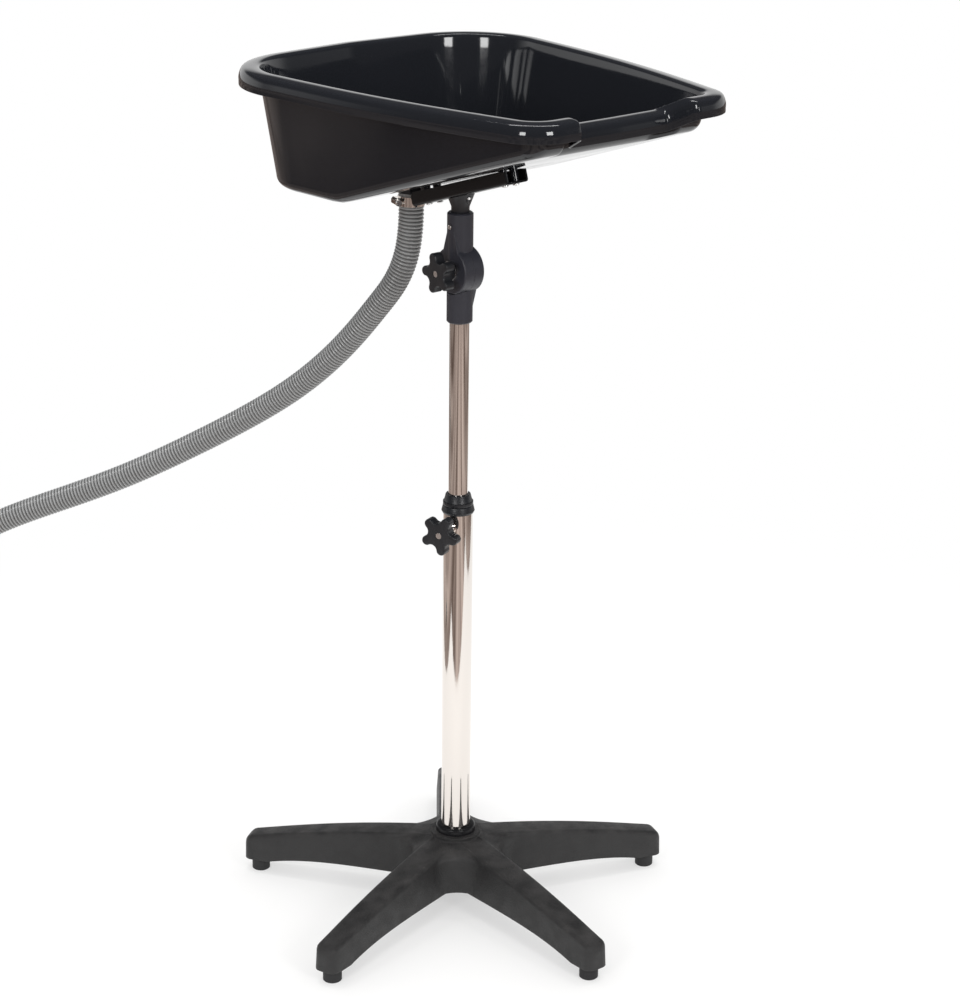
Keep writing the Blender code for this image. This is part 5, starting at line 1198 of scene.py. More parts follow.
def half_rim():
    """The +X half of the rim's outer edge, from the neck's middle round to the deep end's middle.

    Each point is (across, along, inward across, inward along), with along running to the neck.
    """
    neck = NECK_END_REACH
    deep = -DEEP_END_REACH
    neck_corner = Vector((NECK_END_HALF_WIDTH, neck - HORN_SWEEP))
    deep_corner = Vector((DEEP_END_HALF_WIDTH, deep + DEEP_END_BOW))
    neck_middle = Vector((0, neck))
    deep_middle = Vector((0, deep))
    points = []
    for step in range(SCOOP_POINTS):
        share = step / (SCOOP_POINTS - 1)
        inner = SCOOP_HALF_WIDTH - SCOOP_TRANSITION
        if share < SCOOP_FLAT_SHARE:
            across = inner * share / SCOOP_FLAT_SHARE
        else:
            across = inner + SCOOP_TRANSITION * (share - SCOOP_FLAT_SHARE) / (1 - SCOOP_FLAT_SHARE)
        along = neck - HORN_SWEEP * across / NECK_END_HALF_WIDTH
        points.append((Vector((across, along)), Vector((0, -1))))
    neck_arc = rounded_corner(neck_middle, neck_corner, deep_corner, NECK_CORNER_RADIUS, NECK_CORNER_POINTS)
    deep_arc = rounded_corner(neck_corner, deep_corner, deep_middle, DEEP_CORNER_RADIUS, DEEP_CORNER_POINTS)
    last = points[-1][0]
    for step in range(1, HORN_POINTS + 1):
        share = step / (HORN_POINTS + 1)
        inward = Vector((0, -1)).lerp(neck_arc[0][1], share)
        points.append((last.lerp(neck_arc[0][0], share), inward))
    points += neck_arc
    start, end = neck_arc[-1], deep_arc[0]
    for step in range(1, SIDE_POINTS + 1):
        share = step / (SIDE_POINTS + 1)
        bow = -start[1] * SIDE_BOW * math.sin(math.pi * share)
        points.append((start[0].lerp(end[0], share) + bow, start[1].lerp(end[1], share)))
    points += deep_arc
    start = deep_arc[-1]
    for step in range(1, DEEP_END_POINTS + 1):
        share = step / DEEP_END_POINTS
        inward = start[1].lerp(Vector((0, 1)), share)
        points.append((start[0].lerp(deep_middle, share), inward))
    return [(spot, inward.normalized()) for spot, inward in points]


def rounded_corner(before, corner, after, radius, count):
    """Points and inward directions round one corner of the plan."""
    to_before = (before - corner).normalized()
    to_after = (after - corner).normalized()
    half = to_before.angle(to_after) / 2
    centre = corner + (to_before + to_after).normalized() * radius / math.sin(half)
    first = corner + to_before * radius / math.tan(half) - centre
    last = corner + to_after * radius / math.tan(half) - centre
    sweep = first.angle_signed(last)
    arc = []
    for step in range(count):
        spoke = first.copy()
        spoke.rotate(Matrix.Rotation(-sweep * step / (count - 1), 2))
        arc.append((centre + spoke, -spoke.normalized()))
    return arc


def scoop_share(across):
    """How far the neck rest is scooped at this distance from the middle, from 0 to 1."""
    return 1 - smoothstep((abs(across) - SCOOP_HALF_WIDTH + SCOOP_TRANSITION) / SCOOP_TRANSITION)


def flowing(points, steps=RIM_SUBSTEPS):
    """A smooth line through points, with its first and last stretch kept straight."""
    line = [points[0]]
    padded = [points[0]] + list(points) + [points[-1]]
    for before, start, end, after in zip(padded, padded[1:], padded[2:], padded[3:]):
        for step in range(1, steps + 1):
            t = step / steps
            line.append(tuple(
                0.5 * (2 * b + (c - a) * t + (2 * a - 5 * b + 4 * c - d) * t ** 2
                       + (3 * b - a - 3 * c + d) * t ** 3)
                for a, b, c, d in zip(before, start, end, after)
            ))
    return line


def rim_profile():
    """The rim's upper side as (inward, down) from its outer edge and crest, from the band's foot inwards."""
    outer, inner = RIM_OUTER_ROUND, RIM_INNER_ROUND
    points = [(0, RIM_BAND_HEIGHT), (0, (RIM_BAND_HEIGHT + outer) / 2)]
    crest_outer = outer * (1 - math.sqrt(0.5))
    points += [(0, outer), (crest_outer / 2, outer / 2), (crest_outer + outer / 8, crest_outer / 2)]
    points += [(RIM_WIDTH / 2, 0)]
    soft = inner * (1 - math.sqrt(0.5))
    points += [(RIM_WIDTH - inner, 0), (RIM_WIDTH - soft, soft), (RIM_WIDTH, inner)]
    return flowing(points)


def rim_underside():
    """The hollow side of the rim, from the wall back out to the band's foot."""
    crest_outer = RIM_OUTER_ROUND * (1 - math.sqrt(0.5))
    return [
        (RIM_WIDTH - BOWL_WALL, RIM_INNER_ROUND),
        (RIM_WIDTH - BOWL_WALL - RIM_INNER_ROUND / 2, BOWL_WALL),
        (crest_outer + BOWL_WALL, BOWL_WALL),
        (BOWL_WALL, RIM_OUTER_ROUND),
        (BOWL_WALL, RIM_BAND_HEIGHT),
    ]


def bowl_section(edge, inward):
    """One closed line: over the rim, down the wall, in to the drain and back along the underside."""
    on_neck = edge.y > 0 and abs(edge.x) <= SCOOP_HALF_WIDTH
    share = scoop_share(edge.x) if on_neck else 0.0
    crest = -SCOOP_DEPTH * share
    start = edge + Vector((0, -SCOOP_INSET * share))
    upper = [(start + inward * inset, crest - down) for inset, down in rim_profile()]
    wall_top = crest - RIM_INNER_ROUND
    foot = start + inward * RIM_WIDTH
    for _ in range(WALL_PASSES):
        depth = wall_top - floor_height(foot.y) - BOWL_WALL
        foot = start + inward * (RIM_WIDTH + depth * math.tan(WALL_DRAFT))
    fillet = min(FLOOR_FILLET, depth / 2)
    wall_inset = RIM_WIDTH + (depth - fillet) * math.tan(WALL_DRAFT)
    for step in range(1, WALL_POINTS):
        part = step / WALL_POINTS
        inset = RIM_WIDTH + (wall_inset - RIM_WIDTH) * part
        upper.append((start + inward * inset, wall_top - (depth - fillet) * part))
    lower = []
    for step in range(FILLET_POINTS + 1):
        angle = math.pi / 2 * step / FILLET_POINTS
        for side, radius in ((upper, fillet), (lower, fillet + BOWL_WALL)):
            point = start + inward * (wall_inset + fillet - radius * math.cos(angle))
            floor = floor_height(point.y) + BOWL_WALL
            side.append((point, floor + fillet - radius * math.sin(angle)))
    foot = upper[-1][0]
    drain = Vector((0, -DRAIN_REACH))
    hole = drain + (foot - drain).normalized() * DRAIN_HOLE_RADIUS
    crossing = (-FLOOR_KINK_REACH - hole.y) / (foot.y - hole.y) if foot.y > hole.y else 1.0
    kink = min(max(crossing, KINK_SHARE_LIMITS[0]), KINK_SHARE_LIMITS[1])
    for part in ((1 + kink) / 2, kink, kink / 2, 0):
        point = hole.lerp(foot, part)
        upper.append((point, floor_height(point.y) + BOWL_WALL))
        lower.append((point, floor_height(point.y)))
    line = upper + list(reversed(lower))
    line += [(start + inward * inset, crest - down) for inset, down in rim_underside()]
    return [(point.x, -point.y, height) for point, height in line]


def make_bowl():
    """The bowl is lofted round its rim from closed sections, so its walls keep their thickness."""
    half = half_rim()
    mirrored = [
        (Vector((-edge.x, edge.y)), Vector((-inward.x, inward.y))) for edge, inward in reversed(half[1:-1])
    ]
    lines = [bowl_section(edge, inward) for edge, inward in half + mirrored]

    def build(shape):
        columns = [[shape.verts.new(point) for point in line] for line in lines]
        for number, column in enumerate(columns):
            beside = columns[(number + 1) % len(columns)]
            for row in range(len(column)):
                after = (row + 1) % len(column)
                shape.faces.new((column[row], beside[row], beside[after], column[after]))
        bmesh.ops.recalc_face_normals(shape, faces=shape.faces)

    mesh = mesh_of("bowl_shell", build)
    mesh.shade_smooth()
    mesh.set_sharp_from_angle(angle=CURVED_SHARP_ANGLE)
    bowl = piece("bowl_shell", mesh, GLOSS_BOWL, BOWL_AXIS)
    add_bosses(bowl)
    for number, centre in enumerate(bowl_screw_places(), start=1):
        cut(bowl, bowl_screw_hole(number, centre))


def add_bosses(bowl):
    """Round bosses that drop from the bowl's floor to the bracket's web."""
    foot = BRACKET_METAL + SEAT_GAP
    for number, (across, along, _) in enumerate(bowl_screw_places(), start=1):
        ring = [
            (across + side, along + forward)
            for side, forward in prism_outline(BOWL_BOSS_RADIUS, SMALL_STEPS)
        ]
        lower = [(side, forward, foot) for side, forward in ring]
        upper = [(side, forward, boss_top(-forward)) for side, forward in ring]
        boss = loft_mesh(f"bowl_boss_{number}", [lower, upper])
        join(bowl, helper(f"bowl_boss_{number}", boss, BRACKET_AXIS))


def boss_top(reach):
    """Height of a boss above the bracket's underside, ending inside the floor's thickness."""
    bracket_height = RIM_HEIGHT - PIVOT_HEIGHT - STEM_REACH
    lift = BRACKET_FLANGE_HEIGHT
    for _ in range(SETTLING_PASSES):
        along = reach * math.cos(FLOOR_SLOPE) - lift * math.sin(FLOOR_SLOPE)
        height = reach * math.sin(FLOOR_SLOPE) + lift * math.cos(FLOOR_SLOPE)
        lift += (floor_height(along) + bracket_height - height) * math.cos(FLOOR_SLOPE)
    return lift + BOWL_WALL / 2


# Drain

def make_drain():
    """Strainer flange above the floor, union nut and hose tail below it."""
    floor_top = BOWL_WALL + SEAT_GAP
    flange_top = floor_top + DRAIN_FLANGE_THICKNESS
    bore = DRAIN_SHANK_RADIUS - DRAIN_SHANK_WALL
    shank_bottom = flange_top - DRAIN_SHANK_LENGTH
    soft = DRAIN_FLANGE_THICKNESS / 2
    strainer_top = flange_top - soft
    profile = (
        (0, strainer_top),
        (bore, strainer_top),
        (DRAIN_SHANK_RADIUS, flange_top),
        (DRAIN_FLANGE_RADIUS - soft, flange_top),
        (DRAIN_FLANGE_RADIUS, flange_top - soft),
        (DRAIN_FLANGE_RADIUS, floor_top),
        (DRAIN_SHANK_RADIUS, floor_top),
        (DRAIN_SHANK_RADIUS, shank_bottom),
        (bore, shank_bottom),
        (bore, strainer_top - STRAINER_THICKNESS),
        (0, strainer_top - STRAINER_THICKNESS),
    )
    flange = turned("drain_strainer", profile, CHROME, DRAIN_AXIS)
    slots = []
    for number in range(STRAINER_SLOTS):
        middle = (bore + STRAINER_HUB_RADIUS) / 2
        half_length = (bore - STRAINER_HUB_RADIUS) / 2 - STRAINER_SLOT_WIDTH / 2
        half_width = STRAINER_SLOT_WIDTH / 2
        outline = []
        for centre, start in ((middle + half_length, -math.pi / 2), (middle - half_length, math.pi / 2)):
            outline += arc_points((centre, 0), half_width, start, start + math.pi, EDGE_ROUND_POINTS)
        slot = plate_mesh("strainer_slot", outline, STRAINER_THICKNESS * 4)
        slot.transform(Matrix.Rotation(math.tau * number / STRAINER_SLOTS, 4, "Z"))
        slot.transform(Matrix.Translation((0, 0, strainer_top)))
        slots.append(slot)
    cut(flange, helper("strainer_slots", joined_mesh("strainer_slots", slots), DRAIN_AXIS))
    gasket_top = -SEAT_GAP
    gasket_bottom = gasket_top - GASKET_THICKNESS
    shank_room = DRAIN_SHANK_RADIUS + SEAT_GAP
    gasket = tube_profile(GASKET_RADIUS, shank_room, gasket_top, gasket_bottom)
    turned("drain_gasket", gasket, RUBBER, DRAIN_AXIS)
    nut_top = gasket_bottom - SEAT_GAP
    nut_bottom = nut_top - DRAIN_NUT_HEIGHT
    nut_mesh = plate_mesh("drain_nut", prism_outline(DRAIN_NUT_RADIUS, DRAIN_NUT_SIDES), DRAIN_NUT_HEIGHT)
    nut_mesh.transform(Matrix.Translation((0, 0, (nut_top + nut_bottom) / 2)))
    nut = piece("drain_nut", nut_mesh, DARK_PLASTIC, DRAIN_AXIS)
    lip_top = nut_bottom + DRAIN_NUT_LIP
    nut_bore = (
        (0, nut_top + CUT_OVERRUN),
        (shank_room, nut_top + CUT_OVERRUN),
        (shank_room, lip_top),
        (TAIL_RADIUS + SEAT_GAP, lip_top),
        (TAIL_RADIUS + SEAT_GAP, nut_bottom - CUT_OVERRUN),
        (0, nut_bottom - CUT_OVERRUN),
    )
    cut(nut, turned_helper("drain_nut_bore", nut_bore, DRAIN_AXIS))
    collar_bottom = lip_top + SEAT_GAP
    collar_top = collar_bottom + TAIL_COLLAR_THICKNESS
    tail_bottom = nut_bottom - TAIL_LENGTH + DRAIN_NUT_LIP
    tail_bore = TAIL_RADIUS - TAIL_WALL
    barb = TAIL_RADIUS + TAIL_BARB
    tail = (
        (DRAIN_SHANK_RADIUS, collar_top),
        (DRAIN_SHANK_RADIUS, collar_bottom),
        (TAIL_RADIUS, collar_bottom),
        (TAIL_RADIUS, tail_bottom + TAIL_COLLAR_THICKNESS),
        (barb, tail_bottom + TAIL_COLLAR_THICKNESS),
        (TAIL_RADIUS, tail_bottom),
        (tail_bore, tail_bottom),
        (tail_bore, collar_top),
    )
    turned("drain_tail", tail, DARK_PLASTIC, DRAIN_AXIS)


# Hose

def hose_controls():
    """The route's own points, with a straight run out of the drain ahead of them."""
    top = Vector((0, DRAIN_REACH, HOSE_TOP))
    straight = HOSE_RADIUS + HOSE_RADIUS
    run = [top, top - Vector((0, 0, straight / 2)), top - Vector((0, 0, straight))]
    return run + [Vector(point) for point in HOSE_ROUTE]


def smooth_route(controls, per_span=HOSE_SPAN_POINTS):
    """A cubic B-spline along the route, from its first point to its last, as a dense line."""
    points = [controls[0] * 2 - controls[1]] + controls + [controls[-1] * 2 - controls[-2]]
    line = []
    for before, start, end, after in zip(points, points[1:], points[2:], points[3:]):
        for step in range(per_span):
            t = step / per_span
            line.append(
                (before * (1 - t) ** 3 + start * (3 * t ** 3 - 6 * t ** 2 + 4)
                 + end * (1 + 3 * t + 3 * t ** 2 - 3 * t ** 3) + after * t ** 3) / 6
            )
    line.append(controls[-1])
    return line


def even_points(line, count):
    """Points at equal distances along a dense line, with its ends kept."""
    distances = [0.0]
    for start, end in zip(line, line[1:]):
        distances.append(distances[-1] + (end - start).length)
    result = []
    index = 0
    for step in range(count):
        wanted = distances[-1] * step / (count - 1)
        while index < len(line) - 2 and distances[index + 1] < wanted:
            index += 1
        span = distances[index + 1] - distances[index]
        result.append(line[index].lerp(line[index + 1], (wanted - distances[index]) / span))
    return result


def make_hose_cuff(end, way):
    """The plain rubber sleeve on the hose's free end."""
    axis = way.to_track_quat("Z", "Y").to_euler()
    bottom = SEAT_GAP
    top = bottom + HOSE_CUFF_LENGTH
    lip = HOSE_CUFF_RADIUS + HOSE_CUFF_LIP / 4
    profile = (
        (HOSE_CUFF_RADIUS - HOSE_CUFF_LIP, top),
        (lip, top - HOSE_CUFF_LIP),
        (lip, top - HOSE_CUFF_LIP * 3),
        (HOSE_CUFF_RADIUS, top - HOSE_CUFF_LIP * 4),
        (HOSE_CUFF_RADIUS, bottom),
        (HOSE_CUFF_BORE, bottom),
        (HOSE_CUFF_BORE, top),
    )
    turned("hose_cuff", profile, RUBBER, HEAD_AXIS, location=end, rotation=axis)


def make_hose_clamp():
    """A worm-drive band round the hose's neck."""
    inner = HOSE_END_RADIUS + SEAT_GAP
    outer = inner + CLAMP_BAND_THICKNESS
    top = HOSE_TOP - CLAMP_BAND_DROP
    bottom = top - CLAMP_BAND_WIDTH
    where = {"location": (0, DRAIN_REACH, 0), "rotation": (0, 0, CLAMP_SCREW_AZIMUTH)}
    band = turned("hose_clamp", tube_profile(outer, inner, top, bottom), CHROME, HEAD_AXIS, **where)
    middle = (top + bottom) / 2
    half_width = CLAMP_HOUSING_WIDTH / 2
    near = inner + CLAMP_BAND_THICKNESS / 2
    far = outer + CLAMP_HOUSING_HEIGHT
    outline = [
        (near, middle - half_width), (far - half_width / 2, middle - half_width),
        (far, middle - half_width / 2), (far, middle + half_width / 2),
        (far - half_width / 2, middle + half_width), (near, middle + half_width),
    ]
    housing_mesh = plate_mesh("clamp_housing", outline, CLAMP_HOUSING_LENGTH)
    housing_mesh.transform(Matrix.Rotation(math.pi / 2, 4, "X"))
    join(band, helper("clamp_housing", housing_mesh, HEAD_AXIS, **where))
    reach = outer + CLAMP_HOUSING_HEIGHT / 2
    screw_top = CLAMP_HOUSING_LENGTH / 2 + CLAMP_SCREW_HEAD_LENGTH + SEAT_GAP
    head_bottom = CLAMP_HOUSING_LENGTH / 2 + SEAT_GAP
    spin = Matrix.Rotation(CLAMP_SCREW_AZIMUTH, 3, "Z")
    centre = Vector((0, DRAIN_REACH, middle)) + spin @ Vector((reach, 0, 0))
    aim = (spin @ Matrix.Rotation(-math.pi / 2, 3, "X")).to_euler()
    profile = (
        (0, screw_top),
        (CLAMP_SCREW_HEAD_RADIUS, screw_top),
        (CLAMP_SCREW_HEAD_RADIUS, head_bottom),
        (CLAMP_SCREW_RADIUS, head_bottom),
        (CLAMP_SCREW_RADIUS, -CLAMP_HOUSING_LENGTH / 2),
        (0, -CLAMP_HOUSING_LENGTH / 2),
    )
    turned("hose_clamp_screw", profile, ZINC, HEAD_AXIS, SMALL_STEPS,
           location=centre, rotation=aim)
    drill(
        band, "clamp_screw_hole", CLAMP_SCREW_RADIUS, CLAMP_HOUSING_LENGTH, -CLAMP_HOUSING_LENGTH, HEAD_AXIS,
        location=centre, rotation=aim
    )


def hose_line():
    """The hose's route in the row frame, as a dense line."""
    foot = Vector(COLUMN_FOOT)
    return [foot + point for point in smooth_route(hose_controls())]


# Geometry node trees

def geometry_tree(name, inputs):
    """A new tree with named inputs. It gives the tree, its input node and each socket's identifier."""
    forget(bpy.data.node_groups, name)
    tree = bpy.data.node_groups.new(name, "GeometryNodeTree")
    tree.interface.new_socket("Geometry", in_out="OUTPUT", socket_type="NodeSocketGeometry")
    tree.interface.new_socket("Geometry", in_out="INPUT", socket_type="NodeSocketGeometry")
    identifiers = {}
    for label, socket_type in inputs:
        socket = tree.interface.new_socket(label, in_out="INPUT", socket_type=socket_type)
        identifiers[label] = socket.identifier
    return tree, tree.nodes.new("NodeGroupInput"), identifiers


def feed(tree, target, value):
    """Links a socket to an input, or sets the input to a plain value."""
    if isinstance(value, bpy.types.NodeSocket):
        tree.links.new(value, target)
    else:
        target.default_value = value


def wired(tree, kind, given, **settings):
    """A new node, with its inputs fed by label or number. It gives the node's outputs."""
    node = tree.nodes.new(kind)
    for label, value in settings.items():
        setattr(node, label, value)
    for label, value in given.items():
        feed(tree, node.inputs[label], value)
    return node.outputs


def calculate(tree, operation, *values):
    """A Math node, fed with sockets or numbers."""
    return wired(tree, "ShaderNodeMath", dict(enumerate(values)), operation=operation)[0]


def end_tree(tree, geometry, material):
    """Closes a tree: real geometry, its material, the output."""
    real = wired(tree, "GeometryNodeRealizeInstances", {"Geometry": geometry})["Geometry"]
    finish = wired(tree, "GeometryNodeSetMaterial", {"Geometry": real, "Material": material})
    wired(tree, "NodeGroupOutput", {"Geometry": finish["Geometry"]})


def hose_rib_tree():
    """Ribs along a wire: the radius follows a wave of the distance, and both ends stay plain."""
    tree, given, names = geometry_tree("Hose Ribs", (
        ("Rib Pitch", "NodeSocketFloat"),
        ("Steps per Rib", "NodeSocketInt"),
        ("Crest Radius", "NodeSocketFloat"),
        ("Groove Depth", "NodeSocketFloat"),
        ("Plain Radius", "NodeSocketFloat"),
        ("Neck Length", "NodeSocketFloat"),
        ("End Length", "NodeSocketFloat"),
        ("Sides", "NodeSocketInt"),
        ("Material", "NodeSocketMaterial"),
    ))
    size = given.outputs
    route = wired(tree, "GeometryNodeMeshToCurve", {"Mesh": size["Geometry"]})["Curve"]
    step = calculate(tree, "DIVIDE", size["Rib Pitch"], size["Steps per Rib"])
    even = wired(tree, "GeometryNodeResampleCurve", {"Curve": route, "Length": step}, mode="LENGTH")["Curve"]
    along = tree.nodes.new("GeometryNodeSplineParameter").outputs["Length"]
    whole = tree.nodes.new("GeometryNodeSplineLength").outputs["Length"]
    turns = calculate(tree, "DIVIDE", along, size["Rib Pitch"])
    wave = calculate(tree, "COSINE", calculate(tree, "MULTIPLY", turns, math.tau))
    level = calculate(tree, "MULTIPLY_ADD", wave, 0.5, 0.5)
    crest = calculate(tree, "POWER", level, HOSE_WAVE_POWER)
    in_neck = calculate(tree, "LESS_THAN", along, size["Neck Length"])
    left = calculate(tree, "SUBTRACT", whole, along)
    in_end = calculate(tree, "LESS_THAN", left, size["End Length"])
    plain = calculate(tree, "MAXIMUM", in_neck, in_end)
    ribbed = calculate(tree, "SUBTRACT", 1.0, plain)
    drop = calculate(tree, "MULTIPLY", size["Groove Depth"], calculate(tree, "SUBTRACT", 1.0, crest))
    wavy = calculate(tree, "SUBTRACT", size["Crest Radius"], drop)
    on_ribs = calculate(tree, "MULTIPLY", wavy, ribbed)
    radius = calculate(tree, "ADD", on_ribs, calculate(tree, "MULTIPLY", size["Plain Radius"], plain))
    # The crest level is stored so that the hose finish can paint shade into the grooves
    shade = calculate(tree, "MAXIMUM", crest, plain)
    marked = wired(tree, "GeometryNodeStoreNamedAttribute", {
        "Geometry": even, "Name": "rib_crest", "Value": shade,
    }, domain="POINT")["Geometry"]
    ring = wired(tree, "GeometryNodeCurvePrimitiveCircle", {"Radius": 1.0, "Resolution": size["Sides"]})
    tube = wired(tree, "GeometryNodeCurveToMesh", {
        "Curve": marked, "Profile Curve": ring["Curve"], "Scale": radius,
    })["Mesh"]
    smooth = wired(tree, "GeometryNodeSetShadeSmooth", {"Geometry": tube})["Geometry"]
    end_tree(tree, smooth, size["Material"])
    return tree, names


def copies_tree(name, points_node, point_inputs):
    """One form repeated on the points of a circle or a grid."""
    tree, given, names = geometry_tree(
        name, tuple(point_inputs) + (("Form", "NodeSocketObject"), ("Material", "NodeSocketMaterial"))
    )
    points = wired(tree, points_node, {label: given.outputs[label] for label, _ in point_inputs})["Mesh"]
    form = wired(tree, "GeometryNodeObjectInfo", {"Object": given.outputs["Form"]})["Geometry"]
    copies = wired(tree, "GeometryNodeInstanceOnPoints", {"Points": points, "Instance": form})["Instances"]
    end_tree(tree, copies, given.outputs["Material"])
    return tree, names


def grown(host, tree, names, values):
    """The mesh that a tree grows on a host object, which is taken away."""
    modifier = host.modifiers.new(tree.name, "NODES")
    modifier.node_group = tree
    for label, value in values.items():
        modifier[names[label]] = value
    mesh = plain_mesh(host, host.name)
    bpy.data.objects.remove(host, do_unlink=True)
    return mesh


def make_hose(sizes):
    """The ribbed hose along its route, with a wall, from the drain's tail to its cuff."""
    line = hose_line()
    length = sum((end - start).length for start, end in zip(line, line[1:]))

    def build(shape):
        dots = [shape.verts.new(point) for point in line]
        for start, end in zip(dots, dots[1:]):
            shape.edges.new((start, end))

    host = bpy.data.objects.new("hose_route", mesh_of("hose_route", build))
    shelf(CUTTERS).objects.link(host)
    tree, names = hose_rib_tree()
    mesh = grown(host, tree, names, {
        "Rib Pitch": sizes.hose_rib_pitch,
        "Steps per Rib": HOSE_RIB_STEPS,
        "Crest Radius": HOSE_RADIUS,
        "Groove Depth": sizes.hose_groove,
        "Plain Radius": HOSE_END_RADIUS,
        "Neck Length": CLAMP_BAND_DROP + CLAMP_BAND_WIDTH,
        "End Length": HOSE_RADIUS,
        "Sides": HOSE_SIDES,
        "Material": bpy.data.materials[FINISH_NAMES[HOSE_GREY]],
    })
    hose = shown("drain_hose_piece", smoothed(mesh), HOSE_GREY, BODY_OF["drain_hose"], ["drain_hose"])
    wall = hose.modifiers.new("Wall", "SOLIDIFY")
    wall.thickness = HOSE_WALL
    wall.offset = -1
    return hose, line, length


def make_feet():
    """The five rubber feet, grown round the star from one form."""
    top = -SEAT_GAP
    bottom = -LEG_TIP_BOTTOM
    profile = [
        (0, FOOT_PEG_LENGTH),
        (FOOT_PEG_RADIUS, FOOT_PEG_LENGTH),
        (FOOT_PEG_RADIUS, top),
        (FOOT_RADIUS - FOOT_CHAMFER / 2, top),
        (FOOT_RADIUS, top - FOOT_CHAMFER / 2),
        (FOOT_RADIUS, bottom + FOOT_CHAMFER),
        (FOOT_RADIUS - FOOT_CHAMFER, bottom),
        (0, bottom),
    ]
    form = turned_helper("foot", profile, None, SMALL_STEPS)
    host = helper("feet", bpy.data.meshes.new("feet"), ROOT, (0, 0, LEG_TIP_BOTTOM), (0, 0, leg_angle(0)))
    tree, names = copies_tree(
        "Feet Round Star", "GeometryNodeMeshCircle",
        (("Vertices", "NodeSocketInt"), ("Radius", "NodeSocketFloat"))
    )
    mesh = grown(host, tree, names, {
        "Vertices": LEG_COUNT,
        "Radius": FOOT_CIRCLE_RADIUS,
        "Form": form,
        "Material": bpy.data.materials[FINISH_NAMES[FOOT_RUBBER]],
    })
    nodes = [f"foot_{number + 1}" for number in range(LEG_COUNT)]
    return shown("feet_piece", smoothed(mesh), FOOT_RUBBER, BODY_OF["foot_1"], nodes)


def make_bowl_screws():
    """The four screws that hold the bowl, grown on a grid from one form."""
    head_top = -SEAT_GAP
    head_bottom = head_top - BOWL_SCREW_HEAD_HEIGHT
    profile = (
        (0, BOWL_SCREW_DEPTH),
        (BOWL_SCREW_RADIUS, BOWL_SCREW_DEPTH),
        (BOWL_SCREW_RADIUS, head_top),
        (BOWL_SCREW_HEAD_RADIUS, head_top),
        (BOWL_SCREW_HEAD_RADIUS, head_top - BOWL_SCREW_HEAD_HEIGHT / 2),
        (BOWL_SCREW_RADIUS, head_bottom),
        (0, head_bottom),
    )
    form = turned_helper("bowl_screw", profile, None, SMALL_STEPS)
    middle = (BOWL_SCREW_DEEP_REACH - BOWL_SCREW_NECK_REACH) / 2
    host = helper("bowl_screws", bpy.data.meshes.new("bowl_screws"), BRACKET_AXIS, (0, middle, 0))
    tree, names = copies_tree(
        "Screws On Grid", "GeometryNodeMeshGrid",
        (("Size X", "NodeSocketFloat"), ("Size Y", "NodeSocketFloat"), ("Vertices X", "NodeSocketInt"),
         ("Vertices Y", "NodeSocketInt"))
    )
    mesh = grown(host, tree, names, {
        "Size X": BOWL_SCREW_HALF_SPACING * 2,
        "Size Y": BOWL_SCREW_NECK_REACH + BOWL_SCREW_DEEP_REACH,
        "Vertices X": 2,
        "Vertices Y": 2,
        "Form": form,
        "Material": bpy.data.materials[FINISH_NAMES[ZINC]],
    })
    nodes = [f"bowl_screw_{number}" for number in range(1, 5)]
    return shown("bowl_screws_piece", smoothed(mesh), ZINC, BODY_OF["bowl_screw_1"], nodes)


# Finishes

FINISH_NAMES = {
    CASTING_BLACK: "Base moulding",
    FOOT_RUBBER: "Foot rubber",
    GLOSS_BLACK: "Bracket gloss paint",
    GLOSS_BOWL: "Basin gloss",
    SATIN_BLACK: "Knuckle satin",
    MOULDED_BLACK: "Moulded knob black",
    DARK_PLASTIC: "Drain fitting plastic",
    RUBBER: "Cuff rubber",
    CHROME: "Polished tube",
    ZINC: "Zinc plate",
    HOSE_GREY: "Hose grey",
}
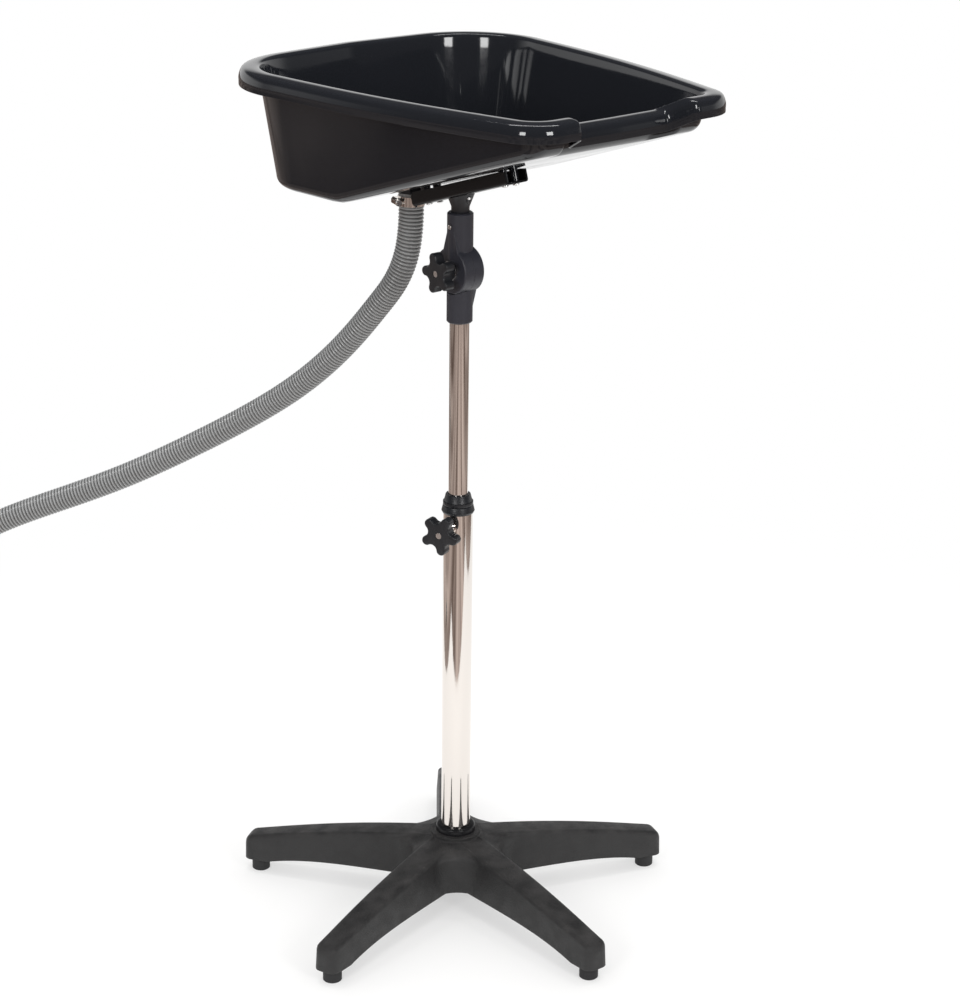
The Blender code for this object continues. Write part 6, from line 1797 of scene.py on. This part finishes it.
# Each finish: its slot, the user's colour, and how it is laid on. gloss is the lowest and highest
# roughness, and grain its scale and its height in metres. Where no pale colour is given, PLAIN_PALE
# makes one: the colour times its first number, plus its second.
# The pale colour covers rubbed edges, and in patches on upward faces it stands for dust and painted top light
FINISHES = (
    (GLOSS_BOWL, "basin", {
        "gloss": (0.045, 0.10), "grain": (55.0, 0.00003), "edge": 0.0009, "wear": 0.0, "dust": 0.012,
        "gloss_scale": 9.0,
    }),
    (GLOSS_BLACK, "bracket", {
        "gloss": (0.26, 0.38), "grain": (220.0, 0.00005), "edge": 0.0005, "wear": 0.02, "dust": 0.03,
        "specular": 0.22,
    }),
    # The base's large share and its pale colour paint its upward faces lighter: painted top light, with some
    # dust
    (CASTING_BLACK, "base", {
        "gloss": (0.40, 0.60), "grain": (620.0, 0.0007), "edge": 0.004, "wear": 0.20, "dust": 0.45,
        "gloss_scale": 55.0, "pale": (0.085, 0.080, 0.078),
    }),
    (FOOT_RUBBER, "rubber", {
        "gloss": (0.6, 0.78), "grain": (700.0, 0.0001), "edge": 0.0006, "wear": 0.1, "dust": 0.1,
    }),
    (SATIN_BLACK, "knuckle", {
        "gloss": (0.34, 0.5), "grain": (700.0, 0.0001), "edge": 0.0009, "wear": 0.22, "dust": 0.05,
        "gloss_scale": 40.0,
    }),
    (MOULDED_BLACK, "knobs", {
        "gloss": (0.3, 0.44), "grain": (500.0, 0.00006), "edge": 0.0007, "wear": 0.16, "dust": 0.05,
        "gloss_scale": 40.0,
    }),
    (DARK_PLASTIC, "knobs", {
        "gloss": (0.36, 0.5), "grain": (500.0, 0.00006), "edge": 0.0006, "wear": 0.15, "dust": 0.04,
        "gloss_scale": 40.0,
    }),
    (RUBBER, "rubber", {
        "gloss": (0.6, 0.8), "grain": (700.0, 0.00008), "edge": 0.0006, "wear": 0.1, "dust": 0.1,
    }),
    # The chrome's warm tint partly stands for the warm room it reflects: painted reflection colour
    (CHROME, "chrome", {
        "gloss": (0.03, 0.09), "grain": (90.0, 0.000012), "edge": 0.0004, "wear": 0.0, "dust": 0.015,
        "gloss_scale": 60.0, "metallic": 1.0, "stretch": (1, 1, 0.12), "pale": (0.62, 0.58, 0.54),
    }),
    (ZINC, "zinc", {
        "gloss": (0.18, 0.34), "grain": (800.0, 0.00004), "edge": 0.0004, "wear": 0.0, "dust": 0.05,
        "gloss_scale": 120.0, "metallic": 1.0, "pale": (0.45, 0.43, 0.40),
    }),
    (HOSE_GREY, "hose", {
        "gloss": (0.22, 0.32), "grain": (400.0, 0.00003), "edge": 0.0003, "wear": 0.0, "dust": 0.05,
        "gloss_scale": 30.0,
    }),
)
PLAIN_PALE = (2.2, 0.03)
# Painted shade: the hose's colour in its grooves, as a share of its colour on the crests
HOSE_GROOVE_PAINTED_SHADE = 0.12
BEVEL_SAMPLES = 4
# How alike the rounded and the flat normal are, where an edge begins to show and where it is sharp
EDGE_SPAN = (0.995, 0.86)
GRAIN_DETAIL = 3.0
GLOSS_DETAIL = 4.0
GLOSS_ROUGHNESS = 0.6
GLOSS_SPAN = (0.3, 0.7)
DUST_AND_TOP_LIGHT_DETAIL = 5.0
DUST_AND_TOP_LIGHT_SPAN = (0.35, 0.75)


def ramp(tree, value, low, high, to_low=0.0, to_high=1.0, smooth=False):
    """A value carried from one span to another and held at its ends."""
    given = {"Value": value, "From Min": low, "From Max": high, "To Min": to_low, "To Max": to_high}
    curve = "SMOOTHSTEP" if smooth else "LINEAR"
    return wired(tree, "ShaderNodeMapRange", given, interpolation_type=curve)["Result"]


def blended(tree, share, first, second, blend_type="MIX"):
    """Two colours mixed by a share."""
    given = {0: share, 6: first, 7: second}
    return wired(tree, "ShaderNodeMix", given, data_type="RGBA", blend_type=blend_type)[2]


def cloudy(tree, vector, scale, detail, roughness=0.5):
    """A soft noise between 0 and 1."""
    given = {"Vector": vector, "Scale": scale, "Detail": detail, "Roughness": roughness}
    return wired(tree, "ShaderNodeTexNoise", given)["Fac"]


def of_vectors(tree, operation, *vectors):
    """The plain value that a Vector Math node gives."""
    return wired(tree, "ShaderNodeVectorMath", dict(enumerate(vectors)), operation=operation)["Value"]


def parts_of(tree, vector):
    """A vector's X, Y and Z as sockets."""
    return wired(tree, "ShaderNodeSeparateXYZ", {0: vector})


def mapped(tree, vector, **settings):
    """A vector turned or stretched by a Mapping node."""
    return wired(tree, "ShaderNodeMapping", {"Vector": vector, **settings})["Vector"]


def shader_group(name, inputs, outputs):
    """A shader node group with named sockets: its tree, what it is given and what it puts out."""
    tree = bpy.data.node_groups.new(name, "ShaderNodeTree")
    for label, socket_type, value in inputs:
        socket = tree.interface.new_socket(label, in_out="INPUT", socket_type=socket_type)
        if value is not None:
            socket.default_value = value
    for label, socket_type in outputs:
        tree.interface.new_socket(label, in_out="OUTPUT", socket_type=socket_type)
    return tree, tree.nodes.new("NodeGroupInput").outputs, tree.nodes.new("NodeGroupOutput").inputs


def make_soft_edge_group(name):
    """A normal that rounds sharp edges, and a mask of where they are."""
    tree, given, out = shader_group(
        name,
        (("Radius", "NodeSocketFloat", 0.0006),),
        (("Normal", "NodeSocketVector"), ("Edge", "NodeSocketFloat")),
    )
    rounded = wired(tree, "ShaderNodeBevel", {"Radius": given["Radius"]}, samples=BEVEL_SAMPLES)["Normal"]
    sharp = tree.nodes.new("ShaderNodeNewGeometry").outputs["Normal"]
    alike = of_vectors(tree, "DOT_PRODUCT", rounded, sharp)
    tree.links.new(rounded, out["Normal"])
    tree.links.new(ramp(tree, alike, *EDGE_SPAN), out["Edge"])


def make_grain_group(name):
    """Fine moulded or cast grain as a bump on a given normal."""
    tree, given, out = shader_group(
        name,
        (("Vector", "NodeSocketVector", None), ("Normal", "NodeSocketVector", None),
         ("Scale", "NodeSocketFloat", 600.0), ("Height", "NodeSocketFloat", 0.0001)),
        (("Normal", "NodeSocketVector"), ("Mask", "NodeSocketFloat")),
    )
    grain = cloudy(tree, given["Vector"], given["Scale"], GRAIN_DETAIL)
    bump = wired(tree, "ShaderNodeBump", {
        "Distance": given["Height"], "Height": grain, "Normal": given["Normal"],
    })
    tree.links.new(bump["Normal"], out["Normal"])
    tree.links.new(grain, out["Mask"])


def make_gloss_group(name):
    """Gloss that drifts between two roughness values in soft patches."""
    tree, given, out = shader_group(
        name,
        (("Vector", "NodeSocketVector", None), ("Scale", "NodeSocketFloat", 14.0),
         ("Low", "NodeSocketFloat", 0.1), ("High", "NodeSocketFloat", 0.2)),
        (("Roughness", "NodeSocketFloat"),),
    )
    patches = cloudy(tree, given["Vector"], given["Scale"], GLOSS_DETAIL, GLOSS_ROUGHNESS)
    tree.links.new(ramp(tree, patches, *GLOSS_SPAN, given["Low"], given["High"]), out["Roughness"])


def make_dust_and_top_light_group(name):
    """A colour that a paler one covers where an edge is rubbed, and in patches on upward faces, for dust and
    painted top light.
    """
    tree, given, out = shader_group(
        name,
        (("Vector", "NodeSocketVector", None), ("Colour", "NodeSocketColor", None),
         ("Pale Colour", "NodeSocketColor", None), ("Edge", "NodeSocketFloat", 0.0),
         ("Edge Wear", "NodeSocketFloat", 0.2), ("Dust", "NodeSocketFloat", 0.1),
         ("Scale", "NodeSocketFloat", 40.0)),
        (("Colour", "NodeSocketColor"),),
    )
    # Upward faces take the paler colour in patches: dust, and painted top light
    upward = parts_of(tree, tree.nodes.new("ShaderNodeNewGeometry").outputs["Normal"])["Z"]
    patches = ramp(tree, cloudy(tree, given["Vector"], given["Scale"], DUST_AND_TOP_LIGHT_DETAIL), *DUST_AND_TOP_LIGHT_SPAN)
    upward_dust_and_top_light = calculate(tree, "MULTIPLY", calculate(tree, "MAXIMUM", upward, 0.0), patches)
    dust = calculate(tree, "MULTIPLY", upward_dust_and_top_light, given["Dust"])
    worn = calculate(tree, "MULTIPLY", given["Edge"], given["Edge Wear"])
    amount = calculate(tree, "MAXIMUM", dust, worn)
    tree.links.new(blended(tree, amount, given["Colour"], given["Pale Colour"]), out["Colour"])


SHADER_GROUPS = {
    "Soft Edges": make_soft_edge_group,
    "Surface Grain": make_grain_group,
    "Uneven Gloss": make_gloss_group,
    "Rubbed And Dusty": make_dust_and_top_light_group,
}


def group_node(tree, name, values):
    """A group placed in a material, with its own values or links."""
    return wired(tree, "ShaderNodeGroup", values, node_tree=bpy.data.node_groups[name])


def fresh_material(name):
    """A new material in place of one that an earlier run left."""
    forget(bpy.data.materials, name)
    material = bpy.data.materials.new(name)
    material.use_nodes = True
    return material


def make_finish(slot, colour, gloss, grain, edge, wear, dust, gloss_scale=14.0, metallic=0.0,
                specular=0.5, stretch=(1, 1, 1), pale=None):
    """One finish: colour with rubbed edges, with dust and painted top light on upward faces, uneven gloss,
    and grain over softened edges.
    """
    material = fresh_material(FINISH_NAMES[slot])
    material.diffuse_color = (*colour, 1.0)
    tree = material.node_tree
    shader = tree.nodes["Principled BSDF"].inputs
    shader["Metallic"].default_value = metallic
    shader["Specular IOR Level"].default_value = specular
    where = tree.nodes.new("ShaderNodeTexCoord").outputs["Object"]
    vector = mapped(tree, where, Scale=stretch)
    edges = group_node(tree, "Soft Edges", {"Radius": edge})
    grains = group_node(tree, "Surface Grain", {
        "Vector": vector, "Normal": edges["Normal"], "Scale": grain[0], "Height": grain[1],
    })
    uneven = group_node(tree, "Uneven Gloss", {
        "Vector": vector, "Scale": gloss_scale, "Low": gloss[0], "High": gloss[1],
    })
    gain, lift = PLAIN_PALE
    pale_colour = pale or tuple(min(1.0, level * gain + lift) for level in colour)
    dusty_and_top_lit = group_node(tree, "Rubbed And Dusty", {
        "Vector": where, "Colour": (*colour, 1.0), "Pale Colour": (*pale_colour, 1.0),
        "Edge": edges["Edge"], "Edge Wear": wear, "Dust": dust,
    })
    tree.links.new(dusty_and_top_lit["Colour"], shader["Base Color"])
    tree.links.new(uneven["Roughness"], shader["Roughness"])
    tree.links.new(grains["Normal"], shader["Normal"])
    return material


def paint_groove_shade(material, groove_share):
    """Painted shade: the hose's colour is darkened into its grooves, following the stored crest level."""
    tree = material.node_tree
    base = tree.nodes["Principled BSDF"].inputs["Base Color"]
    crest = tree.nodes.new("ShaderNodeAttribute")
    crest.attribute_name = "rib_crest"
    level = ramp(tree, crest.outputs["Fac"], 0.0, 1.0, groove_share)
    tree.links.new(blended(tree, 1.0, base.links[0].from_socket, level, "MULTIPLY"), base)


def make_finishes(colours):
    """Every finish of the stand, from the user's colours."""
    for name, make_group in SHADER_GROUPS.items():
        if name not in bpy.data.node_groups:
            make_group(name)
    for slot, colour, recipe in FINISHES:
        material = make_finish(slot, tuple(getattr(colours, colour)), **recipe)
        if slot == HOSE_GREY:
            paint_groove_shade(material, HOSE_GROOVE_PAINTED_SHADE)


# What a user would change

def tint(name, description, default):
    """A colour that a user may pick."""
    return bpy.props.FloatVectorProperty(
        name=name, description=description, subtype="COLOR", size=3, min=0, max=1, default=default
    )


class BasinColours(bpy.types.PropertyGroup):
    """Colours of the stand's finishes."""

    basin: tint("Basin", "Colour of the glossy bowl", (0.0120, 0.0131, 0.0162))
    bracket: tint("Bracket", "Gloss paint of the bracket and the hub ring", (0.009, 0.009, 0.010))
    base: tint("Base", "Moulded five-leg star", (0.0172, 0.0168, 0.0170))
    knuckle: tint("Knuckle", "Satin paint of the tilting knuckle", (0.030, 0.031, 0.041))
    knobs: tint("Knobs and collar", "Moulded knobs, collar, stem and drain fittings", (0.014, 0.015, 0.018))
    rubber: tint("Rubber", "Feet, gasket and hose cuff", (0.018, 0.018, 0.019))
    # The warmth of this tint partly stands for the warm room that the tubes reflect: painted reflection
    # colour
    chrome: tint("Chrome", "Tint of the polished tubes", (0.84, 0.79, 0.745))
    zinc: tint("Zinc", "Screws, nuts and washers", (0.72, 0.71, 0.70))
    hose: tint("Hose", "Ribbed drain hose", (0.345, 0.350, 0.350))


class BasinSizes(bpy.types.PropertyGroup):
    """Sizes that may change without touching the solids."""

    hose_rib_pitch: bpy.props.FloatProperty(
        name="Rib pitch", description="Distance from one hose rib to the next", subtype="DISTANCE",
        unit="LENGTH", default=HOSE_RIB_PITCH, min=0.002, max=0.02,
    )
    hose_groove: bpy.props.FloatProperty(
        name="Groove depth", description="How far the hose dips between two ribs", subtype="DISTANCE",
        unit="LENGTH", default=HOSE_GROOVE, min=0.0, max=0.003,
    )
    paper_front: bpy.props.FloatProperty(
        name="Paper front", description="How far the white paper runs towards the camera",
        subtype="DISTANCE", unit="LENGTH", default=0.72, min=0.3, max=4.0,
    )
    paper_half_width: bpy.props.FloatProperty(
        name="Paper half width", description="From the middle of the white paper to either side",
        subtype="DISTANCE", unit="LENGTH", default=1.0, min=0.5, max=4.0,
    )
    softbox_power: bpy.props.FloatProperty(
        name="Softbox power", description="Power of the large overhead softbox in watts", default=26.0,
        min=0.0, max=500.0,
    )


def begin():
    """The marks and finishes that every operator needs, and the user's values."""
    scene = bpy.context.scene
    lay_out_marks()
    if FINISH_NAMES[GLOSS_BOWL] not in bpy.data.materials:
        make_finishes(scene.basin_colours)
    bpy.context.view_layer.update()
    return scene.basin_sizes


# Stage

VIEW_HEADING = math.radians(40.5)
AHEAD = Vector((math.sin(VIEW_HEADING), math.cos(VIEW_HEADING), 0))
ASIDE = Vector((AHEAD.y, -AHEAD.x, 0))
CAMERA_PITCH = math.radians(19.721776)
CAMERA_ROLL = math.radians(0.61505)
CAMERA_FROM_COLUMN = (-2.0938, -2.4943, 1.7255)
CAMERA_FAR_END = 60.0
PHOTO_FOCAL_PIXELS = 2725.0
PHOTO_HEIGHT_PIXELS = 1004.0
SENSOR_WIDTH = 36.0
FLOOR_RADIUS = 14.0
PAPER_SHIFT = 0.2
PAPER_WHITE = (0.93, 0.925, 0.915, 1)
PLANK_DARK = (0.085, 0.06, 0.05, 1)
PLANK_PALE = (0.42, 0.355, 0.325, 1)
PLANK_STRETCH = (1, 0.12, 1)
PLANK_SCALE = 2.2
PLANK_DETAIL = 4.0
PLANK_SPAN = (0.38, 0.62)
# From this far round the column the paper grows from shaded to plain white, up to the second distance
SHADED_REACH = (0.4, 1.6)
SHADED_WHITE = 0.5
ROOM_DIM = (0.075, 0.073, 0.078, 1)
ROOM_WHITE = (1, 1, 1, 1)
ROOM_FILL = 0.92
# The white backdrop: how far ahead a ray points where it fades in, and how far up where it fades out
BACKDROP_AHEAD = (-0.25, 0.35)
BACKDROP_UP = (0.36, 0.20)
SOFTBOX_AIM_HEIGHT = 0.8
# Each softbox: where it hangs (to the right, away from the camera, up), its size, its share of the power
SOFTBOXES = (
    ("top_softbox", (0.0, 0.15, 2.9), (2.2, 0.24), 1.0),
    ("left_softbox", (-1.5, -3.1, 2.0), (0.8, 0.8), 1.15),
    ("right_softbox", (1.9, -2.7, 2.0), (0.8, 0.8), 1.15),
)


def view_axes():
    """The camera's right, up and forward directions."""
    forward = AHEAD * math.cos(CAMERA_PITCH) - Vector((0, 0, math.sin(CAMERA_PITCH)))
    up = ASIDE.cross(forward)
    cosine, sine = math.cos(CAMERA_ROLL), math.sin(CAMERA_ROLL)
    return ASIDE * cosine + up * sine, up * cosine - ASIDE * sine, forward


def staged(name, data):
    """An object of the stage, in place of one that an earlier run left."""
    forget(bpy.data.objects, name)
    obj = bpy.data.objects.new(name, data)
    bpy.context.scene.collection.objects.link(obj)
    return obj


def make_camera():
    data = bpy.data.cameras.new("photo_camera")
    data.sensor_width = SENSOR_WIDTH
    data.lens = PHOTO_FOCAL_PIXELS * SENSOR_WIDTH / PHOTO_HEIGHT_PIXELS
    data.clip_end = CAMERA_FAR_END
    camera = staged("photo_camera", data)
    right, up, forward = view_axes()
    matrix = Matrix((right, up, -forward)).transposed().to_4x4()
    matrix.translation = Vector(COLUMN_FOOT) + Vector(CAMERA_FROM_COLUMN)
    camera.matrix_world = matrix
    bpy.context.scene.camera = camera


def whitened(tree, surface, rays, share):
    """Mixes plain white into a surface for the rays that are named."""
    white = wired(tree, "ShaderNodeEmission", {})[0]
    amount = calculate(tree, "MULTIPLY", rays, share)
    return wired(tree, "ShaderNodeMixShader", {0: amount, 1: surface, 2: white})[0]


def paper_material(sizes):
    """White paper over a warm brown floor. The paper ends in a straight edge towards the camera."""
    material = fresh_material("Studio paper")
    tree = material.node_tree
    tree.nodes.clear()
    where = tree.nodes.new("ShaderNodeTexCoord").outputs["Object"]
    along_view = mapped(tree, where, Rotation=(0, 0, VIEW_HEADING))
    apart = parts_of(tree, along_view)
    in_front = calculate(tree, "LESS_THAN", apart["Y"], -sizes.paper_front)
    shifted = calculate(tree, "SUBTRACT", apart["X"], PAPER_SHIFT)
    aside = calculate(tree, "GREATER_THAN", calculate(tree, "ABSOLUTE", shifted), sizes.paper_half_width)
    off_paper = calculate(tree, "MAXIMUM", in_front, aside)
    path = tree.nodes.new("ShaderNodeLightPath").outputs
    unseen = calculate(tree, "SUBTRACT", 1.0, path["Is Camera Ray"])
    brown = calculate(tree, "MULTIPLY", off_paper, unseen)
    planks = cloudy(tree, mapped(tree, along_view, Scale=PLANK_STRETCH), PLANK_SCALE, PLANK_DETAIL)
    wood = blended(tree, ramp(tree, planks, *PLANK_SPAN), PLANK_DARK, PLANK_PALE)
    matte = wired(tree, "ShaderNodeBsdfDiffuse", {"Color": blended(tree, brown, PAPER_WHITE, wood)})[0]
    on_paper = calculate(tree, "MULTIPLY", path["Is Glossy Ray"], calculate(tree, "SUBTRACT", 1.0, off_paper))
    white = calculate(tree, "MAXIMUM", path["Is Camera Ray"], on_paper)
    share = ramp(tree, of_vectors(tree, "LENGTH", where), *SHADED_REACH, SHADED_WHITE, 1.0, smooth=True)
    wired(tree, "ShaderNodeOutputMaterial", {"Surface": whitened(tree, matte, white, share)})
    return material


def make_world():
    """White to the camera and behind the stand, and a dim room on the camera's side."""
    world = bpy.data.worlds.get("Studio room") or bpy.data.worlds.new("Studio room")
    world.use_nodes = True
    tree = world.node_tree
    tree.nodes.clear()
    way = tree.nodes.new("ShaderNodeTexCoord").outputs["Generated"]
    behind = ramp(tree, of_vectors(tree, "DOT_PRODUCT", way, AHEAD), *BACKDROP_AHEAD, smooth=True)
    low = ramp(tree, parts_of(tree, way)["Z"], *BACKDROP_UP, smooth=True)
    backdrop = calculate(tree, "MULTIPLY", behind, low)
    path = tree.nodes.new("ShaderNodeLightPath").outputs
    fill = calculate(tree, "MULTIPLY", path["Is Diffuse Ray"], ROOM_FILL)
    share = calculate(tree, "MAXIMUM", backdrop, calculate(tree, "MAXIMUM", path["Is Camera Ray"], fill))
    room = wired(tree, "ShaderNodeBackground", {"Color": blended(tree, share, ROOM_DIM, ROOM_WHITE)})[0]
    wired(tree, "ShaderNodeOutputWorld", {"Surface": room})
    bpy.context.scene.world = world


def stage_point(across, away, height):
    """A point by its distance to the camera's right, away from the camera, and up, from the column."""
    return Vector(COLUMN_FOOT) + ASIDE * across + AHEAD * away + Vector((0, 0, height))


def softbox(name, spot, size, power):
    """A soft area light, aimed at the middle of the stand."""
    data = bpy.data.lights.new(name, "AREA")
    data.shape = "RECTANGLE"
    data.size, data.size_y = size
    data.energy = power
    light = staged(name, data)
    light.location = stage_point(*spot)
    aim = stage_point(0, 0, SOFTBOX_AIM_HEIGHT) - light.location
    light.rotation_euler = aim.to_track_quat("-Z", "Y").to_euler()


def make_floor(sizes):
    def build(shape):
        bmesh.ops.create_circle(shape, cap_ends=True, segments=ROUND_STEPS, radius=FLOOR_RADIUS)

    floor = staged("studio_floor", mesh_of("studio_floor", build))
    floor.data.materials.append(paper_material(sizes))


# Operators

class BASIN_OT_stage(bpy.types.Operator):
    """Camera, floor, room and softboxes"""

    bl_idname = "basin.stage"
    bl_label = "Stage"

    def execute(self, context):
        sizes = begin()
        make_camera()
        make_floor(sizes)
        make_world()
        for name, spot, size, share in SOFTBOXES:
            softbox(name, spot, size, sizes.softbox_power * share)
        context.scene.view_settings.view_transform = "Standard"
        return {"FINISHED"}


class BASIN_OT_hose(bpy.types.Operator):
    """Ribbed drain hose with its cuff and its worm-drive clamp"""

    bl_idname = "basin.hose"
    bl_label = "Drain hose"

    def execute(self, context):
        sizes = begin()
        hose, line, length = make_hose(sizes)
        last = even_points(line, HOSE_BORE_POINTS)
        foot = Vector(COLUMN_FOOT)
        make_hose_cuff(last[-1] - foot, (last[-1] - last[-2]).normalized())
        make_hose_clamp()
        settle_forms()
        return {"FINISHED"}


class BASIN_OT_bowl(bpy.types.Operator):
    """The moulded bowl with its rolled rim and neck rest"""

    bl_idname = "basin.bowl"
    bl_label = "Bowl"

    def execute(self, context):
        begin()
        make_bowl()
        settle_forms()
        return {"FINISHED"}


class BASIN_OT_drain(bpy.types.Operator):
    """Strainer, gasket, union nut and hose tail"""

    bl_idname = "basin.drain"
    bl_label = "Drain"

    def execute(self, context):
        begin()
        make_drain()
        settle_forms()
        return {"FINISHED"}


class BASIN_OT_bracket(bpy.types.Operator):
    """The channel under the bowl, the stem and their screws"""

    bl_idname = "basin.bracket"
    bl_label = "Bracket and stem"

    def execute(self, context):
        begin()
        make_stem(make_bracket())
        settle_forms()
        make_bowl_screws()
        clear_bench()
        return {"FINISHED"}


class BASIN_OT_knuckle(bpy.types.Operator):
    """The tilting knuckle with its bolt, washer and knob"""

    bl_idname = "basin.knuckle"
    bl_label = "Knuckle"

    def execute(self, context):
        begin()
        make_knuckle()
        settle_forms()
        return {"FINISHED"}


class BASIN_OT_column(bpy.types.Operator):
    """The telescopic tubes, their collar and the height clamp"""

    bl_idname = "basin.column"
    bl_label = "Column"

    def execute(self, context):
        begin()
        make_column()
        make_height_clamp()
        settle_forms()
        return {"FINISHED"}


class BASIN_OT_base(bpy.types.Operator):
    """The five-leg star with its feet, ring and bolt"""

    bl_idname = "basin.base"
    bl_label = "Base"

    def execute(self, context):
        begin()
        make_base()
        make_hub_fittings()
        settle_forms()
        make_feet()
        clear_bench()
        return {"FINISHED"}


OPERATORS = (
    BASIN_OT_stage, BASIN_OT_hose, BASIN_OT_bowl, BASIN_OT_drain, BASIN_OT_bracket, BASIN_OT_knuckle,
    BASIN_OT_column, BASIN_OT_base,
)


class BASIN_PT_panel(bpy.types.Panel):
    """Sizes, colours and pieces of the basin"""

    bl_idname = "BASIN_PT_panel"
    bl_label = "Shampoo Basin"
    bl_space_type = "VIEW_3D"
    bl_region_type = "UI"
    bl_category = "Basin"

    def draw(self, context):
        layout = self.layout
        for group in (context.scene.basin_sizes, context.scene.basin_colours):
            column = layout.column()
            for name in group.bl_rna.properties.keys():
                if name not in ("rna_type", "name"):
                    column.prop(group, name)
        column = layout.column()
        for operator in OPERATORS:
            column.operator(operator.bl_idname)


CLASSES = (BasinColours, BasinSizes) + OPERATORS + (BASIN_PT_panel,)


def register():
    for item in CLASSES:
        bpy.utils.register_class(item)
    bpy.types.Scene.basin_colours = bpy.props.PointerProperty(type=BasinColours)
    bpy.types.Scene.basin_sizes = bpy.props.PointerProperty(type=BasinSizes)


def unregister():
    del bpy.types.Scene.basin_sizes
    del bpy.types.Scene.basin_colours
    for item in reversed(CLASSES):
        bpy.utils.unregister_class(item)


def main():
    register()
    bpy.ops.basin.stage()
    bpy.ops.basin.hose()
    bpy.ops.basin.bowl()
    bpy.ops.basin.drain()
    bpy.ops.basin.bracket()
    bpy.ops.basin.knuckle()
    bpy.ops.basin.column()
    bpy.ops.basin.base()
    for mark in list(shelf(CUTTERS).objects):
        bpy.data.objects.remove(mark, do_unlink=True)
    bpy.context.view_layer.update()


if __name__ == "__main__":
    main()
